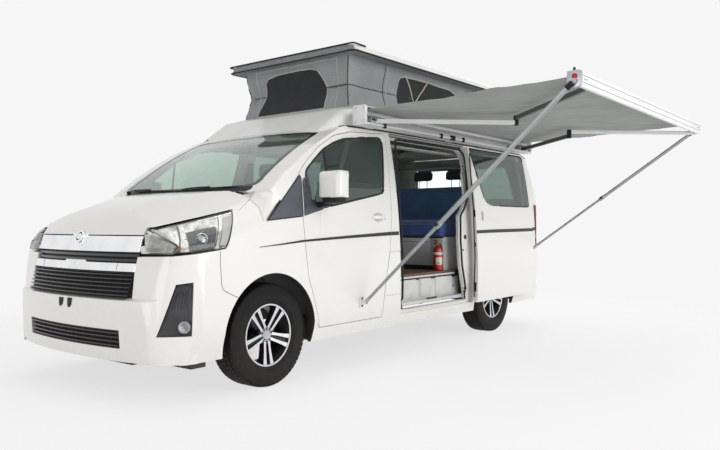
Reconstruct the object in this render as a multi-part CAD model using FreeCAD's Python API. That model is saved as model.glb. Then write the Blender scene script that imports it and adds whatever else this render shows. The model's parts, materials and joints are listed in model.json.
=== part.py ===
"""Conversion van with a pop-top roof and a folding-arm side awning.

While the pieces are made, X runs forward from the front axle, Y to the van's left and Z up
from the ground, in millimetres. write_parts() then moves them all, so that the origin is on
the ground under the middle of the whole object's box.
"""
import FreeCAD
import Part

import functools
import math
import os

V = FreeCAD.Vector

# ---- Driving dimensions: body ------------------------------------------------------------
LENGTH = 5265.0
FRONT_X = 960.0                     # foremost point of the front bumper
REAR_X = FRONT_X - LENGTH
HALF_WIDTH = 975.0
ROOF_Z = 1990.0
SILL_Z = 255.0                      # lower edge of the body sides
WALL = 50.0                         # doors, sides and roof, outer skin to inner trim
GLASS = 5.0
GLASS_SET = 2.0                     # panes lie this far inside the skin
SHUT_GAP = 5.0                      # shut lines round doors
BONNET_T = 18.0
BONNET_GAP = 14.0                   # wider gap at the bonnet's rear edge, for its hinge
SEAT_GAP = 0.3                      # pieces that seat on one another
FLOOR_Z = 665.0                     # top of the living area's floor
FLOOR_T = 60.0
FIREWALL_X = -50.0                  # front face of the firewall
STEP_Z = 430.0                      # step tread in the sliding door's opening
STEP_IN_Y = HALF_WIDTH - 125.0      # floor's edge above the step
ROOF_SPLIT_Y = HALF_WIDTH - 175.0   # roof panel ends here, sides begin

# ---- Driving dimensions: running gear ----------------------------------------------------
WHEELBASE = 3210.0
HALF_TRACK = 837.5
TYRE_R = 354.0
TYRE_W = 215.0
RIM_R = 216.0
ARCH_R = 425.0
HUB_PIN_R = 28.0
RUN_GAP = 0.05                      # radial running clearance of pins and spindles
KINGPIN_Y = 700.0                   # steering axis
STEER_WHEEL_R = 190.0

# ---- Driving dimensions: pop-top ---------------------------------------------------------
POP_FRONT_X = -1190.0               # front face of the canvas
POP_REAR_X = -3830.0
POP_HALF_W = 655.0
RING_TOP_Z = ROOF_Z + 106.0
LID_LIFT = 450.0
LID_EDGE_T = 58.0
LID_OVERHANG = 78.0                 # lid past the canvas at the front
LID_SIDE_OVER = 124.0
RIM_WALL = 60.0
CANVAS_T = 12.0

# ---- Driving dimensions: awning ----------------------------------------------------------
CASE_FRONT_X = -980.0
CASE_LENGTH = 3000.0
CASE_BACK_Y = HALF_WIDTH - 95.0
CASE_DEPTH = 120.0
CASE_LOW_Z = ROOF_Z - 90.0
CASE_HIGH_Z = CASE_LOW_Z + 145.0
CASE_SKIN = 9.0
CAP_T = 18.0
ROLLER_R = 24.0
SHOULDER_IN = 120.0                 # shoulder pins from the case's ends
SHOULDER_Y = CASE_BACK_Y + 70.0
ARM_L = 1200.0                      # pin to pin, the same for all four arms
ARM_OPEN_DEG = 46.5                 # angle between arms and case when open
ARM_SHUT_DEG = 3.0
ARM_W = 28.0
ARM_H = 34.0
ARM_GAP = 5.0
ARM_LOW_Z = CASE_LOW_Z + 20.0
PIN_R = 6.0
RAIL_IN = 55.0                      # rail's inner edge, inboard of the tip pins
RAIL_OUT = 45.0                     # rail's outer face, outboard of the tip pins
RAIL_LOW_Z = CASE_LOW_Z + 75.0
RAIL_HIGH_Z = RAIL_LOW_Z + 110.0
RAIL_SKIN = 8.0
LEG_OUT = 24.0                      # legs run this far outside the case's ends
LEG_R = 13.0
LEG_TUBE_R = 17.0
LEG_FOOT_Y = HALF_WIDTH + 37.0
EYE_GAP = 1.5                       # between a leg's eye and the end of the rail

# ---- Places worked out from the above ----------------------------------------------------
CASE_REAR_X = CASE_FRONT_X - CASE_LENGTH
REACH_OPEN = 2.0 * ARM_L * math.sin(math.radians(ARM_OPEN_DEG))
TIP_Y = SHOULDER_Y + REACH_OPEN
RAIL_OUTER_Y = TIP_Y + RAIL_OUT
MIRROR_REACH_Y = HALF_WIDTH + 240.0
ORIGIN = V((FRONT_X + REAR_X) / 2, (RAIL_OUTER_Y - MIRROR_REACH_Y) / 2, 0)

PARTS = {}
CRUMB = 30000.0                     # cubic millimetres


# ---- Small makers ------------------------------------------------------------------------
def place(plane, u, v):
    """A point of a flat outline: plane 'xz', 'xy' or 'yz'."""
    return {"xz": V(u, 0, v), "xy": V(u, v, 0), "yz": V(0, u, v)}[plane]


def outline(plane, path):
    """A closed wire. A step (u, v) is a line to it, and (um, vm, u, v) an arc by way of (um, vm)."""
    points = [step[-2:] for step in path]
    edges = []
    for index, step in enumerate(path):
        start = place(plane, *points[index - 1])
        end = place(plane, *step[-2:])
        if len(step) == 4:
            edges.append(Part.Arc(start, place(plane, *step[:2]), end).toShape())
        else:
            edges.append(Part.LineSegment(start, end).toShape())
    return Part.Wire(edges)


def normals(start, step):
    """Left-hand normals at a step's start, at its middle point and at its end."""
    end = step[-2:]
    if len(step) == 2:
        run, rise = end[0] - start[0], end[1] - start[1]
        length = math.hypot(run, rise)
        return [(-rise / length, run / length)] * 3
    middle = step[:2]
    arc = Part.Arc(V(*start, 0), V(*middle, 0), V(*end, 0)).toShape().Curve
    centre = arc.Center
    turn = (middle[0] - start[0]) * (end[1] - middle[1]) - (middle[1] - start[1]) * (
        end[0] - middle[0])
    sign = -1.0 if turn < 0 else 1.0
    return [(sign * (centre.x - u) / arc.Radius, sign * (centre.y - v) / arc.Radius)
            for u, v in (start, middle, end)]


def drawn_in(path, inset):
    """The same path with every line and arc moved towards its inside."""
    corners = [step[-2:] for step in path]
    twice_area = sum(a[0] * b[1] - b[0] * a[1] for a, b in zip(corners[-1:] + corners, corners))
    shift = inset if twice_area > 0 else -inset
    sides = [normals(corners[index - 1], step) for index, step in enumerate(path)]
    result = []
    for index, step in enumerate(path):
        ahead = sides[(index + 1) % len(path)][0]
        lean = (sides[index][2][0] + ahead[0], sides[index][2][1] + ahead[1])
        scale = 2 * shift / (lean[0] ** 2 + lean[1] ** 2)
        corner = (step[-2] + lean[0] * scale, step[-1] + lean[1] * scale)
        if len(step) == 4:
            across = sides[index][1]
            corner = (step[0] + across[0] * shift, step[1] + across[1] * shift, *corner)
        result.append(corner)
    return result


def face(plane, path, inset=0.0):
    """The face inside a closed path, drawn in by inset on every side."""
    return Part.Face(outline(plane, drawn_in(path, inset) if inset else path))


def prism(plane, path, low, high, inset=0.0):
    """A path's face, pushed along the plane's normal from low to high."""
    along = {"xz": V(0, 1, 0), "xy": V(0, 0, 1), "yz": V(1, 0, 0)}[plane]
    flat = face(plane, path, inset)
    flat.translate(along * low)
    return flat.extrude(along * (high - low))


def turned(path, axis_x, inset=0.0, half_angle=60.0):
    """A side profile swung about an upright axis, so that the front is bowed in plan."""
    flat = face("xz", path, inset)
    flat.rotate(V(axis_x, 0, 0), V(0, 0, 1), -half_angle)
    return flat.revolve(V(axis_x, 0, 0), V(0, 0, 1), 2 * half_angle)


def box(x0, x1, y0, y1, z0, z1):
    """A box between two corners, in any order."""
    low = V(min(x0, x1), min(y0, y1), min(z0, z1))
    return Part.makeBox(abs(x1 - x0), abs(y1 - y0), abs(z1 - z0), low)


def rod(start, end, radius, bore=0.0):
    """A round bar, or a tube, between two points."""
    along = end - start
    bar = Part.makeCylinder(radius, along.Length, start, along)
    if bore:
        bar = bar.cut(Part.makeCylinder(bore, along.Length, start, along))
    return bar


def mirrored(shape):
    """The same piece on the van's other side."""
    return shape.mirror(V(0, 0, 0), V(0, 1, 0))


def joined(shapes):
    """One solid made of pieces that meet."""
    whole = shapes[0].fuse(shapes[1:])
    return whole.removeSplitter()


def largest(shape):
    """The biggest solid of a shape."""
    return max(shape.Solids, key=lambda solid: solid.Volume)


def keep(name, *shapes):
    """Store a node's solids under its name, without the crumbs that a cut may leave."""
    solids = [solid for shape in shapes for solid in shape.Solids if solid.Volume > CRUMB]
    PARTS[name] = Part.Compound(solids)


# ---- The body's outer form ---------------------------------------------------------------
NOSE_AXIS_X = -2400.0               # the nose is bowed about this axis
SCREEN_AXIS_X = -5500.0             # and the windscreen about this one
SCREEN_BASE = (90.0, 1340.0)        # X, Z on the centre line
SCREEN_TOP = (-760.0, 1868.0)
LIP_Z = 1042.0                      # bonnet's front edge
LIP_X = FRONT_X - 118.0
REACH = HALF_WIDTH + 175.0           # past the widest point, for cuts through the sides
OVER_ROOF_Z = ROOF_Z + 14.0        # flat profiles end above the roof's crown
GRILLE_Z = (656.0, 815.0)
GRILLE_HALF_W = 600.0
LOW_GRILLE_Z = (343.0, 458.0)
LOW_GRILLE_HALF_W = 545.0
SHOULDER_DROP = 0.35                # the bonnet's shoulders fall forward at this slope
PLATE_SCREW_R = 3.2                 # two holes for a number plate's screws
PLATE_SCREW_Y = 50.0
PLATE_SCREW_Z = 607.0
TOW_EYE_R = 8.0                     # threaded socket for a towing eye
TOW_EYE_L = 50.0
TOW_EYE_Y = -550.0
TOW_EYE_Z = 480.0


def section_path():
    """The cabin's section, Y and Z, from the left sill over the roof to the right sill."""
    w = HALF_WIDTH
    return [(-(w - 45), SILL_Z), (w - 45, SILL_Z), (w - 8, SILL_Z + 150), (w, 680, w - 4, 950),
            (w - 38, 1430, w - 100, 1800), (w - 124, 1872, w - 185, ROOF_Z - 75),
            (0, ROOF_Z, -(w - 185), ROOF_Z - 75), (-(w - 124), 1872, -(w - 100), 1800),
            (-(w - 38), 1430, -(w - 4), 950), (-w, 680, -(w - 8), SILL_Z + 150)]


def plan_path():
    """The body seen from above, X and Y: rounded tail corners and nose corners."""
    w = HALF_WIDTH + 10
    tail, nose = REAR_X - 10, FRONT_X - 30
    return [(tail, -(w - 385)), (tail + 45, -(w - 95), tail + 180, -w), (250, -w),
            (nose - 210, -(w - 80), nose, -(w - 365)), (nose + 70, -420), (nose + 70, 420),
            (nose, w - 365), (nose - 210, w - 80, 250, w), (tail + 180, w),
            (tail + 45, w - 95, tail, w - 385)]


def nose_path():
    """Centre-line profile of bumper, grilles and bonnet, X and Z."""
    nose = FRONT_X
    return [(-600, SILL_Z - 10), (nose - 75, SILL_Z - 10), (nose - 30, 262), (nose - 15, 330),
            (nose, 560), (nose - 12, 640), (nose - 43, 656), (nose - 60, 815),
            (nose - 90, 937), (LIP_X, LIP_Z), (LIP_X - 97, 1160, 560, 1258),
            (330, 1318, 90, 1352), (-600, 1352)]


def shoulder_path():
    """Arch across the bonnet and wings, Y and Z, at X = 200."""
    w = HALF_WIDTH + 35
    return [(-w, -500), (w, -500), (w, 900), (w - 80, 1120, w - 220, 1240),
            (0, 1400, -(w - 220), 1240), (-(w - 80), 1120, -w, 900)]


def cabin_path():
    """Centre-line profile of windscreen and roof, X and Z."""
    return [(-2100, 200), (-250, 200), (-250, 1100), SCREEN_BASE,
            (-315, 1635, *SCREEN_TOP), (-1150, 1947, -1900, OVER_ROOF_Z), (-2100, OVER_ROOF_Z)]


def tail_path():
    """Side profile of the rear half, X and Z."""
    tail = REAR_X
    return [(-1500, SILL_Z), (tail + 90, SILL_Z), (tail + 12, 330), (tail, 400), (tail, 560),
            (tail + 45, 600), (tail + 50, 1000), (tail + 95, 1400, tail + 210, 1850),
            (tail + 260, 1930, tail + 380, 1955), (-2600, OVER_ROOF_Z), (-1500, OVER_ROOF_Z)]


@functools.cache
def body_form(inset):
    """The whole closed body, drawn in by inset on every side."""
    section = prism("yz", section_path(), REAR_X - 100, FRONT_X + 100, inset)
    plan = prism("xy", plan_path(), 0, ROOF_Z + 100, inset)
    arch = face("yz", shoulder_path(), inset)
    arch.translate(V(-1200, 0, SHOULDER_DROP * 1400))
    shoulders = arch.extrude(V(2400, 0, -SHOULDER_DROP * 2400))
    nose = turned(nose_path(), NOSE_AXIS_X, inset).common(shoulders)
    cabin = turned(cabin_path(), SCREEN_AXIS_X, inset)
    tail = prism("xz", tail_path(), -1200, 1200, inset)
    return section.common(plan).common(nose.fuse([cabin, tail]))


# ---- Outlines of panels and windows ------------------------------------------------------
FRONT_DOOR = [(-480, 350), (-1243, 350), (-1246, 392), (-1265, 530), (-1292, 692),
              (-1342, 896), (-1372, 1100), (-1385, 1300), (-1410, 1800),
              (-1404, 1862, -1340, 1868), (-950, 1845), (-735, 1795), (-529, 1687),
              (-341, 1535), (-262, 1440), (-300, 1165), (-312, 990), (-345, 730), (-400, 590)]
FRONT_WINDOW = [(-325, 1190), (-535, 1232), (-865, 1292), (-1230, 1358),
                (-1272, 1370, -1290, 1420), (-1352, 1790), (-1346, 1822, -1300, 1826),
                (-1078, 1808), (-843, 1776), (-590, 1672), (-372, 1500)]
SAIL = [(-5, 1148), (-290, 1175), (-268, 1418)]
WING = [(326, 638), (422, 682), (446, 727), (446, 950), (240, 1205), (60, 1352),
        (-5, 1148), (-300, 1160), (-312, 990), (-345, 730), (-400, 590), (-430, 400),
        (-480, 350), (-480, 200), (300, 200)]
HEADLAMP = [(240, 1205), (830, 1066), (905, 898), (415, 955)]
FOG_BEZEL = [(740, 745), (650, 757), (660, 428), (825, 430)]
SLIDE_DOOR = [(-1508, 345), (-2740, 345), (-2740, 1500), (-2700, 1866), (-1478, 1866),
              (-1473, 1400), (-1480, 1050), (-1496, 780), (-1496, 470)]
SLIDE_OPENING = [(-1530, 385), (-2620, 385), (-2580, 470), (-2500, 720), (-2480, 960),
                 (-2495, 1190), (-2570, 1250), (-2645, 1350), (-2660, 1600),
                 (-2650, 1790, -2570, 1830), (-1500, 1830), (-1495, 1300), (-1516, 780),
                 (-1516, 470)]
SLIDE_WINDOW = [(-1618, 1498), (-1674, 1367), (-1740, 1310, -1960, 1296), (-2650, 1296),
                (-2685, 1305, -2688, 1340), (-2668, 1820), (-2650, 1845, -2620, 1850),
                (-1540, 1850), (-1512, 1845, -1515, 1815)]
FUEL_FLAP = [(-1264, 520), (-1291, 690), (-1340, 886), (-1491, 886), (-1496, 780),
             (-1496, 520)]
FLAP_T = 12.0
MID_WINDOW = [(-1500, 1300), (-2570, 1300), (-2600, 1330), (-2560, 1800), (-1520, 1800)]
REAR_WINDOW = [(-2760, 1300), (-3900, 1300), (-3960, 1340), (-3880, 1800), (-2740, 1800)]
TAILGATE = [(-780, 600), (780, 600), (790, 1000), (770, 1400), (700, 1800), (640, 1900),
            (-640, 1900), (-700, 1800), (-770, 1400), (-790, 1000)]
TAIL_WINDOW = [(-700, 1120), (700, 1120), (690, 1400), (620, 1780), (-620, 1780),
               (-690, 1400)]
SLIDE_OPEN = V(-1175.0, 78.0, 0)    # how far the sliding door stands back and out
TAILGATE_X = REAR_X + 345.0
LAMP_IN_Y = HALF_WIDTH - 170.0      # tail lamps' inner edge
SILL_IN_Y = HALF_WIDTH - 75.0       # sills' inner edge
BONNET_HINGE_X = 66.0
BONNET_HINGE_Z = 1330.0


def screen_outline(edge):
    """Windscreen seen from above, X and Y; edge widens it."""
    base, top = 68.0 + edge, -735.0 - edge
    half = 785.0 + edge
    return [(top, -(half - 87)), (top + 13, -(half - 55), top + 45, -(half - 42)),
            (base - 160, -half), (base - 110, -(half + 2), base - 80, -(half - 30)),
            (base, 0, base - 80, half - 30), (base - 110, half + 2, base - 160, half),
            (top + 45, half - 42), (top + 13, half - 55, top, half - 87)]


def bonnet_outline(gap):
    """Bonnet seen from above, X and Y; gap draws its rear edge and sides in."""
    return [(140 + gap, 0, 25 + gap, -(795 - gap)), (200, -(850 - gap)), (790, -(655 - gap)),
            (1100, -500), (1100, 500), (790, 655 - gap), (200, 850 - gap), (25 + gap, 795 - gap)]


def side_prism(path, side, inset=0.0, reach=(600.0, REACH)):
    """A side outline pushed through one side of the van."""
    low, high = sorted((side * reach[0], side * reach[1]))
    return prism("xz", path, low, high, inset)


def bonnet_hinge(side):
    """Eye on the bonnet and pin on the cowl, in the gap between them."""
    x, z = BONNET_HINGE_X, BONNET_HINGE_Z
    y0, y1, y2, y3 = (side * v for v in (622, 640, 642, 660))
    eye = rod(V(x, y2, z), V(x, y3, z), 7)
    eye = eye.fuse(box(x, x + 24, y2, y3, z - 7, z - 1))
    eye = eye.cut(rod(V(x, y0, z), V(x, side * 700, z), 4 + RUN_GAP))
    pin = rod(V(x, y0, z), V(x, y3, z), 4)
    pin = pin.fuse(box(x - 30, x + 5, y0, y1, z - 8, z + 2))
    return eye, pin


def bumper_region():
    """What the front bumper covers: side outline less the grille and chrome area."""
    path = [(326, 638), (422, 682), (446, 727), (446, 950), (905, 898), (1100, 898),
            (1100, 200), (300, 200)]
    region = prism("xz", path, -REACH, REACH)
    middle = box(500, 1100, -GRILLE_HALF_W - 15, GRILLE_HALF_W + 15, GRILLE_Z[0], 1100)
    return region.cut(middle)


def make_shell():
    """Sides, roof, nose panels, doors, glass: all cut from one shell."""
    outer, inner = body_form(0), body_form(WALL)
    shell = outer.cut(inner)
    pane = body_form(GLASS_SET).cut(body_form(GLASS_SET + GLASS))

    arches = [rod(V(x, -REACH, TYRE_R), V(x, REACH, TYRE_R), ARCH_R) for x in (0, -WHEELBASE)]
    underside = box(REAR_X - 100, 300, -SILL_IN_Y, SILL_IN_Y, 0, SILL_Z + WALL + 5)
    nose_floor = box(-300, FRONT_X - 130, -SILL_IN_Y, SILL_IN_Y, 0, SILL_Z + WALL + 5)
    glass_hole = prism("xy", screen_outline(0), 1250, 2000)
    bonnet_cut = prism("xy", bonnet_outline(0), LIP_Z, 1500)
    cowl_path = [(25, -795), (140, 0, 25, 795), (-120, 795), (-120, -795)]
    cowl_region = prism("xy", cowl_path, 1250, 1500).cut(glass_hole)
    roof_region = box(REAR_X + 205, -735, -ROOF_SPLIT_Y, ROOF_SPLIT_Y, 1750, ROOF_Z + 110)
    roof_gap = box(REAR_X + 205, -730, -ROOF_SPLIT_Y - SHUT_GAP, ROOF_SPLIT_Y + SHUT_GAP,
                   1745, ROOF_Z + 110)
    gate_region = prism("yz", TAILGATE, REAR_X - 100, TAILGATE_X)
    bumper = bumper_region()
    rear_bumper_region = box(REAR_X - 50, REAR_X + 190, -REACH, REACH, 200, 598)
    lamp_region = [box(REAR_X - 50, REAR_X + 165, s * LAMP_IN_Y, s * REACH, 835, 1330) for s in (1, -1)]
    head_region = [side_prism(HEADLAMP, s, reach=(618, REACH)) for s in (1, -1)]

    # Bonnet
    thin_shell = outer.cut(body_form(BONNET_T))
    bonnet = thin_shell.common(prism("xy", bonnet_outline(SHUT_GAP), LIP_Z + 2, 1500))
    lamp_gaps = [side_prism(HEADLAMP, s, -SHUT_GAP, reach=(612, REACH)) for s in (1, -1)]
    rear_edge = prism("xy", [(140 + BONNET_GAP, 0, 25 + BONNET_GAP, 795), (-200, 795),
                             (-200, -795), (25 + BONNET_GAP, -795)], 1200, 1500)
    hinges = [bonnet_hinge(side) for side in (1, -1)]
    bonnet = bonnet.cut([rear_edge, *lamp_gaps])
    keep("bonnet", joined([bonnet, *[eye for eye, pin in hinges]]))
    pockets = [rod(V(BONNET_HINGE_X, side * 641, BONNET_HINGE_Z),
                   V(BONNET_HINGE_X, side * 662, BONNET_HINGE_Z), 9) for side in (1, -1)]
    cowl = largest(shell.common(cowl_region).cut([bonnet_cut, *pockets]))
    keep("cowl_panel", joined([cowl, *[pin for eye, pin in hinges]]))

    # Windscreen
    keep("windscreen", pane.common(prism("xy", screen_outline(-SEAT_GAP), 1250, 2000)))

    # Bumper, wings, lamps
    low_hole = box(500, 1100, -LOW_GRILLE_HALF_W, LOW_GRILLE_HALF_W, *LOW_GRILLE_Z)
    fogs = [side_prism(FOG_BEZEL, s) for s in (1, -1)]
    screws = [rod(V(FRONT_X - 120, s * PLATE_SCREW_Y, PLATE_SCREW_Z),
                  V(FRONT_X + 20, s * PLATE_SCREW_Y, PLATE_SCREW_Z), PLATE_SCREW_R)
              for s in (1, -1)]
    keep("front_bumper", shell.common(bumper).cut(
        [low_hole, nose_floor, *fogs, *head_region, *arches, *screws]))
    wings, lamps = [], []
    for index, side in enumerate((1, -1)):
        wing = shell.common(side_prism(WING, side, reach=(500, REACH)))
        wings.append(wing.cut([bonnet_cut, head_region[index], *arches, underside, glass_hole,
                               cowl_region, *pockets]))
        lamps += [shell.common(head_region[index]), shell.common(fogs[index])]
    keep("front_wings", *wings)
    keep("front_lamps", *lamps)
    make_nose_trim()

    # Roof, tailgate and rear lamps
    aperture = box(POP_FRONT_X - 120, POP_REAR_X + 250, -520, 520, 1700, 2100)
    keep("roof_panel", shell.common(roof_region).cut([aperture, gate_region]))
    gate_hole = prism("yz", TAIL_WINDOW, REAR_X - 100, TAILGATE_X)
    gate_piece = prism("yz", TAILGATE, REAR_X - 100, TAILGATE_X, SHUT_GAP)
    keep("tailgate", shell.common(gate_piece).cut([gate_hole, rear_bumper_region]))
    gate_glass = prism("yz", TAIL_WINDOW, REAR_X - 100, TAILGATE_X, SEAT_GAP)
    keep("tailgate_glass", pane.common(gate_glass))
    tow_eye = rod(V(REAR_X - 20, TOW_EYE_Y, TOW_EYE_Z),
                  V(REAR_X + TOW_EYE_L + 20, TOW_EYE_Y, TOW_EYE_Z), TOW_EYE_R)
    keep("rear_bumper", shell.common(rear_bumper_region).cut(tow_eye))
    keep("tail_lamps", *[shell.common(region).cut(gate_region) for region in lamp_region])

    # Sides and doors
    side_windows = {1: [REAR_WINDOW], -1: [REAR_WINDOW, MID_WINDOW]}
    fixed_panes = []
    for side, word in ((1, "left"), (-1, "right")):
        windows = [side_prism(path, side) for path in side_windows[side]]
        sail = side_prism(SAIL, side)
        cuts = [roof_region, glass_hole, cowl_region, bonnet_cut, *head_region, bumper,
                side_prism(WING, side, reach=(500, REACH)), sail,
                side_prism(FRONT_DOOR, side), gate_region, rear_bumper_region, *lamp_region,
                *arches, underside, *windows]
        if side == 1:
            flap_hole = outer.cut(body_form(FLAP_T + SEAT_GAP)).common(side_prism(FUEL_FLAP, 1))
            cuts.append(flap_hole)
            cuts.append(side_prism(SLIDE_OPENING, 1))
            recess = side_prism(SLIDE_DOOR, 1, reach=(HALF_WIDTH - 220, REACH))
            cuts.append(recess.cut(body_form(WALL * 0.55)))
        panel = shell.common(box(REAR_X - 100, 500, side * 600, side * REACH, 0, ROOF_Z + 110)).cut(cuts)

        door = shell.common(side_prism(FRONT_DOOR, side, SHUT_GAP))
        door = door.cut([side_prism(FRONT_WINDOW, side), *arches, roof_gap])
        if side == 1:
            panel = joined([panel, leg_bracket("rear")])
            door = joined([door, leg_bracket("front")])
        keep("body_side_" + word, panel)
        keep("front_door_" + word, door)
        keep("front_door_glass_" + word,
             pane.common(side_prism(FRONT_WINDOW, side, SEAT_GAP)))
        fixed_panes += [pane.common(side_prism(path, side, SEAT_GAP))
                        for path in side_windows[side]]
        fixed_panes.append(pane.common(side_prism(SAIL, side, SEAT_GAP)))
    flap = outer.cut(body_form(FLAP_T)).common(side_prism(FUEL_FLAP, 1, SHUT_GAP))
    keep("fuel_flap", flap)

    # Sliding door, standing open along the left side
    panel = shell.common(side_prism(SLIDE_DOOR, 1, SHUT_GAP)).cut(side_prism(SLIDE_WINDOW, 1))
    glass = pane.common(side_prism(SLIDE_WINDOW, 1, SEAT_GAP))
    panel.translate(SLIDE_OPEN)
    glass.translate(SLIDE_OPEN)
    carriers = [box(x - 30, x + 30, HALF_WIDTH - 90, HALF_WIDTH + y_out, z - 20, z + 20)
                for x, z, y_out in ((-2760, 430, 30), (-3850, 1160, 20), (-2720, 1760, -60))]
    carriers = [carrier.cut(body_form(-SEAT_GAP)) for carrier in carriers]
    panel = joined([panel, *carriers])
    keep("sliding_door", panel)
    keep("side_glass", *fixed_panes, glass)


def make_nose_trim():
    """Grilles with their slats, and the bright bars above them, all bowed like the nose."""
    def band(low, high, front=0.0, back=40.0, half=GRILLE_HALF_W):
        ring = turned(nose_path(), NOSE_AXIS_X, front).cut(turned(nose_path(), NOSE_AXIS_X, back))
        return ring.common(box(500, 1100, -half, half, low, high))

    def grille(z_low, z_high, half, slats, ribs):
        pitch = (z_high - z_low) / slats
        pieces = [band(z_low + pitch * (k + 0.28), z_low + pitch * (k + 0.72), 4, 34, half)
                  for k in range(slats)]
        ring = band(z_low, z_high, 10, 40, half)
        step = 2 * half / ribs
        for k in range(ribs + 1):
            y = -half + step * k
            width = 10 if k in (0, ribs) else 4
            pieces.append(ring.common(box(500, 1100, y - width, y + width, z_low, z_high)))
        return joined(pieces)

    half = GRILLE_HALF_W + 15 - SEAT_GAP
    main_grille = grille(*GRILLE_Z, half, 6, 6)
    low_grille = grille(*LOW_GRILLE_Z, LOW_GRILLE_HALF_W - SEAT_GAP, 4, 4)
    lower_bar = joined([band(815, 868, 0, 45, half), band(815, 880, 0, 60, 120)])
    upper_bar = band(937, LIP_Z - 5, 0, 45, half)
    keep("bright_bars", lower_bar, upper_bar)
    slot_grille = band(868, 937, 22, 50, half).cut(band(868, 885, 0, 60, 120))
    keep("grilles", main_grille, low_grille, slot_grille)


# ---- Pop-top -----------------------------------------------------------------------------
def plan_rectangle(x_front, x_rear, half, corner):
    """A rectangle with round corners seen from above, X and Y."""
    c = corner
    d = corner * (1 - math.sqrt(0.5))
    return [(x_front, half - c), (x_front - d, half - d, x_front - c, half),
            (x_rear + c, half), (x_rear + d, half - d, x_rear, half - c), (x_rear, -(half - c)),
            (x_rear + d, -(half - d), x_rear + c, -half), (x_front - c, -half),
            (x_front - d, -(half - d), x_front, -(half - c))]


def ring_levels():
    """Foot, shoulder and rim of the roof ring: Z, front X, rear X and half width."""
    return [(1830, -722, POP_REAR_X - 160, 796),
            (RING_TOP_Z - 46, -1030, POP_REAR_X - 90, POP_HALF_W + 128),
            (RING_TOP_Z, POP_FRONT_X + 26, POP_REAR_X - 40, POP_HALF_W + 26)]


def tapered(levels):
    """A solid between two rounded rectangles at two heights."""
    wires = []
    for z, front, rear, half in levels:
        wire = outline("xy", plan_rectangle(front, rear, half, 110))
        wire.translate(V(0, 0, z))
        wires.append(wire)
    return Part.makeLoft(wires, True, True)


def make_pop_top():
    """Moulded ring on the roof, the raised lid, and the canvas between them."""
    rings = ring_levels()
    ring = tapered(rings[:2]).fuse(tapered(rings[1:]))
    hole = prism("xy", plan_rectangle(POP_FRONT_X - RIM_WALL, POP_REAR_X + RIM_WALL,
                                      POP_HALF_W - RIM_WALL, 60), 1700, 2200)
    keep("pop_top_ring", ring.removeSplitter().cut([hole, body_form(-SEAT_GAP)]))

    lid_low = RING_TOP_Z + LID_LIFT
    front, rear = POP_FRONT_X + LID_OVERHANG, POP_REAR_X - LID_OVERHANG
    half = POP_HALF_W + LID_SIDE_OVER
    levels = [(lid_low, front, rear, half), (lid_low + LID_EDGE_T, front - 8, rear + 8, half - 28),
              (lid_low + LID_EDGE_T + 20, front - 160, rear + 160, half - 150)]
    lid = tapered(levels[:2]).fuse(tapered(levels[1:])).removeSplitter()
    under = prism("xy", plan_rectangle(POP_FRONT_X - 30, POP_REAR_X + 30, POP_HALF_W - 30, 60),
                  lid_low - 5, lid_low + LID_EDGE_T - 12)
    keep("pop_top_lid", lid.cut(under))

    wall = prism("xy", plan_rectangle(POP_FRONT_X, POP_REAR_X, POP_HALF_W, 30),
                 RING_TOP_Z + SEAT_GAP, lid_low - SEAT_GAP)
    room = prism("xy", plan_rectangle(POP_FRONT_X - CANVAS_T, POP_REAR_X + CANVAS_T,
                                      POP_HALF_W - CANVAS_T, 20), RING_TOP_Z, lid_low)
    keep("pop_top_canvas", wall.cut(room))


# ---- Awning ------------------------------------------------------------------------------
ARM_HIGH_Z = ARM_LOW_Z + ARM_H + ARM_GAP
SHOULDER_X = {"front": CASE_FRONT_X - SHOULDER_IN, "rear": CASE_REAR_X + SHOULDER_IN}
ARM_SIDE = {"front": -1.0, "rear": 1.0}          # which way the elbow points along X


def arm_points(which):
    """Shoulder, elbow and tip of one pair of arms, as open."""
    angle = math.radians(ARM_OPEN_DEG)
    shoulder = V(SHOULDER_X[which], SHOULDER_Y, 0)
    elbow = shoulder + V(ARM_SIDE[which] * ARM_L * math.cos(angle), ARM_L * math.sin(angle), 0)
    return shoulder, elbow, V(SHOULDER_X[which], TIP_Y, 0)


def arm(start, end, low, start_pin, end_pin):
    """One arm: a box section with round ends, each a bored eye or carrying a pin."""
    up = V(0, 0, 1)
    along = (end - start).normalize()
    across = V(-along.y, along.x, 0)
    half = ARM_W / 2
    corners = [start + across * half, end + across * half, end - across * half,
               start - across * half]
    flat = Part.Face(Part.makePolygon(corners + corners[:1]))
    flat.translate(up * low)
    solid = flat.extrude(up * ARM_H)
    ends = [Part.makeCylinder(ARM_W / 2 + 2, ARM_H, point + up * low) for point in (start, end)]
    solid = joined([solid, *ends])
    for point, pin in ((start, start_pin), (end, end_pin)):
        if pin:
            pin_solid = Part.makeCylinder(PIN_R, pin[1] - pin[0], point + up * pin[0])
            solid = solid.fuse(pin_solid)
        else:
            bore = Part.makeCylinder(PIN_R + RUN_GAP, ARM_H + 2, point + up * (low - 1))
            solid = solid.cut(bore)
    return solid


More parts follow.
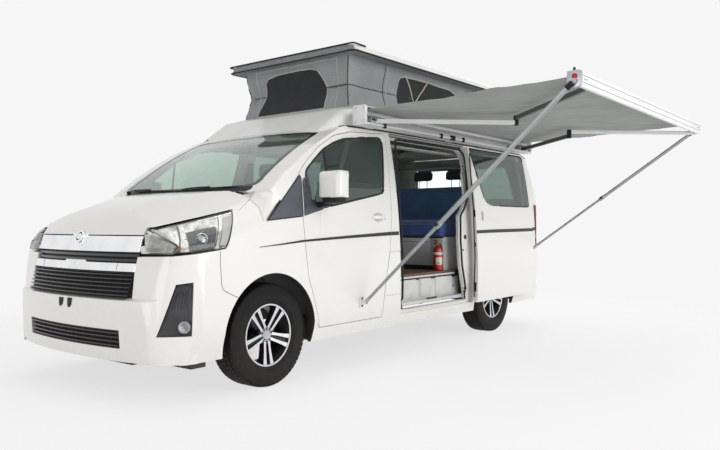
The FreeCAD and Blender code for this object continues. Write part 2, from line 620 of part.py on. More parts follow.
def make_awning():
    """Case on the roof's edge, two folding arms of two pieces, lead rail, cloth and legs."""
    back, front = CASE_BACK_Y, CASE_BACK_Y + CASE_DEPTH
    low, high, t = CASE_LOW_Z, CASE_HIGH_Z, CASE_SKIN
    profile = [(back, low), (front, low), (front, low + t + 5), (front - 6, low + t),
               (back + t, low + t), (back + t, high - t), (front - 8, high - t),
               (front, high - 13), (front + 4, high - 10), (front - 6, high - 3, front - 24, high),
               (back, high)]
    case = prism("yz", profile, CASE_REAR_X + CAP_T, CASE_FRONT_X - CAP_T)
    cap = [(back, low - 2), (front + 2, low - 2), (front + 2, high - 26),
           (front - 6, high - 4, front - 26, high + 2), (back, high + 2)]
    caps = [prism("yz", cap, x, x + CAP_T) for x in (CASE_FRONT_X - CAP_T, CASE_REAR_X)]
    roller = rod(V(CASE_REAR_X + CAP_T, back + 45, high - 50), V(CASE_FRONT_X - CAP_T, back + 45,
                                                                 high - 50), ROLLER_R)
    pins = [Part.makeCylinder(PIN_R, ARM_LOW_Z + ARM_H - low - 2, V(x, SHOULDER_Y, low + 2))
            for x in SHOULDER_X.values()]
    seats = [Part.makeCylinder(ARM_W / 2, ARM_LOW_Z - ARM_GAP - low - 2, V(x, SHOULDER_Y, low + 2))
             for x in SHOULDER_X.values()]
    feet = [box(x - 40, x + 40, back - 200, back + 2, low, low + 34)
            for x in (CASE_FRONT_X - 250, (CASE_FRONT_X + CASE_REAR_X) / 2, CASE_REAR_X + 250)]
    feet = [foot.cut([body_form(-SEAT_GAP), tapered(ring_levels()[:2])]) for foot in feet]
    keep("awning_case", joined([case, *caps, roller, *pins, *seats, *feet]))

    top = ARM_HIGH_Z + ARM_H
    for which in ("front", "rear"):
        shoulder, elbow, tip = arm_points(which)
        inner = arm(shoulder, elbow, ARM_LOW_Z, None, (ARM_LOW_Z + ARM_H - 1, top))
        outer = arm(elbow, tip, ARM_HIGH_Z, None, None)
        keep("awning_inner_arm_" + which, inner)
        keep("awning_outer_arm_" + which, outer)

    inner_y, outer_y, skin = TIP_Y - RAIL_IN, RAIL_OUTER_Y, RAIL_SKIN
    rail_path = [(inner_y, RAIL_HIGH_Z - skin), (outer_y - skin, RAIL_HIGH_Z - skin),
                 (outer_y - skin, RAIL_LOW_Z + skin), (outer_y - 22, RAIL_LOW_Z + skin),
                 (outer_y - 22, RAIL_LOW_Z), (outer_y - 6, RAIL_LOW_Z),
                 (outer_y - 2, RAIL_LOW_Z + 3, outer_y, RAIL_LOW_Z + 10),
                 (outer_y, RAIL_HIGH_Z - 14),
                 (outer_y - 5, RAIL_HIGH_Z - 4, outer_y - 16, RAIL_HIGH_Z),
                 (inner_y, RAIL_HIGH_Z)]
    rail = prism("yz", rail_path, CASE_REAR_X + CAP_T, CASE_FRONT_X - CAP_T)
    rail_cap = prism("yz", [(inner_y, RAIL_LOW_Z + 22), (outer_y - 24, RAIL_LOW_Z + 10),
                            (outer_y - 20, RAIL_LOW_Z), (outer_y, RAIL_LOW_Z),
                            (outer_y, RAIL_HIGH_Z - 14),
                            (outer_y - 5, RAIL_HIGH_Z - 4, outer_y - 16, RAIL_HIGH_Z),
                            (inner_y, RAIL_HIGH_Z)], 0, CAP_T)
    caps = []
    for x in (CASE_FRONT_X - CAP_T, CASE_REAR_X):
        piece = rail_cap.copy()
        piece.translate(V(x, 0, 0))
        caps.append(piece)
    lugs = []
    for x in SHOULDER_X.values():
        lug_low = ARM_HIGH_Z + ARM_H + ARM_GAP
        lugs.append(box(x - 18, x + 18, TIP_Y - 18, TIP_Y + 18, lug_low, RAIL_HIGH_Z - skin))
        lugs.append(Part.makeCylinder(PIN_R, lug_low - ARM_HIGH_Z + 1, V(x, TIP_Y, ARM_HIGH_Z)))
    keep("awning_rail", joined([rail, *caps, *lugs]))

    cloth = [(back + 45, high - 50 + ROLLER_R + SEAT_GAP), (inner_y - 5, RAIL_HIGH_Z - 26),
             (inner_y - 5, RAIL_HIGH_Z - 20), (back + 45, high - 44 + ROLLER_R + SEAT_GAP)]
    keep("awning_cloth", prism("yz", cloth, CASE_REAR_X + 40, CASE_FRONT_X - 40))
    make_awning_legs()


# Each leg: end of the awning, its X, foot's Z, lap of the thin lower tube in the thick one
LEGS = {"front": (CASE_FRONT_X + LEG_OUT, 500.0, 115.0),
        "rear": (CASE_REAR_X - LEG_OUT, 845.0, 59.0)}
LEG_EYE_Z = RAIL_LOW_Z + 40.0
LEG_EYE_Y = RAIL_OUTER_Y - 45.0
LEG_SPLIT = {"front": 0.40, "rear": 0.46}        # where the thick tube begins, of the length


def leg_line(which):
    """Foot pivot and upper eye of one leg, as open."""
    x, foot_z = LEGS[which][:2]
    return V(x, LEG_FOOT_Y, foot_z), V(x, LEG_EYE_Y, LEG_EYE_Z)


def make_awning_legs():
    """Two sliding legs from the rail's ends down to feet on the left side."""
    for which, (x, foot_z, lap) in LEGS.items():
        foot, eye = leg_line(which)
        along = (eye - foot).normalize()
        length = (eye - foot).Length
        split = foot + along * (length * LEG_SPLIT[which])
        lower = joined([rod(foot, split + along * lap, LEG_R),
                        rod(foot - V(LEG_R + 1, 0, 0), foot + V(LEG_R + 1, 0, 0), 16)])
        lower = lower.cut(rod(foot - V(20, 0, 0), foot + V(20, 0, 0), PIN_R + RUN_GAP))
        tube = rod(split, eye - along * 14, LEG_TUBE_R, LEG_R + RUN_GAP * 4)
        rail_end = CASE_FRONT_X + EYE_GAP if which == "front" else CASE_REAR_X - EYE_GAP
        away = 5 if which == "front" else -5
        upper = joined([tube, rod(V(rail_end, eye.y, eye.z), V(x + away, eye.y, eye.z), 17)])
        keep("awning_leg_foot_" + which, lower)
        keep("awning_leg_tube_" + which, upper)


def leg_bracket(which):
    """Plate, two ears and a pin that hold a leg's foot on the left side's skin."""
    x, foot_z = LEGS[which][:2]
    skin_y = HALF_WIDTH - 12.0
    plate = box(x - 30, x + 30, skin_y, skin_y + 18, foot_z - 40, foot_z + 40)
    inner, out = LEG_R + 2, LEG_R + 8
    ears = [box(x + s * inner, x + s * out, skin_y, LEG_FOOT_Y + 14, foot_z - 16, foot_z + 16)
            for s in (-1, 1)]
    pin = rod(V(x - out, LEG_FOOT_Y, foot_z), V(x + out, LEG_FOOT_Y, foot_z), PIN_R)
    return joined([plate, *ears, pin])


# ---- Running gear ------------------------------------------------------------------------
WHEELS = {"front_left": (0.0, 1), "front_right": (0.0, -1),
          "rear_left": (-WHEELBASE, 1), "rear_right": (-WHEELBASE, -1)}


def tyre_solid():
    """A tyre about the Y axis, with round shoulders and side walls."""
    h = TYRE_W / 2
    r = TYRE_R
    flank = r - RIM_R
    widest, edge = RIM_R + flank * 0.435, r - flank * 0.2
    path = [(h - 22, RIM_R), (h, widest, h - 12, edge),
            (h - 18, r - 6, h - 38, r), (-h + 38, r), (-h + 18, r - 6, -h + 12, edge),
            (-h, widest, -h + 22, RIM_R)]
    return face("yz", path).revolve(V(0, 0, 0), V(0, 1, 0), 360)


def rim_solid():
    """A ten-spoke alloy wheel about the Y axis, its face towards +Y."""
    h = TYRE_W / 2 - 22
    r = RIM_R - SEAT_GAP
    barrel = [(-h, r), (-h, r - 14), (-h + 22, r - 30), (h - 40, r - 30), (h - 12, r - 16),
              (h, r - 14), (h, r)]
    rim = face("yz", barrel).revolve(V(0, 0, 0), V(0, 1, 0), 360)
    hub = [(h - 75, 0), (h - 75, 78), (h - 40, 78), (h - 22, 62), (h - 16, 30), (h - 14, 0)]
    centre = face("yz", hub).revolve(V(0, 0, 0), V(0, 1, 0), 360)
    spokes = []
    for k in range(5):
        for lean in (-1, 1):
            path = [(lean * 10 - 12, 50), (lean * 10 + 12, 50), (lean * 36 + 15, r - 22),
                    (lean * 36 - 15, r - 22)]
            spoke = prism("xz", path, h - 46, h - 18)
            spoke.rotate(V(0, 0, 0), V(0, 1, 0), 72 * k)
            spokes.append(spoke)
    wheel = joined([rim, centre, *spokes])
    wheel = wheel.cut(rod(V(0, -200, 0), V(0, h - 30, 0), HUB_PIN_R + RUN_GAP))
    return wheel


def make_wheels():
    """Four wheels, each a tyre on its rim."""
    tyre, rim = tyre_solid(), rim_solid()
    for name, (x, side) in WHEELS.items():
        for word, shape in (("tyre_", tyre), ("rim_", rim)):
            piece = shape.copy()
            if side < 0:
                piece = piece.mirror(V(0, 0, 0), V(0, 1, 0))
            piece.translate(V(x, side * HALF_TRACK, TYRE_R))
            keep(word + name, piece)


RADIATOR_X = 640.0
ENGINE_HALF_W = 260.0


def make_axles():
    """Front knuckles and subframe, rear beam axle on its leaf springs, engine and tank."""
    z = TYRE_R
    face_y = HALF_TRACK + TYRE_W / 2 - 22 - 30 - 2
    for side, word in ((1, "left"), (-1, "right")):
        spindle = rod(V(0, side * (KINGPIN_Y + 20), z), V(0, side * face_y, z), HUB_PIN_R)
        disc = rod(V(0, side * (KINGPIN_Y + 22), z), V(0, side * (KINGPIN_Y + 38), z), 120)
        upright = box(-35, 35, side * (KINGPIN_Y - 22), side * (KINGPIN_Y + 22), z - 120, z + 130)
        bore = rod(V(0, side * KINGPIN_Y, z - 130), V(0, side * KINGPIN_Y, z + 140), 12 + RUN_GAP)
        keep("front_knuckle_" + word, joined([spindle, disc, upright]).cut(bore))
    beam = box(-60, 60, -420, 420, 190, 250)
    pieces = [beam]
    for side in (1, -1):
        arm_path = [(-150, 380), (150, 380), (30, KINGPIN_Y + 16), (-30, KINGPIN_Y + 16)]
        lower = prism("xy", arm_path, 200, 226)
        if side < 0:
            lower = mirrored(lower)
        tower = box(-32, 32, side * (KINGPIN_Y - 30), side * (KINGPIN_Y + 30), z + 138, z + 160)
        strut = rod(V(0, side * KINGPIN_Y, z + 140), V(0, side * (KINGPIN_Y - 60), 1000), 28)
        pins = [rod(V(0, side * KINGPIN_Y, 201), V(0, side * KINGPIN_Y, z - 90), 12),
                rod(V(0, side * KINGPIN_Y, z + 100), V(0, side * KINGPIN_Y, z + 142), 12)]
        rail_bar = box(-1200, RADIATOR_X - SEAT_GAP, side * 400, side * 460, 380, 470)
        riser = box(-1200, -1100, side * 400, side * 460, 470, FLOOR_Z - FLOOR_T - SEAT_GAP)
        hanger = box(-60, 60, side * 380, side * 440, 226, 390)
        mount = box(60, 140, side * (ENGINE_HALF_W + SEAT_GAP), side * 405, 385, 440)
        pieces += [lower, tower, strut, *pins, rail_bar, riser, hanger, mount]
    keep("front_subframe", joined(pieces))

    x = -WHEELBASE
    tube = rod(V(x, -KINGPIN_Y - 40, z), V(x, KINGPIN_Y + 40, z), 45)
    diff = Part.makeSphere(140, V(x, 0, z))
    spindles = [rod(V(x, s * (KINGPIN_Y + 20), z), V(x, s * face_y, z), HUB_PIN_R)
                for s in (1, -1)]
    drums = [rod(V(x, s * (KINGPIN_Y + 15), z), V(x, s * (KINGPIN_Y + 45), z), 135)
             for s in (1, -1)]
    springs = []
    for side in (1, -1):
        y0, y1 = side * 470, side * 530
        low, high = min(y0, y1), max(y0, y1)
        leaf = [(x - 640, 500), (x, z + 20, x + 640, 500), (x + 640, 475), (x, z - 5, x - 640, 475)]
        springs.append(prism("xz", leaf, low, high))
        springs.append(box(x - 60, x + 60, low - 5, high + 5, z - 50, z + 60))
        for end in (-640, 640):
            springs.append(box(x + end - 25, x + end + 25, low, high, 470, FLOOR_Z - FLOOR_T))
    keep("rear_axle", joined([tube, diff, *spindles, *drums, *springs]))

    under_floor = FLOOR_Z - FLOOR_T - SEAT_GAP
    keep("engine_and_radiator", box(0, 430, -ENGINE_HALF_W, ENGINE_HALF_W, 380, 1050),
         box(RADIATOR_X, RADIATOR_X + 60, -520, 520, 320, 1000))
    rails = [box(REAR_X + 155, -1230, s * 380, s * 450, 500, under_floor) for s in (1, -1)]
    tank = box(-2500, -1500, -360, -20, 330, under_floor)
    pipe = rod(V(-400, 250, 460), V(-4050, 250, 460), 32)
    silencer = rod(V(-1700, 250, 460), V(-2300, 250, 460), 90)
    straps = [box(px - 12, px + 12, 240, 260, 470, under_floor) for px in (-500, -3700)]
    keep("underbody", *rails, tank, joined([pipe, silencer, *straps]))


# ---- Cabin -------------------------------------------------------------------------------
BENCH_X = -2450.0
BENCH_Y = (-500.0, HALF_WIDTH - 175.0)


def make_cabin():
    """Floor, step, firewall, seats, dashboard and the bench bed's parts."""
    room = body_form(WALL + SEAT_GAP)
    slab = box(REAR_X + 105, FIREWALL_X, -REACH, REACH, FLOOR_Z - FLOOR_T, FLOOR_Z).common(room)
    wells = [rod(V(x, s * inner, TYRE_R), V(x, s * REACH, TYRE_R), ARCH_R + 25)
             for x, inner in ((0, 480), (-WHEELBASE, 600)) for s in (1, -1)]
    step = box(-2640, -1480, STEP_IN_Y, REACH, 0, FLOOR_Z + 5)
    wall = box(FIREWALL_X - 40, FIREWALL_X, -700, 700, FLOOR_Z - 1, 1261)
    tread = box(-2640, -1480, STEP_IN_Y - 30, REACH, STEP_Z - 30, STEP_Z).common(room)
    riser = box(-2640, -1480, STEP_IN_Y - 30, STEP_IN_Y, STEP_Z - 1, FLOOR_Z - FLOOR_T - SEAT_GAP)
    keep("floor_pan", joined([slab.cut(step), wall]).cut(wells))
    keep("side_step", joined([tread, riser]))
    liners = []
    for x in (0, -WHEELBASE):
        for s in (1, -1):
            outer = rod(V(x, s * 610, TYRE_R), V(x, s * REACH, TYRE_R), ARCH_R + 20)
            inner = rod(V(x, s * 600, TYRE_R), V(x, s * (REACH + 10), TYRE_R), ARCH_R + 10)
            upper = box(x - 600, x + 600, -REACH, REACH, TYRE_R + 20, 1200)
            hole = rod(V(x, s * KINGPIN_Y, TYRE_R), V(x, s * (KINGPIN_Y - 60), 1000), 45)
            liners.append(outer.cut([inner, hole]).common(upper).common(room))
    keep("wheel_arch_liners", *liners)

    behind = FIREWALL_X - 40 - SEAT_GAP
    dash_path = [(-330, 900), (-330, 1180), (-300, 1260, -180, 1290), (60, 1290), (60, 1262),
                 (behind, 1262), (behind, 900)]
    dash = prism("xz", dash_path, -(HALF_WIDTH - 146), HALF_WIDTH - 146).common(room)
    keep("dashboard", joined([dash, steering_column()]))

    seat_parts = []
    for s in (1, -1):
        y0, y1 = s * 430 - 240, s * 430 + 240
        base = box(-1120, -660, y0 + 30, y1 - 30, FLOOR_Z + SEAT_GAP, 860)
        cushion = prism("xz", [(-1180, 860), (-640, 860), (-610, 900, -640, 960), (-1180, 940)],
                        y0, y1)
        back = prism("xz", [(-1080, 930), (-1220, 930), (-1370, 1500), (-1330, 1540, -1280, 1500)],
                     y0, y1)
        head = prism("xz", [(-1345, 1540), (-1270, 1540), (-1285, 1680), (-1330, 1700, -1370, 1680)],
                     s * 430 - 130, s * 430 + 130)
        stalk = box(-1322, -1302, s * 430 - 60, s * 430 + 60, 1480, 1560)
        seat_parts.append(joined([base, cushion, back, stalk, head]))
    keep("front_seats", *seat_parts)

    y0, y1 = BENCH_Y
    base = box(BENCH_X, BENCH_X - 620, y0, y1, FLOOR_Z + SEAT_GAP, 984).cut(wells)
    cushion = box(BENCH_X + 12, BENCH_X - 500, y0, y1, 984 + SEAT_GAP, 1134)
    back = prism("xz", [(BENCH_X - 505, 984 + SEAT_GAP), (BENCH_X - 620, 984 + SEAT_GAP),
                        (BENCH_X - 690, 1530), (BENCH_X - 570, 1540)], y0, y1)
    heads = [prism("xz", [(BENCH_X - 595, 1560), (BENCH_X - 670, 1560), (BENCH_X - 685, 1690),
                          (BENCH_X - 615, 1690)], y - 130, y + 130) for y in (150, 560)]
    stalks = [box(BENCH_X - 645, BENCH_X - 625, y - 50, y + 50, 1490, 1600) for y in (150, 560)]
    keep("bench_seat", base, cushion, joined([back, *heads, *stalks]))

    body = rod(V(-2385, 780, FLOOR_Z + SEAT_GAP), V(-2385, 780, FLOOR_Z + 235), 48)
    neck = rod(V(-2385, 780, FLOOR_Z + 234), V(-2385, 780, FLOOR_Z + 275), 16)
    grip = box(-2395, -2375, 740, 815, FLOOR_Z + 270, FLOOR_Z + 295)
    keep("fire_extinguisher", joined([body, neck, grip]))


STEER_HUB = V(-620.0, -400.0, 1235.0)
STEER_TILT = 32.0                   # column's slope below level, pointing forward


STEER_AXIS = V(math.cos(math.radians(STEER_TILT)), 0, -math.sin(math.radians(STEER_TILT)))


def steering_column():
    """Column with the spindle that the steering wheel turns on."""
    shroud = rod(STEER_HUB + STEER_AXIS * 36, STEER_HUB + STEER_AXIS * 360, 38)
    spindle = rod(STEER_HUB, STEER_HUB + STEER_AXIS * 60, 10)
    return joined([shroud, spindle])


def make_steering_wheel():
    """Steering wheel on the van's right."""
    hub, axis = STEER_HUB, STEER_AXIS
    rim = Part.makeTorus(STEER_WHEEL_R - 15, 15, hub, axis)
    boss = rod(hub - axis * 20, hub + axis * 30, 50)
    bar = rod(hub - V(0, STEER_WHEEL_R - 20, 0), hub + V(0, STEER_WHEEL_R - 20, 0), 13)
    down = V(axis.z, 0, -axis.x)
    low_bar = rod(hub, hub + down * (STEER_WHEEL_R - 20), 13)
    bore = rod(hub - axis * 2, hub + axis * 31, 10 + RUN_GAP)
    keep("steering_wheel", joined([rim, boss, bar, low_bar]).cut(bore))


# ---- Mirrors and small body parts --------------------------------------------------------
def make_mirrors():
    """Door mirrors: white shell on a black foot, and an arm from the door's corner."""
    for side, word in ((1, "left"), (-1, "right")):
        far = MIRROR_REACH_Y
        shell = prism("xy", [(-480, far - 205), (-415, far - 200, -400, far - 150),
                             (-405, far - 45), (-425, far, -490, far - 6), (-545, far - 20),
                             (-545, far - 197)], 1300, 1495)
        front_view = [(far - 40, 1300), (far - 8, 1304, far - 2, 1340),
                      (far, 1440), (far - 6, 1487, far - 50, 1495), (far - 160, 1493),
                      (far - 201, 1486, far - 205, 1445), (far - 205, 1335),
                      (far - 201, 1303, far - 170, 1300)]
        shell = shell.common(prism("yz", front_view, -600, -300))
        side_view = [(-545, 1300), (-430, 1300), (-402, 1310, -400, 1350), (-405, 1430),
                     (-415, 1482, -470, 1495), (-545, 1493)]
        shell = shell.common(prism("xz", side_view, far - 300, far + 100))
        glass = prism("yz", front_view, -560, -533, inset=12)
        shell = shell.cut(glass).fuse(prism("yz", front_view, -538, -530, inset=18))
        foot = prism("xy", [(-470, far - 205), (-410, far - 165), (-415, far - 35),
                            (-530, far - 35), (-530, far - 205)], 1262, 1301)
        arm_bar = prism("yz", [(far - 285, 1225), (far - 155, 1240), (far - 155, 1275),
                               (far - 285, 1275)], -520, -450)
        arm_bar = arm_bar.cut(body_form(-SEAT_GAP))
        whole = [joined([foot, arm_bar]), shell]
        if side < 0:
            whole = [mirrored(piece) for piece in whole]
        keep("mirror_" + word, joined(whole))


def write_parts():
    """Move every node to the shared origin and write its STEP file."""
    os.makedirs("parts", exist_ok=True)
    for name, shape in PARTS.items():
        moved = shape.copy()
        moved.translate(ORIGIN * -1)
        moved.exportStep(os.path.join("parts", name + ".step"))
        if not moved.isValid() or not moved.Solids:
            print("check the solid of", name)
    print(len(PARTS), "nodes; origin", tuple(ORIGIN))


make_shell()
make_pop_top()
make_awning()
make_wheels()
make_axles()
make_cabin()
make_steering_wheel()
make_mirrors()
write_parts()
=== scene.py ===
"""Looks of a pop-top conversion van with a folding-arm awning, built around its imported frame.

Every length is in metres. Sizes inside the classes are in the van's own frame (X forward from
the front axle, Y to the left, Z up from the ground); at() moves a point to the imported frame.
"""
from __future__ import annotations

import json
import logging
import math
from dataclasses import dataclass
from enum import Enum
from typing import Callable, Iterable, Sequence

import bmesh
import bpy
from mathutils import Matrix, Vector
from mathutils.bvhtree import BVHTree

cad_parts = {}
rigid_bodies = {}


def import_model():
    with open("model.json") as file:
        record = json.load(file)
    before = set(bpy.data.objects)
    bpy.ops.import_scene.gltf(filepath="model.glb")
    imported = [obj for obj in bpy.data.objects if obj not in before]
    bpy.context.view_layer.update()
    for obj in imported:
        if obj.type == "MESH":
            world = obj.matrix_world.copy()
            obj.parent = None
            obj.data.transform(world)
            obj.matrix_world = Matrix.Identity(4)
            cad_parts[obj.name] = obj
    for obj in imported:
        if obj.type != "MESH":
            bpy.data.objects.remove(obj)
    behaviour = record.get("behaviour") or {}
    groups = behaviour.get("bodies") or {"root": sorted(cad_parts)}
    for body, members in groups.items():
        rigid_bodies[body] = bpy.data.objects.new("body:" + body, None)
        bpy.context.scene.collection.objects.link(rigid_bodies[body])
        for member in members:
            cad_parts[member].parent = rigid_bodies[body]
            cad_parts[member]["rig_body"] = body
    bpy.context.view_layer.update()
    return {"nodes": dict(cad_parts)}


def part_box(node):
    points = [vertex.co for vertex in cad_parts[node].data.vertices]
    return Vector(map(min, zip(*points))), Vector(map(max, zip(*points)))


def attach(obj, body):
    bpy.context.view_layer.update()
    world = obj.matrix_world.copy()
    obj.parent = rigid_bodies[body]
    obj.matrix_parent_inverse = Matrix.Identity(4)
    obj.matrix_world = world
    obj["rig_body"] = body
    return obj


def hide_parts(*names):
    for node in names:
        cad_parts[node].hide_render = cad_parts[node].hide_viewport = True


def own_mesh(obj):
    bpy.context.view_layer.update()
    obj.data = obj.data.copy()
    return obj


LOG = logging.getLogger("van")
Point = Sequence[float]
Flat = tuple[float, float]
Path = list[Vector]
Cast = Callable[..., tuple[Vector, Vector]]
Piece = bpy.types.Object
Material = bpy.types.Material
Tree = bpy.types.NodeTree
Socket = bpy.types.NodeSocket

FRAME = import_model()
_LOW, _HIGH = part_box("tyre_front_left")
TYRE_RADIUS = (_HIGH.z - _LOW.z) / 2
TYRE_WIDTH = _HIGH.y - _LOW.y
HALF_TRACK = 0.8375
SHIFT = (_LOW + _HIGH) / 2 - Vector((0.0, HALF_TRACK, TYRE_RADIUS))
WHEELBASE = 3.210
LEFT, RIGHT = 1, -1
WORD = {LEFT: "left", RIGHT: "right"}
RIM_STEP = 0.03
SIDE_LEAN = 0.085
COVER_PRESSURE, COVER_FRAMES = 4.0, 20
AHEAD, BACK = Vector((1.0, 0.0, 0.0)), Vector((-1.0, 0.0, 0.0))
OUT, UP = Vector((0.0, 1.0, 0.0)), Vector((0.0, 0.0, 1.0))


class Body(str, Enum):
    """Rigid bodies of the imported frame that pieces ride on."""

    VAN = "van"
    BONNET = "bonnet"
    DOOR_LEFT = "door_left"
    DOOR_RIGHT = "door_right"
    TAILGATE = "tailgate"
    FLAP = "fuel_flap"
    LID = "lid"
    RAIL = "rail"


def at(x: float, y: float, z: float) -> Vector:
    """Point of the van's own frame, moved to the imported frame."""
    return Vector((x, y, z)) + SHIFT


def linear(code: str) -> tuple[float, float, float, float]:
    """Turn an sRGB colour into the linear one that shaders use.

    Args:
        code: six hexadecimal digits.

    Returns:
        Linear red, green and blue, and an alpha of one.
    """
    parts = [int(code[i:i + 2], 16) / 255 for i in (0, 2, 4)]
    red, green, blue = (p / 12.92 if p <= 0.04045 else ((p + 0.055) / 1.055) ** 2.4
                        for p in parts)
    return red, green, blue, 1.0


# ---- Shader and mesh tools ---------------------------------------------------------------
def add(tree: Tree, kind: str, settings: dict | None = None,
        links: dict | None = None) -> bpy.types.Node:
    """Add one node with its settings and its incoming links.

    Args:
        tree: the tree that gets the node.
        kind: the node's type name.
        settings: properties, and input sockets by name or number with their values.
        links: input sockets by name or number with the output sockets that feed them.

    Returns:
        The new node.
    """
    node = tree.nodes.new(kind)
    for key, value in (settings or {}).items():
        if isinstance(key, str) and hasattr(node, key) and key != "inputs":
            setattr(node, key, value)
        else:
            node.inputs[key].default_value = value
    for key, source in (links or {}).items():
        tree.links.new(source, node.inputs[key])
    return node


def ramp(tree: Tree, source: Socket, stops: Sequence[tuple[float, str]]) -> Socket:
    """Colour ramp between sRGB colours.

    Args:
        tree: the material's tree.
        source: the value that picks the colour.
        stops: place and colour of each stop, from low to high.

    Returns:
        The ramp's colour socket.
    """
    node = add(tree, "ShaderNodeValToRGB", {}, {"Fac": source})
    elements = node.color_ramp.elements
    while len(elements) < len(stops):
        elements.new(0.5)
    for element, (place, code) in zip(elements, stops):
        element.position = place
        element.color = linear(code)
    return node.outputs["Color"]


def maths(tree: Tree, operation: str, *values: object) -> Socket:
    """One Math node.

    Args:
        tree: the material's tree.
        operation: the node's operation.
        values: numbers, or sockets that are linked.

    Returns:
        The value's socket.
    """
    node = add(tree, "ShaderNodeMath", {"operation": operation})
    for index, value in enumerate(values):
        if isinstance(value, Socket):
            tree.links.new(value, node.inputs[index])
        else:
            node.inputs[index].default_value = value
    return node.outputs[0]


def polished(obj: Piece) -> Piece:
    """Apply an object's modifiers by way of its evaluated mesh.

    Args:
        obj: the piece, with live modifiers.

    Returns:
        The same piece with a plain mesh.
    """
    graph = bpy.context.evaluated_depsgraph_get()
    graph.update()
    mesh = bpy.data.meshes.new_from_object(obj.evaluated_get(graph))
    obj.modifiers.clear()
    old, obj.data = obj.data, mesh
    bpy.data.meshes.remove(old)
    mesh.name = obj.name
    return obj


def new_piece(name: str, verts: Iterable[Point], faces: Iterable[Sequence[int]],
              material: Finish | Material, angle: float = 35.0) -> Piece:
    """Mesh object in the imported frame, with outward faces.

    Args:
        name: the piece's name.
        verts: corners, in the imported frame.
        faces: corner numbers of each face.
        material: the piece's finish, or a material that is already made.
        angle: edges bent by more than this many degrees stay sharp.

    Returns:
        The new object, linked to the scene.
    """
    mesh = bpy.data.meshes.new(name)
    mesh.from_pydata([tuple(v) for v in verts], [], [tuple(f) for f in faces])
    work = bmesh.new()
    work.from_mesh(mesh)
    bmesh.ops.remove_doubles(work, verts=work.verts, dist=1e-6)
    bmesh.ops.recalc_face_normals(work, faces=work.faces)
    work.to_mesh(mesh)
    work.free()
    mesh.shade_smooth()
    mesh.set_sharp_from_angle(angle=math.radians(angle))
    mesh.materials.append(material.build() if isinstance(material, Finish) else material)
    obj = bpy.data.objects.new(name, mesh)
    bpy.context.scene.collection.objects.link(obj)
    return obj


def finish(obj: Piece, body: Body | str, stands_for: Sequence[str] = ()) -> Piece:
    """Tie a finished piece to its body and the CAD nodes it stands for.

    Args:
        obj: the piece, with its modifiers applied.
        body: the body that it rides on.
        stands_for: CAD nodes that it replaces.

    Returns:
        The same piece.
    """
    if obj.modifiers:
        polished(obj)
    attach(obj, body.value if isinstance(body, Body) else body)
    if stands_for:
        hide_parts(*stands_for)
    LOG.info("piece %s on %s, %d faces", obj.name, obj["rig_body"], len(obj.data.polygons))
    return obj


def with_modifier(obj: Piece, kind: str, **settings: object) -> Piece:
    """Add a modifier with its settings.

    Args:
        obj: the piece.
        kind: the modifier's type.
        settings: its properties.

    Returns:
        The same piece.
    """
    modifier = obj.modifiers.new(kind.lower(), kind)
    for key, value in settings.items():
        setattr(modifier, key, value)
    return obj


def with_bevel(obj: Piece, width: float, segments: int, angle: float, **more: object) -> Piece:
    """Add a bevel on the edges that are bent by more than an angle, in degrees."""
    return with_modifier(obj, "BEVEL", width=width, segments=segments, limit_method="ANGLE",
                         angle_limit=math.radians(angle), **more)


def bevelled(obj: Piece, width: float, segments: int = 2, angle: float = 30.0) -> Piece:
    """Round a piece's edges.

    Args:
        obj: the piece.
        width: the bevel's width.
        segments: facets across it.
        angle: only edges bent by more than this many degrees are rounded.

    Returns:
        The same piece, with its mesh made plain.
    """
    with_bevel(obj, width, segments, angle, harden_normals=False)
    polished(obj)
    obj.data.shade_smooth()
    obj.data.set_sharp_from_angle(angle=math.radians(40))
    return obj


def joined(name: str, pieces: Sequence[Piece]) -> Piece:
    """Make one object of several, each with the faces and materials it had.

    Args:
        name: the new name.
        pieces: the objects, which are used up.

    Returns:
        The joined object.
    """
    first = pieces[0]
    if len(pieces) > 1:
        bpy.context.view_layer.update()
        with bpy.context.temp_override(active_object=first, object=first,
                                       selected_editable_objects=list(pieces),
                                       selected_objects=list(pieces)):
            bpy.ops.object.join()
    first.name = name
    first.data.name = name
    return first


def block(name: str, low: Point, high: Point, material: Finish, radius: float) -> Piece:
    """Box with round edges.

    Args:
        name: the piece's name.
        low: one corner, in the van's frame.
        high: the opposite corner.
        material: its finish.
        radius: the edges' radius.

    Returns:
        The new object.
    """
    lo = at(*(min(a, b) for a, b in zip(low, high)))
    hi = at(*(max(a, b) for a, b in zip(low, high)))
    verts = [(x, y, z) for x in (lo.x, hi.x) for y in (lo.y, hi.y) for z in (lo.z, hi.z)]
    faces = [(0, 1, 3, 2), (4, 6, 7, 5), (0, 4, 5, 1), (2, 3, 7, 6), (0, 2, 6, 4), (1, 5, 7, 3)]
    return bevelled(new_piece(name, verts, faces, material), radius)


def belt(count: int, size: int, closed: bool, ring: bool = True) -> list[tuple[int, ...]]:
    """Faces between a row of equal sections, with caps where the row is open.

    Args:
        count: number of sections.
        size: corners of each section.
        closed: whether the last section meets the first.
        ring: whether each section's last corner meets its first.

    Returns:
        Corner numbers of each face.
    """
    faces = [(i * size + k, i * size + (k + 1) % size, (i + 1) % count * size + (k + 1) % size,
              (i + 1) % count * size + k)
             for i in range(count if closed else count - 1)
             for k in range(size if ring else size - 1)]
    if not closed:
        faces += [tuple(range(size)), tuple(range((count - 1) * size, count * size))]
    return faces


def tangents_of(path: Path, closed: bool) -> list[Vector]:
    """Direction of a path at each of its points.

    Args:
        path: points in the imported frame.
        closed: whether it is a ring.

    Returns:
        The direction at each point.
    """
    count = len(path)
    result = []
    for i, point in enumerate(path):
        ahead = path[(i + 1) % count] if closed or i < count - 1 else point
        behind = path[i - 1] if closed or i > 0 else point
        result.append((ahead - behind).normalized())
    return result


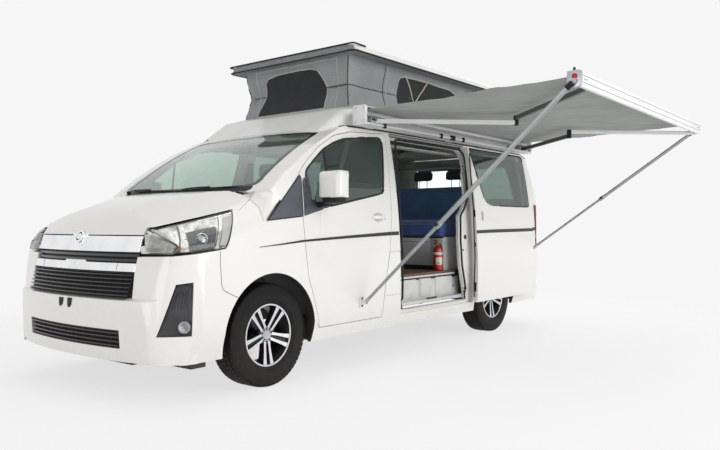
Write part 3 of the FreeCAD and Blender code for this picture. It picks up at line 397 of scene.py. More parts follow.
def frames(path: Path, closed: bool) -> list[tuple[Vector, Vector, Vector]]:
    """Point, side and up vector at each point of a path, turned as little as possible.

    Args:
        path: the path's points.
        closed: whether it runs back to its first point.

    Returns:
        One (point, side, up) for each point.
    """
    tangents = tangents_of(path, closed)
    side = tangents[0].orthogonal().normalized()
    result = []
    for point, tangent in zip(path, tangents):
        side = (side - tangent * side.dot(tangent)).normalized()
        result.append((point, side, tangent.cross(side)))
    if closed:
        point, side, up = result[0]
        last = result[-1][1]
        last = (last - tangents[0] * last.dot(tangents[0])).normalized()
        twist = math.atan2(last.dot(up), last.dot(side))
        for i, (point, side, up) in enumerate(result):
            turn = -twist * i / len(path)
            result[i] = (point, side * math.cos(turn) + up * math.sin(turn),
                         up * math.cos(turn) - side * math.sin(turn))
    return result


def tube(name: str, path: Path, radius: float | Sequence[float], material: Finish,
         closed: bool = False, sides: int = 10) -> Piece:
    """Round bar along a path.

    Args:
        name: the piece's name.
        path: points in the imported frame.
        radius: one radius, or one for each point.
        material: its finish.
        closed: whether it is a ring.
        sides: facets round the bar.

    Returns:
        The new object.
    """
    radii = [radius] * len(path) if isinstance(radius, (int, float)) else list(radius)
    turns = [2 * math.pi * k / sides for k in range(sides)]
    verts = [point + (side * math.cos(t) + up * math.sin(t)) * r
             for (point, side, up), r in zip(frames(path, closed), radii) for t in turns]
    return new_piece(name, verts, belt(len(path), sides, closed), material, 50)


def swept(name: str, path: Path, outward: Vector | Callable[[int], Vector],
          profile: Sequence[Flat], material: Finish,
          closed: bool = False, angle: float = 35.0) -> Piece:
    """Flat profile carried along a path, held upright on a surface.

    Args:
        name: the piece's name.
        path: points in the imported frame.
        outward: the surface's normal, one for all or by a point's number.
        profile: corners across the path and out of the surface.
        material: its finish.
        closed: whether it is a ring.
        angle: edges bent by more than this many degrees stay sharp.

    Returns:
        The new object.
    """
    verts = []
    for i, (point, tangent) in enumerate(zip(path, tangents_of(path, closed))):
        out = outward if isinstance(outward, Vector) else outward(i)
        across = tangent.cross(out).normalized()
        verts += [point + across * u + out * v for u, v in profile]
    return new_piece(name, verts, belt(len(path), len(profile), closed), material, angle)


def lathed(name: str, centre: Vector, axis: Vector, profile: Sequence[Flat],
           material: Finish, steps: int, ring: bool = False,
           angle: float = 30.0) -> Piece:
    """Round piece about an axis.

    Args:
        name: the piece's name.
        centre: a point on the axis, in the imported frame.
        axis: the axis's direction.
        profile: height along the axis and radius of each corner.
        material: its finish.
        steps: facets round the axis.
        ring: whether the profile is closed on itself.
        angle: edges bent by more than this many degrees stay sharp.

    Returns:
        The new object.
    """
    axis = axis.normalized()
    side = axis.orthogonal().normalized()
    up = axis.cross(side)
    size = len(profile)
    verts = [centre + axis * h + (side * math.cos(t) + up * math.sin(t)) * max(r, 0.0)
             for t in (2 * math.pi * k / steps for k in range(steps)) for h, r in profile]
    faces = belt(steps, size, True, ring)
    if not ring:
        for i in (0, size - 1):
            if profile[i][1] > 1e-6:
                faces.append(tuple(k * size + i for k in range(steps)))
    return new_piece(name, verts, faces, material, angle)


def slab(name: str, rows: Sequence[Sequence[Vector]], thickness: float | Vector,
         material: Finish, angle: float = 35.0) -> Piece:
    """Closed plate between a grid of points and the same grid moved back.

    Args:
        name: the piece's name.
        rows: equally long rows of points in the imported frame.
        thickness: distance against the grid's normals, or one vector.
        material: its finish.
        angle: edges bent by more than this many degrees stay sharp.

    Returns:
        The new object.
    """
    high, wide = len(rows), len(rows[0])
    front = [point for row in rows for point in row]
    if isinstance(thickness, Vector):
        back = [point + thickness for point in front]
    else:
        back = []
        for i in range(high):
            for k in range(wide):
                along = rows[i][min(k + 1, wide - 1)] - rows[i][max(k - 1, 0)]
                up = rows[min(i + 1, high - 1)][k] - rows[max(i - 1, 0)][k]
                back.append(rows[i][k] - along.cross(up).normalized() * thickness)
    size = high * wide
    faces = []
    for i in range(high - 1):
        for k in range(wide - 1):
            a = i * wide + k
            quad = (a, a + 1, a + wide + 1, a + wide)
            faces += [quad, tuple(size + v for v in reversed(quad))]
    rim = ([k for k in range(wide)] + [i * wide + wide - 1 for i in range(1, high)]
           + [(high - 1) * wide + k for k in range(wide - 2, -1, -1)]
           + [i * wide for i in range(high - 2, 0, -1)])
    for a, b in zip(rim, rim[1:] + rim[:1]):
        faces.append((a, a + size, b + size, b))
    return new_piece(name, front + back, faces, material, angle)


def plate(name: str, corners: Sequence[Vector], depth: Vector, material: Finish,
          radius: float = 0.0) -> Piece:
    """Flat outline with a thickness.

    Args:
        name: the piece's name.
        corners: the outline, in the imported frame.
        depth: from the front face to the back face.
        material: its finish.
        radius: radius of its edges, or none.

    Returns:
        The new object.
    """
    count = len(corners)
    verts = list(corners) + [c + depth for c in corners]
    faces = [tuple(range(count)), tuple(range(2 * count - 1, count - 1, -1))]
    faces += [(i, (i + 1) % count, count + (i + 1) % count, count + i) for i in range(count)]
    obj = new_piece(name, verts, faces, material)
    return bevelled(obj, radius) if radius else obj


def ridge(half: float, sink: float, high: float) -> list[Flat]:
    """Square profile of a ridge, with its foot sunk into the surface."""
    return [(-half, -sink), (-half, high), (half, high), (half, -sink)]


def evenly(count: int) -> list[float]:
    """Shares from 0 to 1 in even steps."""
    return [k / count for k in range(count + 1)]


def rounded(corners: Sequence[Flat], radius: float, steps: int = 5) -> list[Flat]:
    """Round the corners of a flat outline.

    Args:
        corners: the outline's corners.
        radius: how far along each side the rounding reaches.
        steps: points in each rounding.

    Returns:
        The rounded outline.
    """
    result = []
    for i, corner in enumerate(corners):
        here = Vector(corner)
        ends = []
        for other in (corners[i - 1], corners[(i + 1) % len(corners)]):
            way = Vector(other) - here
            ends.append(here + way.normalized() * min(radius, way.length * 0.45))
        for k in range(steps + 1):
            t = k / steps
            point = ends[0] * (1 - t) ** 2 + here * 2 * t * (1 - t) + ends[1] * t * t
            result.append((point.x, point.y))
    return result


def oblong(first: Flat, last: Flat, radius: float, steps: int = 5) -> list[Flat]:
    """Rectangle with round corners, between two opposite corners."""
    (a, b), (c, d) = first, last
    return rounded([(a, b), (c, b), (c, d), (a, d)], radius, steps)


def resampled(path: Path, step: float, closed: bool) -> Path:
    """Points at even distances along a path of straight runs.

    Args:
        path: the path's points.
        step: wanted distance.
        closed: whether it runs back to its first point.

    Returns:
        The new points.
    """
    points = list(path) + ([path[0]] if closed else [])
    lengths = [(b - a).length for a, b in zip(points, points[1:])]
    total = sum(lengths)
    count = max(2, round(total / step))
    result = []
    for i in range(count if closed else count + 1):
        goal = total * i / count
        k = 0
        while k < len(lengths) - 1 and goal > lengths[k]:
            goal -= lengths[k]
            k += 1
        share = min(goal / lengths[k], 1.0) if lengths[k] else 0.0
        result.append(points[k].lerp(points[k + 1], share))
    return result


# ---- Repeats -----------------------------------------------------------------------------
def copies_tree() -> Tree:
    """Node tree that repeats a piece by even steps and turns, made once.

    Returns:
        The tree.
    """
    found = bpy.data.node_groups.get("copies_of_a_piece")
    if found:
        return found
    tree = bpy.data.node_groups.new("copies_of_a_piece", "GeometryNodeTree")
    for label, kind in (("Geometry", "Geometry"), ("Item", "Object"), ("Count", "Int"),
                        ("Step", "Vector"), ("Turn", "Vector"), ("Pivot", "Vector"),
                        ("Finish", "Material")):
        tree.interface.new_socket(label, in_out="INPUT", socket_type="NodeSocket" + kind)
    tree.interface.new_socket("Geometry", in_out="OUTPUT", socket_type="NodeSocketGeometry")
    given = add(tree, "NodeGroupInput").outputs
    points = add(tree, "GeometryNodePoints", {}, {"Count": given["Count"]})
    item = add(tree, "GeometryNodeObjectInfo", {"transform_space": "ORIGINAL"},
               {"Object": given["Item"]})
    placed = add(tree, "GeometryNodeInstanceOnPoints", {},
                 {"Points": points.outputs[0], "Instance": item.outputs["Geometry"]})
    index = add(tree, "GeometryNodeInputIndex").outputs[0]
    angle = add(tree, "ShaderNodeVectorMath", {"operation": "SCALE"},
                {0: given["Turn"], "Scale": index})
    euler = add(tree, "FunctionNodeEulerToRotation", {}, {0: angle.outputs[0]})
    turned = add(tree, "GeometryNodeRotateInstances", {},
                 {"Instances": placed.outputs[0], "Rotation": euler.outputs[0],
                  "Pivot Point": given["Pivot"]})
    turned.inputs["Local Space"].default_value = False
    shift = add(tree, "ShaderNodeVectorMath", {"operation": "SCALE"},
                {0: given["Step"], "Scale": index})
    moved = add(tree, "GeometryNodeTranslateInstances", {},
                {"Instances": turned.outputs[0], "Translation": shift.outputs[0]})
    moved.inputs["Local Space"].default_value = False
    solid = add(tree, "GeometryNodeRealizeInstances", {}, {0: moved.outputs[0]})
    dressed = add(tree, "GeometryNodeSetMaterial", {},
                  {"Geometry": solid.outputs[0], "Material": given["Finish"]})
    add(tree, "NodeGroupOutput", {}, {0: dressed.outputs[0]})
    return tree


def copies(name: str, item: Piece, count: int, step: Point = (0, 0, 0),
           turn: Point = (0, 0, 0), pivot: Point = (0, 0, 0)) -> Piece:
    """Repeat a piece evenly, keeping its finish; the single piece is used up.

    Args:
        name: name of the whole set.
        item: the piece, where its first copy belongs.
        count: number of copies.
        step: movement from one copy to the next.
        turn: turn from one copy to the next, in radians about each axis.
        pivot: the turn's centre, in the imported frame.

    Returns:
        One object that holds every copy.
    """
    holder = bpy.data.objects.new(name, bpy.data.meshes.new(name))
    bpy.context.scene.collection.objects.link(holder)
    tree = copies_tree()
    modifier = holder.modifiers.new("copies", "NODES")
    modifier.node_group = tree
    values = {"Item": item, "Count": count, "Step": tuple(step), "Turn": tuple(turn),
              "Pivot": tuple(pivot), "Finish": item.data.materials[0]}
    for socket in tree.interface.items_tree:
        if socket.in_out == "INPUT" and socket.name in values:
            modifier[socket.identifier] = values[socket.name]
    polished(holder)
    bpy.data.objects.remove(item)
    return holder


# ---- Finishes ----------------------------------------------------------------------------
@dataclass(frozen=True)
class Finish:
    """A surface finish: sRGB colours, gloss, grain and wear of one real material.

    Attributes:
        name: what the material is called.
        colour: its main colour.
        shade: a second colour that the grain mixes in.
        roughness: how matt it is.
        metallic: one for bare metal.
        grain_mm: size of the surface's grain.
        bump_mm: height of the grain.
        mottle_mm: size of slow changes of colour.
        dust: share of road dust low on the piece.
        coat: strength of a clear lacquer.
        sheen: strength of a cloth's nap.
        ior: refractive index, where it isn't the usual 1.5.
    """

    name: str
    colour: str
    shade: str
    roughness: float = 0.5
    metallic: float = 0.0
    grain_mm: float = 1.5
    bump_mm: float = 0.0
    mottle_mm: float = 180.0
    dust: float = 0.0
    coat: float = 0.0
    sheen: float = 0.0
    ior: float = 1.5

    def coordinates(self, tree: Tree) -> Socket:
        """Object coordinates, in metres."""
        return add(tree, "ShaderNodeTexCoord").outputs["Object"]

    def noise(self, tree: Tree, size_mm: float, detail: float = 3.0,
              stretch: Point = (1.0, 1.0, 1.0)) -> Socket:
        """Noise with features of a real size.

        Args:
            tree: the material's tree.
            size_mm: size of its features.
            detail: octaves.
            stretch: scale along each axis.

        Returns:
            The noise's value.
        """
        scaled = add(tree, "ShaderNodeMapping", {"Scale": stretch},
                     {"Vector": self.coordinates(tree)})
        node = add(tree, "ShaderNodeTexNoise", {"Scale": 1000.0 / size_mm, "Detail": detail},
                   {"Vector": scaled.outputs["Vector"]})
        return node.outputs["Fac"]

    def surface(self, tree: Tree, shader: bpy.types.Node) -> None:
        """Colour, roughness and bump of the plain finish: slow mottling and a fine grain.

        Args:
            tree: the material's tree.
            shader: its surface shader.
        """
        slow = self.noise(tree, self.mottle_mm, 2.0)
        colour = ramp(tree, slow, [(0.3, self.shade), (0.62, self.colour)])
        if self.dust:
            colour = self.dusted(tree, colour)
        tree.links.new(colour, shader.inputs["Base Color"])
        fine = self.noise(tree, self.grain_mm)
        spread = maths(tree, "MULTIPLY_ADD", slow, 0.16, self.roughness - 0.08)
        tree.links.new(spread, shader.inputs["Roughness"])
        if self.bump_mm:
            self.bumped(tree, shader, fine)

    def dusted(self, tree: Tree, colour: Socket) -> Socket:
        """Mix road dust into a colour, thicker near the ground.

        Args:
            tree: the material's tree.
            colour: the clean colour.

        Returns:
            The dusty colour.
        """
        height = add(tree, "ShaderNodeSeparateXYZ", {},
                     {"Vector": self.coordinates(tree)}).outputs["Z"]
        low = add(tree, "ShaderNodeMapRange", {"From Min": 0.75, "From Max": 0.2,
                                               "To Min": 0.0, "To Max": self.dust},
                  {"Value": height}).outputs["Result"]
        patchy = maths(tree, "MULTIPLY", low, self.noise(tree, 45.0, 5.0))
        mix = add(tree, "ShaderNodeMix", {"data_type": "RGBA"})
        tree.links.new(patchy, mix.inputs[0])
        tree.links.new(colour, mix.inputs[6])
        mix.inputs[7].default_value = linear("8f857a")
        return mix.outputs[2]

    def bumped(self, tree: Tree, shader: bpy.types.Node, height: Socket) -> None:
        """Give the shader a bump of the finish's real height."""
        bump = add(tree, "ShaderNodeBump", {"Distance": self.bump_mm / 1000.0,
                                            "Strength": 0.8}, {"Height": height})
        tree.links.new(bump.outputs["Normal"], shader.inputs["Normal"])

    def build(self) -> Material:
        """Make the material, or give it back if it is there.

        Returns:
            The material.
        """
        found = bpy.data.materials.get(self.name)
        if found:
            return found
        material = bpy.data.materials.new(self.name)
        material.use_nodes = True
        tree = material.node_tree
        shader = tree.nodes["Principled BSDF"]
        shader.inputs["Metallic"].default_value = self.metallic
        if not self.metallic:
            shader.inputs["IOR"].default_value = self.ior
        if self.coat:
            shader.inputs["Coat Weight"].default_value = self.coat
            shader.inputs["Coat Roughness"].default_value = 0.04
        if self.sheen:
            shader.inputs["Sheen Weight"].default_value = self.sheen
            shader.inputs["Sheen Roughness"].default_value = 0.5
        self.surface(tree, shader)
        return material


@dataclass(frozen=True)
class Woven(Finish):
    """Cloth of crossing threads, with slow fading."""

    thread_mm: float = 1.6

    def surface(self, tree: Tree, shader: bpy.types.Node) -> None:
        """Threads along two axes, drawn as coarse as they need to show.

        Args:
            tree: the material's tree.
            shader: its surface shader.
        """
        slow = self.noise(tree, self.mottle_mm, 3.0)
        waves = [add(tree, "ShaderNodeTexWave",
                     {"bands_direction": way, "Scale": 314.0 / self.thread_mm / 6.28,
                      "Distortion": 0.6, "Detail": 1.0},
                     {"Vector": self.coordinates(tree)}).outputs["Fac"]
                 for way in ("DIAGONAL", "Z")]
        weave = maths(tree, "MULTIPLY", waves[0], waves[1])
        worn = maths(tree, "MULTIPLY_ADD", weave, 0.22, maths(tree, "MULTIPLY", slow, 0.85))
        colour = ramp(tree, worn, [(0.25, self.shade), (0.72, self.colour)])
        tree.links.new(colour, shader.inputs["Base Color"])
        shader.inputs["Roughness"].default_value = self.roughness
        self.bumped(tree, shader, weave)


@dataclass(frozen=True)
class Brushed(Finish):
    """Metal drawn or machined one way, with fine lines along an axis."""

    lines: tuple[float, float, float] = (1.0, 40.0, 40.0)

    def surface(self, tree: Tree, shader: bpy.types.Node) -> None:
        """Streaks along the drawing direction, in colour and roughness.

        Args:
            tree: the material's tree.
            shader: its surface shader.
        """
        streaks = self.noise(tree, self.grain_mm * 30, 4.0, self.lines)
        colour = ramp(tree, streaks, [(0.3, self.shade), (0.7, self.colour)])
        if self.dust:
            colour = self.dusted(tree, colour)
        tree.links.new(colour, shader.inputs["Base Color"])
        rough = maths(tree, "MULTIPLY_ADD", streaks, 0.2, self.roughness - 0.1)
        tree.links.new(rough, shader.inputs["Roughness"])
        if self.bump_mm:
            self.bumped(tree, shader, streaks)


@dataclass(frozen=True)
class Clear(Finish):
    """Glass or clear plastic: tinted, thin and glossy."""

    clearness: float = 0.8

    def surface(self, tree: Tree, shader: bpy.types.Node) -> None:
        """Transmission with a slight film of dust.

        Args:
            tree: the material's tree.
            shader: its surface shader.
        """
        film = self.noise(tree, 60.0, 4.0)
        colour = ramp(tree, film, [(0.35, self.shade), (0.7, self.colour)])
        tree.links.new(colour, shader.inputs["Base Color"])
        rough = maths(tree, "MULTIPLY_ADD", film, 0.03, self.roughness)
        tree.links.new(rough, shader.inputs["Roughness"])
        shader.inputs["Transmission Weight"].default_value = self.clearness


class Palette:
    """Every finish of the van, by what it is."""

    # Sprayed enamel under lacquer: cool white, tight highlights, faint dust at the sills
    ENAMEL = Finish("sprayed_white_enamel", "f0efeb", "eeede9", 0.3, 0.0, 0.9, 0.0, 900.0,
                    0.16, 0.6)
    # Gel-coated fibreglass of the pop-top: softer gloss than the enamel
    GELCOAT = Finish("white_gelcoat_fibreglass", "ebebe8", "e2e2df", 0.36, 0.0, 4.0, 0.03,
                     260.0, 0.0, 0.25)
    # Powder-coated aluminium extrusions of the awning
    POWDER = Finish("white_powder_coated_aluminium", "e9eae9", "e0e1e0", 0.42, 0.0, 0.8,
                    0.012, 150.0)
    # Painted shade: charcoal grey on two of the white awning arms, for the shade they lie in; and
    # silver anodised leg tubes
    ARM_PAINTED_SHADE = Finish("charcoal_powder_coated_aluminium", "55585a", "4b4e50", 0.42, 0.2, 0.8,
                      0.012, 90.0)
    ANODISED = Finish("silver_anodised_tube", "a3a6a7", "979a9b", 0.34, 0.6, 0.8, 0.0, 120.0)
    # Grained polypropylene: dull black with a fine moulded grain
    BLACK = Finish("grained_black_polypropylene", "17181a", "101113", 0.55, 0.0, 1.2, 0.05,
                   80.0, 0.35, ior=1.36)
    # Charcoal moulding round the fog lamps
    BEZEL = Finish("charcoal_moulded_abs", "303234", "28292b", 0.45, 0.0, 1.2, 0.02, 60.0, 0.1)
    # Dark blue-grey moulded corner before the door glass
    SAIL_GREY = Finish("slate_moulded_abs", "50535b", "484b53", 0.42, 0.0, 1.2, 0.02, 80.0)
    # Enamel painted darker as the shade in a handle's cup, and dark lines: real joints between
    # parts, and painted shade round a handle's cup
    CUP_SHADE = Finish("enamel_in_a_recess", "d6d5d0", "cccbc6", 0.35, 0.0, 0.9, 0.0, 90.0, 0.0, 0.3)
    SHADOW = Finish("dark_joint_line", "77776f", "6c6c66", 0.7, 0.0, 1.0, 0.0, 60.0)
    # Gloss black moulding, as on grille inserts
    PIANO = Finish("gloss_black_abs", "0c0d0e", "08090a", 0.2, 0.0, 1.0, 0.0, 90.0, 0.1, 0.3)
    # EPDM sponge seals: dead matt black
    RUBBER = Finish("black_epdm_rubber", "141415", "0d0d0e", 0.78, 0.0, 1.0, 0.03, 40.0)
    # Black vinyl tape of the side stripe
    TAPE = Finish("black_vinyl_tape", "1b1c1e", "151618", 0.38, 0.0, 2.0, 0.003, 200.0, 0.1)
    # Chrome-plated ABS
    CHROME = Finish("chrome_plated_abs", "f2f3f4", "e6e8ea", 0.12, 1.0, 2.0, 0.0, 120.0, 0.06)
    # Silver-painted trim with a satin lacquer
    SILVER = Finish("silver_satin_paint", "b9bcc0", "a9adb2", 0.36, 0.7, 1.0, 0.004, 90.0)
    # Vacuum-metallised reflector bowls
    REFLECTOR = Finish("metallised_reflector", "e6e6e5", "cbcbca", 0.12, 1.0, 6.0, 0.05, 60.0)
    # Face-machined alloy with a lacquer
    ALLOY = Brushed("machined_wheel_alloy", "e2e3e5", "cfd1d4", 0.34, 0.7, 0.6, 0.004, 60.0,
                    0.05, 0.3)
    ALLOY_DARK = Finish("painted_wheel_alloy", "1d1e20", "141517", 0.36, 0.2, 1.0, 0.01, 60.0,
                        0.08)
    # Clear laminated screen and lightly tinted doors
    SCREEN_GLASS = Clear("laminated_screen_glass", "d6e8e0", "cfe1da", 0.0, ior=1.45,
                         clearness=0.96)
    DOOR_GLASS = Clear("tinted_door_glass", "c4d4cd", "bccdc6", 0.0, ior=1.45, clearness=0.95)
    # Privacy glass of the rear cabin
    PRIVACY = Clear("privacy_glass", "a2b0ab", "9aa8a3", 0.0, ior=1.45, clearness=0.92)
    # Hard-coated polycarbonate lamp covers
    LAMP_CLEAR = Clear("clear_polycarbonate", "f4f4f2", "eeeeec", 0.0, ior=1.45,
                       clearness=0.97)
    LAMP_RED = Clear("red_acrylic", "b01418", "a01014", 0.06, ior=1.45, clearness=0.45)
    LAMP_BAND = Clear("clear_ribbed_acrylic", "e9e4e2", "dcd6d4", 0.10, ior=1.45,
                      clearness=0.35)
    SMOKED = Finish("smoked_reflector", "3b3b3b", "292929", 0.22, 1.0, 6.0, 0.05, 60.0)
    GREY_CELL = Finish("satin_reflector", "e6e6e5", "b9b9b8", 0.24, 1.0, 8.0, 0.10, 40.0)
    LAMP_AMBER = Clear("amber_acrylic", "e07a1c", "d06c14", 0.08, ior=1.45, clearness=0.5)
    # Solution-dyed acrylic awning cloth, cool grey
    AWNING = Woven("grey_acrylic_awning_cloth", "aaaea9", "959994", 0.85, 0.0, 1.5, 0.12,
                   320.0, sheen=0.2, thread_mm=3.0)
    # Coated tent canvas, dark grey
    CANVAS = Woven("dark_grey_tent_canvas", "a2a5a6", "8b8e8f", 0.88, 0.0, 1.5, 0.18, 240.0,
                   sheen=0.15, thread_mm=3.2)
    MESH = Woven("black_insect_mesh", "1e2023", "141618", 0.8, 0.0, 1.5, 0.15, 120.0,
                 sheen=0.1, thread_mm=2.2)
    SEAM = Woven("charcoal_seam_binding", "33363a", "292c2f", 0.85, 0.0, 1.5, 0.1, 60.0,
                 sheen=0.1, thread_mm=1.6)
    LID_LINING = Finish("pale_grey_carpet_lining", "8d9092", "7e8183", 0.95, 0.0, 2.0, 0.08, 60.0)
    PIPING = Woven("pale_grey_piping", "b9bab6", "a5a6a2", 0.8, 0.0, 1.0, 0.1, 60.0,
                   sheen=0.1, thread_mm=1.6)
    STRAP = Woven("cream_webbing", "d8d2b8", "c4bda0", 0.8, 0.0, 1.0, 0.15, 40.0,
                  sheen=0.1, thread_mm=1.8)
    # Upholstery of the bench and front seats
    NAVY = Woven("navy_seat_cloth", "4a68a8", "3b5492", 0.9, 0.0, 1.2, 0.18, 90.0,
                 sheen=0.3, thread_mm=2.0)
    DARK_SEAT = Woven("dark_blue_grey_seat_cloth", "6286b4", "5476a2", 0.9, 0.0, 1.2, 0.18,
                      90.0, sheen=0.3, thread_mm=2.0)
    HEADREST = Woven("charcoal_headrest_cloth", "3a4046", "2c3238", 0.9, 0.0, 1.2, 0.15,
                     90.0, sheen=0.3, thread_mm=2.0)
    # Dark film on the door glass
    TINT = Clear("dark_window_film", "3c4546", "363e3f", 0.02, ior=1.45, clearness=0.55)
    # Brown edge moulding of the floor
    NOSING = Finish("brown_edge_moulding", "6d5046", "5c4239", 0.5, 0.0, 2.0, 0.02, 60.0)
    # Moulded cabin plastics and textiles
    TRIM_GREY = Finish("grey_cabin_moulding", "8b8c8b", "7d7e7d", 0.6, 0.0, 1.0, 0.04, 120.0)
    TRIM_DARK = Finish("charcoal_cabin_moulding", "3b3c3e", "303133", 0.6, 0.0, 1.0, 0.04,
                       120.0)
    PANEL_GREY = Finish("grey_laminate_board", "c6c8c8", "babcbc", 0.5, 0.0, 0.8, 0.01, 160.0)
    HEADLINER = Finish("pale_felt_headliner", "b2b0aa", "a6a49e", 0.95, 0.0, 1.5, 0.08, 90.0,
                       sheen=0.2)
    FLOOR = Finish("brown_oak_print_vinyl", "7a5d45", "5f4634", 0.45, 0.0, 3.0, 0.03, 35.0)
    STEP = Finish("white_ribbed_polyethylene", "d9dad8", "cccdcb", 0.5, 0.0, 1.2, 0.03, 90.0,
                  0.2)
    RED = Finish("red_powder_coat", "b3191d", "9a1216", 0.3, 0.0, 0.9, 0.01, 60.0, 0.0, 0.4)
    BRASS = Finish("lacquered_brass", "b7923e", "9d7a2e", 0.3, 1.0, 1.0, 0.0, 30.0)
    WHITE_BAND = Finish("white_paper_label", "d9d7d0", "cfcdc6", 0.6, 0.0, 1.0, 0.0, 50.0)
    # Waxed chassis steel and cast iron
    CHASSIS = Finish("waxed_chassis_steel", "1d1e20", "141517", 0.6, 0.2, 3.0, 0.08, 120.0,
                     0.2)
    IRON = Finish("raw_cast_iron", "2e2c2a", "211f1d", 0.7, 0.6, 2.5, 0.15, 60.0, 0.3)
    # Carbon-black tyre rubber: matt, with dust on it
    TYRE = Finish("vulcanised_tyre_rubber", "161617", "0f0f10", 0.68, 0.0, 2.0, 0.05, 60.0,
                  0.1, ior=1.28)
    GOLD = Finish("gold_foil_label", "b89a4a", "a2853a", 0.4, 0.8, 1.0, 0.0, 20.0)
    RED_DOT = Finish("red_reflector_plastic", "c5161c", "ad1016", 0.25, 0.0, 1.0, 0.0, 20.0)


# ---- Body shell --------------------------------------------------------------------------
class Skin:
    """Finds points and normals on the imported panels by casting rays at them."""

    def __init__(self, nodes: Sequence[str | Piece]) -> None:
        """Gather the faces of some pieces.

        Args:
            nodes: names of CAD nodes, or pieces, to hit.
        """
        verts: list[Vector] = []
        faces: list[tuple[int, ...]] = []
        for name in nodes:
            mesh = (FRAME["nodes"][name] if isinstance(name, str) else name).data
            start = len(verts)
            verts += [v.co.copy() for v in mesh.vertices]
            faces += [tuple(start + i for i in p.vertices) for p in mesh.polygons]
        self.tree = BVHTree.FromPolygons(verts, faces)

    def cast(self, start: Vector, way: Vector, lift: float = 0.0) -> tuple[Vector, Vector]:
        """First point that a ray hits.

        Args:
            start: where the ray begins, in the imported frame.
            way: its direction.
            lift: distance that the point is moved back out of the surface.

        Returns:
            The point and the outward normal.
        """
        point, normal, _, _ = self.tree.ray_cast(start, way.normalized())
        if point is None:
            near, normal, _, _ = self.tree.find_nearest(start + way.normalized() * 0.3)
            point = near
        if normal.dot(way) > 0:
            normal = -normal
        return point + normal * lift, normal

    def side(self, x: float, z: float, side: int, lift: float = 0.0) -> tuple[Vector, Vector]:
        """Point on a flank, from outside along Y, at X and Z of the van's frame."""
        return self.cast(at(x, side * 1.25, z), Vector((0, -side, 0)), lift)

    def flank(self, side: int) -> Cast:
        """Cast at one flank, from X and Z."""
        return lambda x, z, lift=0.0: self.side(x, z, side, lift)

    def front(self, y: float, z: float, lift: float = 0.0) -> tuple[Vector, Vector]:
        """Point on the nose, from ahead along X, at Y and Z of the van's frame."""
        return self.cast(at(1.3, y, z), BACK, lift)

    def top(self, x: float, y: float, lift: float = 0.0) -> tuple[Vector, Vector]:
        """Point on the upper surfaces, from above, at X and Y of the van's frame."""
        return self.cast(at(x, y, 2.4), Vector((0, 0, -1)), lift)

    def along(self, x: float, way: Vector) -> Cast:
        """Cast straight ahead or back from one X, at Y and Z."""
        return lambda y, z, lift=0.0: self.cast(at(x, y, z), way, lift)

    def rear(self, y: float, z: float, lift: float = 0.0) -> tuple[Vector, Vector]:
        """Point on the tail, from behind along X, at Y and Z of the van's frame."""
        return self.cast(at(-4.8, y, z), AHEAD, lift)


def merged_copy(node: str, name: str, material: Finish, angle: float = 22.0) -> Piece:
    """Copy of a CAD node with its loose triangles merged and its flat faces made whole.

    Args:
        node: the CAD node.
        name: name of the copy.
        material: its finish.
        angle: edges bent by more than this many degrees stay sharp.

    Returns:
        The copy, linked to the scene.
    """
    mesh = FRAME["nodes"][node].data.copy()
    mesh.name = name
    work = bmesh.new()
    work.from_mesh(mesh)
    bmesh.ops.remove_doubles(work, verts=work.verts, dist=2e-5)
    bmesh.ops.dissolve_degenerate(work, edges=work.edges, dist=1e-5)
    bmesh.ops.dissolve_limit(work, angle_limit=math.radians(0.4), verts=work.verts,
                             edges=work.edges, delimit=set())
    work.to_mesh(mesh)
    work.free()
    for layer in list(mesh.attributes):
        if layer.name in ("sharp_face", "custom_normal"):
            mesh.attributes.remove(layer)
    mesh.shade_smooth()
    mesh.set_sharp_from_angle(angle=math.radians(angle))
    mesh.materials.clear()
    mesh.materials.append(material.build())
    obj = bpy.data.objects.new(name, mesh)
    bpy.context.scene.collection.objects.link(obj)
    return obj


def soft_copy(node: str, name: str, material: Finish, width: float, segments: int,
              angle: float, weighted: bool = False) -> Piece:
    """Merged copy of a CAD node with its edges rounded.

    Args:
        node: the CAD node.
        name: name of the copy.
        material: its finish.
        width: width of the rounding.
        segments: facets across it.
        angle: only edges bent by more than this many degrees are rounded.
        weighted: whether the big faces' normals win over the rounding's.

    Returns:
        The copy.
    """
    copy = with_bevel(merged_copy(node, name, material), width, segments, angle)
    if weighted:
        with_modifier(copy, "WEIGHTED_NORMAL", keep_sharp=False, weight=80)
    return polished(copy)


def recoloured(obj: Piece, material: Finish, test: Callable[[Vector], bool]) -> None:
    """Give some of a piece's faces another finish.

    Args:
        obj: the piece.
        material: the other finish.
        test: says for a face's middle, in the van's frame, whether it takes it.
    """
    obj.data.materials.append(material.build())
    last = len(obj.data.materials) - 1
    for face in obj.data.polygons:
        if test(face.center - SHIFT):
            face.material_index = last


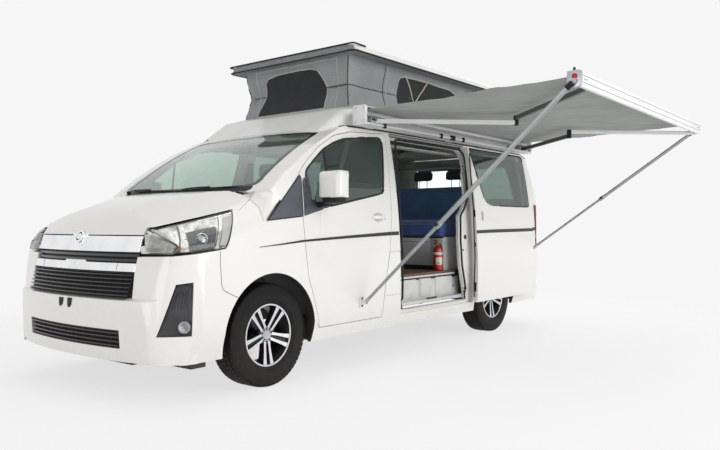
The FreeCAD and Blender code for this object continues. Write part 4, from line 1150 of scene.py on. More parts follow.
@dataclass
class Shell:
    """Painted panels of the body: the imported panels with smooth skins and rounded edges.

    Attributes:
        edge: rounding of the panels' edges.
        bent: only edges bent by more than this many degrees are rounded.
        arch: radii between which an arch's edge is black.
        well: radius and half width of the black wheel wells.
        cowl_half: half width of the black part of the cowl.
        mirror_edge: rounding of a mirror's housing.
        mirror_cell: size of its cells.
        mirror_smoothing: passes of smoothing over it.
        mirror_root: distance from the middle, within which it is black.
        mirror_foot: height under which it is black.
        mirror_back: X of the glass's face.
        mirror_glass: the glass's inner and outer Y and its lower edge.
        panels: each panel's CAD node and body.
    """

    edge: float = 0.0022
    bent: float = 42.0
    arch: Flat = (0.418, 0.4292)
    well: Flat = (0.52, 0.90)
    cowl_half: float = 0.73
    mirror_edge: float = 0.042
    mirror_cell: float = 0.007
    mirror_smoothing: int = 18
    mirror_root: float = 1.008
    mirror_foot: float = 1.302
    mirror_back: float = -0.525
    mirror_glass: tuple[float, float, float] = (1.035, 1.205, 1.315)
    panels: tuple[tuple[str, Body], ...] = (
        ("bonnet", Body.BONNET), ("cowl_panel", Body.VAN), ("front_bumper", Body.VAN),
        ("front_wings", Body.VAN), ("roof_panel", Body.VAN), ("tailgate", Body.TAILGATE),
        ("rear_bumper", Body.VAN), ("body_side_left", Body.VAN),
        ("body_side_right", Body.VAN), ("front_door_left", Body.DOOR_LEFT),
        ("front_door_right", Body.DOOR_RIGHT), ("sliding_door", Body.VAN),
        ("fuel_flap", Body.FLAP), ("mirror_left", Body.DOOR_LEFT),
        ("mirror_right", Body.DOOR_RIGHT))

    def darken_arches(self, panel: Piece) -> None:
        """Give the walls round the wheels their black coating.

        Args:
            panel: a body panel.
        """
        mesh = panel.data
        mesh.materials.append(Palette.BLACK.build())
        near = []
        for vert in mesh.vertices:
            place = vert.co - SHIFT
            reach = min(math.hypot(place.x, place.z - TYRE_RADIUS),
                        math.hypot(place.x + WHEELBASE, place.z - TYRE_RADIUS))
            near.append(self.arch[0] < reach < self.arch[1]
                        or reach < self.well[0] and abs(place.y) < self.well[1])
        for face in mesh.polygons:
            outward = face.normal.y * math.copysign(1.0, (face.center - SHIFT).y)
            if all(near[i] for i in face.vertices) and outward < 0.6:
                face.material_index = len(mesh.materials) - 1

    def mirror(self, node: str) -> Piece:
        """Soft housing of a mirror, with its black foot and its glass.

        Args:
            node: the mirror's CAD node.

        Returns:
            The mirror.
        """
        panel = merged_copy(node, "painted_" + node, Palette.ENAMEL)
        with_bevel(panel, self.mirror_edge, 5, self.bent)
        with_modifier(panel, "REMESH", mode="VOXEL", voxel_size=self.mirror_cell)
        with_modifier(panel, "SMOOTH", factor=0.5, iterations=self.mirror_smoothing)
        with_modifier(panel, "WEIGHTED_NORMAL", keep_sharp=False, weight=80)
        polished(panel)
        near, far, low = self.mirror_glass
        recoloured(panel, Palette.BLACK,
                   lambda c: c.z < self.mirror_foot or abs(c.y) < self.mirror_root)
        recoloured(panel, Palette.CHROME,
                   lambda c: c.x < self.mirror_back and c.z > low and near < abs(c.y) < far)
        return panel

    def build(self) -> None:
        """Make every panel."""
        for node, body in self.panels:
            if node.startswith("mirror"):
                panel = self.mirror(node)
            else:
                panel = soft_copy(node, "painted_" + node, Palette.ENAMEL, self.edge,
                                  2, self.bent, True)
            if node.startswith(("front_", "body_side")):
                self.darken_arches(panel)
            if node == "cowl_panel":
                recoloured(panel, Palette.BLACK, lambda c: abs(c.y) < self.cowl_half)
            finish(panel, body, (node,))


# ---- Pieces laid on surfaces -------------------------------------------------------------
def patch(cast: Cast, corners: Sequence[Flat], wide: int, high: int,
          lift: float) -> list[list[Vector]]:
    """Grid of points on a surface, inside a four-cornered outline.

    Args:
        cast: gives the surface's point and normal at two coordinates and a lift.
        corners: the outline, round from the start of the first row.
        wide: cells along a row.
        high: number of rows less one.
        lift: distance of the points out of the surface.

    Returns:
        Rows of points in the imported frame.
    """
    a, b, c, d = (Vector(corner) for corner in corners)
    rows = []
    for i in range(high + 1):
        left, right = a.lerp(d, i / high), b.lerp(c, i / high)
        row = [left.lerp(right, k / wide) for k in range(wide + 1)]
        rows.append([cast(p.x, p.y, lift)[0] for p in row])
    return rows


def drawn_line(cast: Cast, path: Sequence[Flat], name: str, width: float,
               height: float, material: Finish, closed: bool = False,
               step: float = 0.025, sink: float = 0.001) -> Piece:
    """Strip that follows a surface along a line.

    Args:
        cast: gives the surface's point and normal at two coordinates and a lift.
        path: the line, in the cast's two coordinates.
        name: the piece's name.
        width: the strip's width.
        height: how far it stands proud.
        material: its finish.
        closed: whether it is a ring.
        step: distance between the points.
        sink: how far its underside lies in the surface.

    Returns:
        The strip.
    """
    flat = resampled([Vector((a, b, 0)) for a, b in path], step, closed)
    hits = [cast(p.x, p.y, 0.0) for p in flat]
    half, soft = width / 2, min(height * 0.4, width * 0.2)
    profile = [(-half, -sink), (-half, height - soft), (-half + soft, height),
               (half - soft, height), (half, height - soft), (half, -sink)]
    return swept(name, [h[0] for h in hits], lambda i: hits[i][1], profile, material, closed)


def filled(cast: Cast, outline: Sequence[Flat], name: str, lift: float,
           thick: float, material: Finish, rings: int) -> Piece:
    """Plate that follows a surface inside a closed outline.

    Args:
        cast: gives the surface's point and normal at two coordinates and a lift.
        outline: the outline, in the cast's two coordinates.
        name: the piece's name.
        lift: how far its face stands proud.
        thick: its thickness.
        material: its finish.
        rings: steps from the middle to the rim.

    Returns:
        The plate.
    """
    rim = resampled([Vector((a, b, 0)) for a, b in outline], RIM_STEP, True)
    middle = sum(rim, Vector()) / len(rim)
    hits = [cast(middle.x, middle.y, 0.0)]
    for i in range(1, rings + 1):
        spots = [middle.lerp(p, i / rings) for p in rim]
        hits += [cast(p.x, p.y, 0.0) for p in spots]
    front = [p + n * lift for p, n in hits]
    back = [p + n * (lift - thick) for p, n in hits]
    size, count = len(front), len(rim)
    faces = []
    for k in range(count):
        after = (k + 1) % count
        faces.append((0, 1 + k, 1 + after))
        for i in range(rings - 1):
            a = 1 + i * count
            faces.append((a + k, a + count + k, a + count + after, a + after))
    faces += [tuple(v + size for v in reversed(f)) for f in faces]
    a = 1 + (rings - 1) * count
    faces += [(a + k, a + k + size, a + (k + 1) % count + size, a + (k + 1) % count)
              for k in range(count)]
    return new_piece(name, front + back, faces, material)


def sunk(rows: Sequence[Sequence[Vector]], side: int, way: Vector,
         depth: Callable[[float, float], float]) -> list[list[Vector]]:
    """Move a patch's points inwards by a depth that changes over it.

    Args:
        rows: the patch.
        side: which flank it lies on.
        way: the inward movement for a depth of one.
        depth: gives the depth at shares of the length, from the rear, and the height.

    Returns:
        The new rows.
    """
    result = []
    for row, v in zip(rows, evenly(len(rows) - 1)):
        shares = evenly(len(row) - 1)
        result.append([point + way * depth(u if side == LEFT else 1 - u, v)
                       for point, u in zip(row, shares)])
    return result


def facing(corners: Sequence[Flat], side: int) -> Sequence[Flat]:
    """Four corners of the left side, in the order that faces outwards on the given side."""
    a, b, c, d = corners
    return corners if side == LEFT else (b, a, d, c)


def ring_wall(name: str, outer: Sequence[Sequence[Vector]], inner: Sequence[Sequence[Vector]],
              material: Finish, angle: float) -> Piece:
    """Closed wall between two stacks of rings.

    Args:
        name: the piece's name.
        outer: rings of points from bottom to top.
        inner: the same rings moved inwards.
        material: its finish.
        angle: edges bent by more than this many degrees stay sharp.

    Returns:
        The wall.
    """
    high, wide = len(outer), len(outer[0])
    verts = [p for ring in outer for p in ring] + [p for ring in inner for p in ring]
    size = high * wide
    faces = []
    for k in range(wide):
        after = (k + 1) % wide
        for i in range(high - 1):
            a, b = i * wide, (i + 1) * wide
            faces.append((a + k, a + after, b + after, b + k))
            faces.append((size + b + k, size + b + after, size + a + after, size + a + k))
        top = (high - 1) * wide
        faces.append((k, size + k, size + after, after))
        faces.append((top + k, top + after, size + top + after, size + top + k))
    return new_piece(name, verts, faces, material, angle)


# ---- Wheels ------------------------------------------------------------------------------
@dataclass
class Wheels:
    """Four alloy wheels of five twin spokes each, with their tyres."""

    rim_radius: float = 0.2157
    spokes: int = 5
    nuts: int = 6
    tread_pitch: int = 62
    groove: float = 0.0075
    wall_ribs: int = 150
    facets: int = 96
    corners: tuple[tuple[str, float, int], ...] = (
        ("front_left", 0.0, LEFT), ("front_right", 0.0, RIGHT),
        ("rear_left", -WHEELBASE, LEFT), ("rear_right", -WHEELBASE, RIGHT))

    def tyre(self, centre: Vector, side: int, name: str) -> Piece:
        """Carcass with its bead, side-wall rings, shoulder and tread blocks.

        Args:
            centre: the wheel's centre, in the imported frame.
            side: which flank the wheel stands at.
            name: the wheel's name.

        Returns:
            The tyre.
        """
        rubber = Palette.TYRE
        half, top = TYRE_WIDTH / 2, TYRE_RADIUS
        wall = [(0.086, 0.2162), (0.0905, 0.2215), (0.0945, 0.2225), (0.0965, 0.232),
                (0.1035, 0.238), (0.1045, 0.243), (0.1040, 0.246), (0.1060, 0.262),
                (0.1070, 0.275), (0.1062, 0.288), (0.1052, 0.290), (0.1052, 0.293),
                (0.1040, 0.2945), (0.1030, 0.309), (0.1018, 0.3105), (0.0995, 0.322),
                (0.0975, 0.3235), (0.0945, 0.3335), (0.0895, 0.3415), (0.0845, 0.3452)]
        out = [(h * half / 0.1075, r) for h, r in wall]
        floor = top - self.groove
        profile = out + [(0.07, floor + 0.0008), (0.0, floor + 0.001), (-0.07, floor + 0.0008)]
        profile += [(-h, r) for h, r in reversed(out)]
        pieces = [lathed("carcass", centre, Vector((0, side, 0)), profile, rubber,
                         self.facets, True, 28)]
        pitch = 2 * math.pi / self.tread_pitch
        spans = ((-0.0915, -0.062, 0.0), (-0.055, -0.0225, 0.45), (-0.0165, 0.0165, 0.1),
                 (0.0225, 0.055, -0.3), (0.062, 0.0915, 0.15))
        for index, (low, high, lag) in enumerate(spans):
            block_of_row = self.tread_block(centre, low, high, lag * pitch, pitch)
            pieces.append(self.around("tread_%d" % index, block_of_row, self.tread_pitch,
                                      centre))
        pieces.append(self.around("wall_ribs", self.wall_rib(centre, side), self.wall_ribs,
                                  centre))
        return joined("tyre_" + name + "_shaped", pieces)

    def tread_block(self, centre: Vector, low: float, high: float, lag: float,
                    pitch: float) -> Piece:
        """One tread block: a slanting pad with a crowned top.

        Args:
            centre: the wheel's centre.
            low: lower edge across the tyre.
            high: upper edge across the tyre.
            lag: turn of the block from the first one.
            pitch: angle between two blocks.

        Returns:
            The block.
        """
        verts = []
        base, crown = TYRE_RADIUS - self.groove - 0.002, TYRE_RADIUS
        slant = 0.22 * pitch
        for depth in (base, crown):
            for i in range(3):
                for y in (low, high):
                    turn = lag + pitch * 0.86 * (i / 2 - 0.5) + slant * (y / 0.09)
                    drop = 0.0 if depth == base else 0.55 * max(0.0, abs(y) - 0.06) ** 1.35
                    radius = depth - drop - (0.0009 if depth == crown and i != 1 else 0.0)
                    verts.append(centre + Vector((math.sin(turn) * radius, y,
                                                  math.cos(turn) * radius)))
        faces = [(6, 7, 9, 8), (8, 9, 11, 10), (0, 2, 3, 1), (2, 4, 5, 3), (0, 1, 7, 6),
                 (4, 10, 11, 5), (0, 6, 8, 2), (2, 8, 10, 4), (1, 3, 9, 7), (3, 5, 11, 9)]
        return new_piece("block", verts, faces, Palette.TYRE, 30)

    def around(self, name: str, item: Piece, count: int, centre: Vector) -> Piece:
        """Repeat a piece evenly round a wheel's axis."""
        return copies(name, item, count, turn=(0, 2 * math.pi / count, 0), pivot=centre)

    def wall_rib(self, centre: Vector, side: int) -> Piece:
        """One of the fine radial ribs on the outer side wall.

        Args:
            centre: the wheel's centre.
            side: which flank the wheel stands at.

        Returns:
            The rib.
        """
        y, low, high, half = side * 0.1038, 0.297, 0.3075, 0.0016
        verts = [centre + Vector((x, y - side * back, z)) for back in (0.004, -0.0004)
                 for x, z in ((-half, low), (half, low), (half, high), (-half, high))]
        faces = [(0, 1, 2, 3), (7, 6, 5, 4), (0, 4, 5, 1), (1, 5, 6, 2), (2, 6, 7, 3),
                 (3, 7, 4, 0)]
        return new_piece("rib", verts, faces, Palette.TYRE, 30)

    def rim(self, centre: Vector, side: int, name: str) -> Piece:
        """Barrel, five twin spokes with machined faces, hub cap, nuts and valve.

        Args:
            centre: the wheel's centre.
            side: which flank the wheel stands at.
            name: the wheel's name.

        Returns:
            The rim.
        """
        dark, bright = Palette.ALLOY_DARK, Palette.ALLOY
        axis = Vector((0, side, 0))
        r = self.rim_radius
        barrel = [(-0.085, r), (-0.085, r - 0.013), (-0.072, r - 0.017), (-0.055, r - 0.03),
                  (0.03, r - 0.034), (0.058, r - 0.026), (0.076, r - 0.017),
                  (0.0865, r - 0.0145), (0.0885, r - 0.012), (0.0885, r - 0.003),
                  (0.085, r)]
        pieces = [lathed("barrel", centre, axis, barrel, dark, self.facets, True, 30)]
        pieces.append(lathed("lip", centre, axis,
                             [(0.0868, r - 0.0142), (0.0892, r - 0.0118), (0.0893, r - 0.0032),
                              (0.0868, r - 0.0015)], bright, self.facets, True, 30))
        hub = [(-0.02, 0.068), (0.03, 0.074), (0.055, 0.07), (0.066, 0.058), (0.0685, 0.046),
               (0.062, 0.036), (0.062, 0.0)]
        pieces.append(lathed("hub", centre, axis, [(-0.02, 0.03)] + hub, dark, 64))
        cap = [(0.058, 0.0345), (0.0655, 0.0345), (0.0685, 0.0325), (0.0692, 0.027),
               (0.0686, 0.0255), (0.0695, 0.012), (0.0697, 0.0)]
        pieces.append(lathed("cap", centre, axis, cap, Palette.SILVER, 48))
        for lean in (-1, 1):
            pieces.append(self.around("spokes%+d" % lean, self.spoke(centre, side, lean),
                                      self.spokes, centre))
            pieces.append(self.around("faces%+d" % lean, self.spoke_face(centre, side, lean),
                                      self.spokes, centre))
        pieces.append(self.around("webs", self.web(centre, side), self.spokes, centre))
        nut = lathed("nut", centre + Vector((0, 0, 0.0525)), axis,
                     [(0.045, 0.0105), (0.062, 0.0098), (0.0655, 0.0082), (0.0662, 0.0)],
                     Palette.CHROME, 6, angle=20)
        pieces.append(self.around("nuts", nut, self.nuts, centre))
        turn = math.radians(18)
        root = centre + Vector((math.sin(turn) * (r - 0.03), side * 0.062,
                                math.cos(turn) * (r - 0.03)))
        tip = root - Vector((math.sin(turn), 0, math.cos(turn))) * 0.012 + axis * 0.022
        pieces.append(tube("valve", [root, root.lerp(tip, 0.5), tip],
                           [0.0055, 0.0042, 0.0038], Palette.RUBBER))
        return joined("rim_" + name + "_shaped", pieces)

    def spoke_rows(self, lean: int) -> list[tuple[float, float, float, float]]:
        """Radius, offset, half width and face height along one spoke bar.

        Args:
            lean: which bar of the pair it is.

        Returns:
            The rows, from the hub to the rim.
        """
        r = self.rim_radius - 0.02
        return [(0.036, lean * 0.0155, 0.0105, 0.0665), (0.060, lean * 0.0195, 0.0092, 0.070),
                (0.100, lean * 0.0225, 0.0095, 0.0738), (0.145, lean * 0.0265, 0.0112, 0.0782),
                (r - 0.012, lean * 0.0305, 0.0140, 0.0826),
                (r + 0.006, lean * 0.0320, 0.0165, 0.0848)]

    def bar(self, name: str, centre: Vector, side: int, lean: int, look: Finish,
            section: Callable[[float, float], Sequence[Flat]]) -> Piece:
        """Sheath along one spoke bar.

        Args:
            name: the piece's name.
            centre: the wheel's centre.
            side: which flank the wheel stands at.
            lean: which bar of the pair it is.
            look: its finish.
            section: gives its corners across and outwards, from the bar's half width and
                the height of its face.

        Returns:
            The sheath.
        """
        rows = [(radius, offset, section(half, face))
                for radius, offset, half, face in self.spoke_rows(lean)]
        verts = [centre + Vector((offset + u, side * depth, -radius))
                 for radius, offset, corners in rows for u, depth in corners]
        return new_piece(name, verts, belt(len(rows), len(rows[0][2]), False), look, 30)

    def spoke(self, centre: Vector, side: int, lean: int) -> Piece:
        """Dark body of one spoke bar."""
        return self.bar("spoke", centre, side, lean, Palette.ALLOY_DARK, lambda half, face: (
            (-half - 0.004, 0.030), (-half - 0.0012, face - 0.004), (-half, face - 0.0006),
            (half, face - 0.0006), (half + 0.0012, face - 0.004), (half + 0.004, 0.030)))

    def spoke_face(self, centre: Vector, side: int, lean: int) -> Piece:
        """Bright machined facet on top of one spoke bar."""
        return self.bar("face", centre, side, lean, Palette.ALLOY, lambda half, face: (
            (-half + 0.0003, face - 0.0012), (-half + 0.0003, face), (half - 0.0003, face),
            (half - 0.0003, face - 0.0012)))

    def web(self, centre: Vector, side: int) -> Piece:
        """Sunk dark web between the two bars of one spoke.

        Args:
            centre: the wheel's centre.
            side: which flank the wheel stands at.

        Returns:
            The web.
        """
        rows = []
        for radius, half, depth in ((0.06, 0.010, 0.056), (0.110, 0.016, 0.0585),
                                    (0.150, 0.020, 0.062), (0.192, 0.027, 0.068)):
            rows.append([centre + Vector((-side * u * half, side * (depth - 0.004 * (u == 0)),
                                          -radius)) for u in (-1, 0, 1)])
        return slab("web", rows, Vector((0, -side * 0.012, 0)), Palette.ALLOY_DARK)

    def build(self) -> None:
        """Make the four wheels."""
        for name, x, side in self.corners:
            centre = at(x, side * HALF_TRACK, TYRE_RADIUS)
            body = "wheel_" + name
            finish(self.tyre(centre, side, name), body, ("tyre_" + name,))
            finish(self.rim(centre, side, name), body, ("rim_" + name,))


# ---- Nose --------------------------------------------------------------------------------
@dataclass
class Nose:
    """Bright bars, grilles, plate clips, fog lamps and headlamps.

    Attributes:
        joint: line between the bumper's corner and the wing.
        lens: thickness of a headlamp's cover.
        bowl: depth of its bowl.
        headlamp: its corners in X and Z.
        bezel: corners of the panel round a fog lamp.
        badge_way: direction that the bare badge place faces.
        plate_z: height of the plate clips.
    """

    joint: tuple[Flat, ...] = (
        (0.462, 0.967), (0.466, 0.876), (0.461, 0.800), (0.457, 0.735), (0.451, 0.708),
        (0.434, 0.689), (0.350, 0.652), (0.321, 0.640))
    lens: float = 0.0025
    bowl: float = 0.04
    headlamp: tuple[Flat, ...] = (
        (0.246, 1.199), (0.792, 1.071), (0.816, 0.929), (0.418, 0.960))
    bezel: tuple[Flat, ...] = (
        (0.655, 0.752), (0.736, 0.741), (0.820, 0.434), (0.663, 0.432))
    badge_way: Point = (0.9, 0, 0.42)
    plate_z: float = 0.607

    def headlamp_at(self, side: int) -> list[Piece]:
        """Clear cover, bright bowl with its cells, lamps and dark dividers of one headlamp.

        Args:
            side: which flank it stands at.

        Returns:
            The cover and the inner pieces.
        """
        cast = Skin(["front_lamps"]).flank(side)
        corners = facing(self.headlamp, side)
        word = WORD[side]
        outer = patch(cast, corners, 28, 10, -0.0006)
        cover = slab("headlamp_cover_" + word, outer, self.lens, Palette.LAMP_CLEAR, 50)
        inward = Vector((-0.32, -side * 0.93, 0)).normalized()
        rows = sunk(patch(cast, corners, 56, 22, -0.004), side, inward * self.bowl, self.depth)
        bowl = slab("bowl", rows, inward * 0.003, Palette.REFLECTOR, 24)
        inner = [bowl]
        black, chrome = Palette.PIANO, Palette.CHROME
        rim = list(self.headlamp)
        for zone, material in ((lambda u, v: u > 0.80, Palette.GREY_CELL),
                               (lambda u, v: 0.20 < u < 0.62 and v > 0.34, Palette.SMOKED),
                               (lambda u, v: 0.20 < u < 0.62 and v <= 0.34,
                                Palette.GREY_CELL)):
            recoloured(bowl, material, lambda p, zone=zone: zone(*self.shares(p.x, p.z)))
        inner.append(drawn_line(cast, rim, "rim", 0.007, 0.0004, black, True, sink=0.012))

        def inside(u: float, v: float, depth: float) -> Vector:
            """Place under the cover, at shares of the lamp and a depth."""
            return cast(*self.spot(u, v), -0.004)[0] + inward * depth

        for u0, u1, width in ((0.70, 0.80, 0.009), (0.19, 0.205, 0.004)):
            path = [inside(u0 + (u1 - u0) * t, 0.04 + 0.92 * t, 0.010) for t in evenly(8)]
            inner.append(tube("divider", path, width / 2, black))
        ahead = Vector((0.82, side * 0.55, -0.05)).normalized()
        seat = inside(0.42, 0.62, 0.026)
        inner.append(lathed("projector", seat, ahead,
                            [(-0.02, 0.02), (0.004, 0.036), (0.012, 0.037), (0.013, 0.033),
                             (0.006, 0.030)], chrome, 40))
        inner.append(lathed("projector_lens", seat, ahead,
                            [(0.004, 0.031), (0.011, 0.026), (0.016, 0.015), (0.0175, 0.0)],
                            Palette.SCREEN_GLASS, 40))
        shelf = [inside(0.22 + 0.45 * t, 0.40 + 0.10 * math.sin(t * 2.6), 0.013)
                 for t in evenly(16)]
        inner.append(tube("brow", shelf, 0.0028, black))
        rib = tube("rib", [inside(0.30, 0.14, 0.014), inside(0.335, 0.30, 0.017)], 0.0015,
                   chrome, sides=6)
        move = inside(0.44, 0.12, 0.014) - inside(0.30, 0.14, 0.014)
        inner.append(copies("ribs", rib, 8, step=move / 7))
        flute = tube("flute", [inside(0.24, 0.80, 0.017), inside(0.245, 0.93, 0.012)], 0.0022,
                     chrome, sides=6)
        move = inside(0.62, 0.80, 0.017) - inside(0.24, 0.80, 0.017)
        inner.append(copies("flutes", flute, 14, step=move / 13))
        inner.append(self.chip(cast, (0.0, 0.135, 0.10, 0.90), "day_lamp", 0.0045,
                               Palette.GELCOAT, inward))
        inner.append(self.chip(cast, (0.80, 0.985, 0.76, 0.93), "turn_lamp", 0.006,
                               Palette.GELCOAT, inward))
        bulb = inside(0.79, 0.83, 0.004)
        inner.append(lathed("turn_bulb", bulb, ahead,
                            [(-0.012, 0.010), (0.004, 0.0105), (0.009, 0.007), (0.0105, 0.0)],
                            Palette.LAMP_AMBER, 20))
        return [cover, joined("headlamp_inside_" + word, inner)]

    def spot(self, u: float, v: float) -> Flat:
        """X and Z at shares of the headlamp's length and height.

        Args:
            u: 0 at the rear end, 1 at the grille.
            v: 0 along the top, 1 along the bottom.

        Returns:
            The place's X and Z.
        """
        a, b, c, d = (Vector(corner) for corner in self.headlamp)
        place = a.lerp(d, v).lerp(b.lerp(c, v), u)
        return place.x, place.y

    def shares(self, x: float, z: float) -> Flat:
        """Shares of the headlamp's length and height at X and Z.

        Args:
            x: place along the van.
            z: height.

        Returns:
            0 at the rear end and 1 at the grille, and 0 at the top and 1 at the foot.
        """
        a, b, c, d = self.headlamp
        v = 0.5
        for _ in range(4):
            rear, front = a[0] + (d[0] - a[0]) * v, b[0] + (c[0] - b[0]) * v
            u = (x - rear) / (front - rear)
            top, foot = a[1] + (b[1] - a[1]) * u, d[1] + (c[1] - d[1]) * u
            v = (top - z) / (top - foot)
        return u, v

    def depth(self, u: float, v: float) -> float:
        """Depth of the bowl, from 0 to 1, at a place on the headlamp.

        Args:
            u: 0 at the rear end, 1 at the grille.
            v: 0 along the top, 1 along the bottom.

        Returns:
            The depth.
        """
        edge = min(u / 0.03, (1 - u) / 0.03, v / 0.06, (1 - v) / 0.06, 1.0)
        depth = 0.42
        for centre, middle, wide, high, deep in ((0.44, 0.60, 0.17, 0.42, 0.55),
                                                 (0.30, 0.25, 0.20, 0.22, 0.28),
                                                 (0.66, 0.38, 0.10, 0.40, 0.30),
                                                 (0.86, 0.38, 0.10, 0.34, 0.45)):
            reach = ((u - centre) / wide) ** 2 + ((v - middle) / high) ** 2
            depth = max(depth, 0.42 + deep * (1 - reach)) if reach < 1 else depth
        return depth * edge

    def chip(self, cast: Callable, area: Point, name: str, depth: float,
             material: Finish, inward: Vector) -> Piece:
        """Smooth tile just under the cover, in shares of the headlamp's length and height.

        Args:
            cast: finds the cover's surface.
            area: first and last share of the length, then of the height.
            name: the tile's name.
            depth: how far under the cover it lies.
            material: its finish.
            inward: direction into the lamp.

        Returns:
            The tile.
        """
        u0, u1, v0, v1 = area
        corners = [self.spot(u, v) for u, v in ((u0, v0), (u1, v0), (u1, v1), (u0, v1))]
        rows = [[p + inward * depth for p in row] for row in patch(cast, corners, 8, 6, -0.004)]
        return slab(name, rows, inward * 0.002, material)

    def fluting(self, u: float, v: float) -> float:
        """Depth of the fluted panel at a place on it.

        Args:
            u: 0 at the rear edge, 1 at the front one.
            v: 0 along the top, 1 along the bottom.

        Returns:
            The depth.
        """
        edge = min(u / 0.10, (1 - u) / 0.10, v / 0.05, (1 - v) / 0.05, 1.0)
        depth = 0.016 * max(0.0, edge)
        if 0.08 < v < 0.62 and 0.14 < u < 0.86:
            fade = min((v - 0.08) / 0.08, (0.62 - v) / 0.12, 1.0)
            depth += 0.006 * fade * math.sin((u - 0.14) / 0.72 * math.pi * 6) ** 2
        return depth

    def fog_panel(self, side: int) -> list[Piece]:
        """Dark fluted panel with the round fog lamp at its foot.

        Args:
            side: which flank it stands at.

        Returns:
            The panel, and the lamp's glass.
        """
        cast = Skin(["front_lamps"]).flank(side)
        dark = Palette.BEZEL
        inward = Vector((-0.35, -side * 0.93, 0)).normalized()
        face_rows = patch(cast, facing(self.bezel, side), 32, 44, -0.0008)
        rows = sunk(face_rows, side, inward, self.fluting)
        word = WORD[side]
        pieces = [slab("fog_panel", rows, inward * 0.012, dark, 40)]
        hub = cast(0.700, 0.486, -0.002)[0]
        face = (-inward * 0.9 + Vector((0.42, 0, 0))).normalized()
        pieces.append(lathed("fog_ring", hub, face,
                             [(-0.014, 0.030), (0.006, 0.037), (0.009, 0.0365), (0.0095, 0.033),
                              (0.004, 0.031)], Palette.SILVER, 48))
        pieces.append(lathed("fog_bowl", hub, face,
                             [(0.004, 0.0315), (-0.006, 0.024), (-0.012, 0.012), (-0.013, 0.0)],
                             Palette.REFLECTOR, 40))
        glass = lathed("fog_glass_" + word, hub, face,
                       [(0.003, 0.0), (0.003, 0.0315), (0.0055, 0.0318), (0.0085, 0.022),
                        (0.0102, 0.010), (0.0106, 0.0)], Palette.LAMP_CLEAR, 40)
        return [joined("fog_lamp_" + word, pieces), glass]

    def grilles(self) -> Piece:
        """Slats with sharp upper edges, thin uprights and the dark backs behind them.

        Returns:
            Both grilles and the slot above them.
        """
        dark, gloss = Palette.BLACK, Palette.PIANO
        pieces = []
        for half_top, half_low, low, high, slats, uprights in (
                (0.612, 0.586, 0.660, 0.808, 6, 12), (0.548, 0.532, 0.348, 0.452, 4, 11)):
            pitch = (high - low) / slats
            for index in range(slats):
                z = low + pitch * (index + 0.5)
                share = (index + 0.5) / slats
                half = half_low + (half_top - half_low) * share
                path = self.across(half, z)
                profile = [(-pitch * 0.20, -0.016), (-pitch * 0.24, -0.002),
                           (-pitch * 0.14, 0.0025), (pitch * 0.16, 0.0045),
                           (pitch * 0.24, 0.0015), (pitch * 0.20, -0.016)]
                pieces.append(swept("slat", path, AHEAD, profile, gloss, angle=25))
            step = 2 * half_low / (uprights + 1)
            first = -half_low + step
            for k in range(uprights):
                y = first + step * k
                foot = self.nose_point(y, low) + Vector((-0.010, 0, 0))
                head = self.nose_point(y, high) + Vector((-0.010, 0, 0))
                pieces.append(tube("upright", [foot, head], 0.0022, dark, sides=6))
            rows = [self.across(half_top + 0.012, z, 0.030)
                    for z in (low - 0.006, high + 0.004)]
            pieces.append(slab("back", rows, Vector((-0.004, 0, 0)), dark))
            for lip in (low - 0.001, high + 0.001):
                half = half_low if lip < (low + high) / 2 else half_top
                pieces.append(swept("edge", self.across(half, lip), AHEAD,
                                    ridge(0.003, 0.02, 0.002), dark))
        for z in (0.884, 0.915):
            pieces.append(swept("slot_slat", self.across(0.612, z, 0.020), AHEAD,
                                [(-0.007, -0.012), (-0.009, 0.004), (0.0, 0.008),
                                 (0.008, 0.005), (0.008, -0.012)], gloss, angle=25))
        rows = [self.across(0.622, z, 0.040) for z in (0.866, 0.94)]
        pieces.append(slab("slot_back", rows, Vector((-0.004, 0, 0)), dark))
        return joined("shaped_grilles", pieces)

    def across(self, half: float, z: float, back: float = 0.0) -> Path:
        """Points of the nose's face from right to left, or some way behind it."""
        return [self.nose_point(y / 20 * half, z) + Vector((-back, 0, 0))
                for y in range(-20, 21)]

    def nose_point(self, y: float, z: float) -> Vector:
        """Point of the nose's smooth face at Y and Z, also where it is open.

        Args:
            y: distance from the middle, to the left.
            z: height.

        Returns:
            The point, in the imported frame.
        """
        skin = self.face_skin()
        levels = (0.50, 0.656, 0.812, 0.872, 0.94, 1.02)
        for low, high in zip(levels, levels[1:]):
            if z <= high or high == levels[-1]:
                break
        anchors = {0.50: 0.600, 0.656: 0.641, 0.812: 0.818, 0.872: 0.866, 0.94: 0.942,
                   1.02: 1.02}
        start, end = (skin.front(y, anchors[level])[0] for level in (low, high))
        share = (z - low) / (high - low)
        point = start.lerp(end, share)
        point.z = at(0, 0, z).z
        if z < 0.5:
            front = skin.front(y, 0.60)[0]
            under = skin.front(y, 0.32)[0]
            point = under.lerp(front, (z - 0.32) / 0.28)
            point.z = at(0, 0, z).z
        return point

    def face_skin(self) -> Skin:
        """Skin of the pieces that make the nose's face, made once."""
        if not hasattr(Nose, "_face"):
            Nose._face = Skin(["front_bumper", "bright_bars", "bonnet"])
        return Nose._face

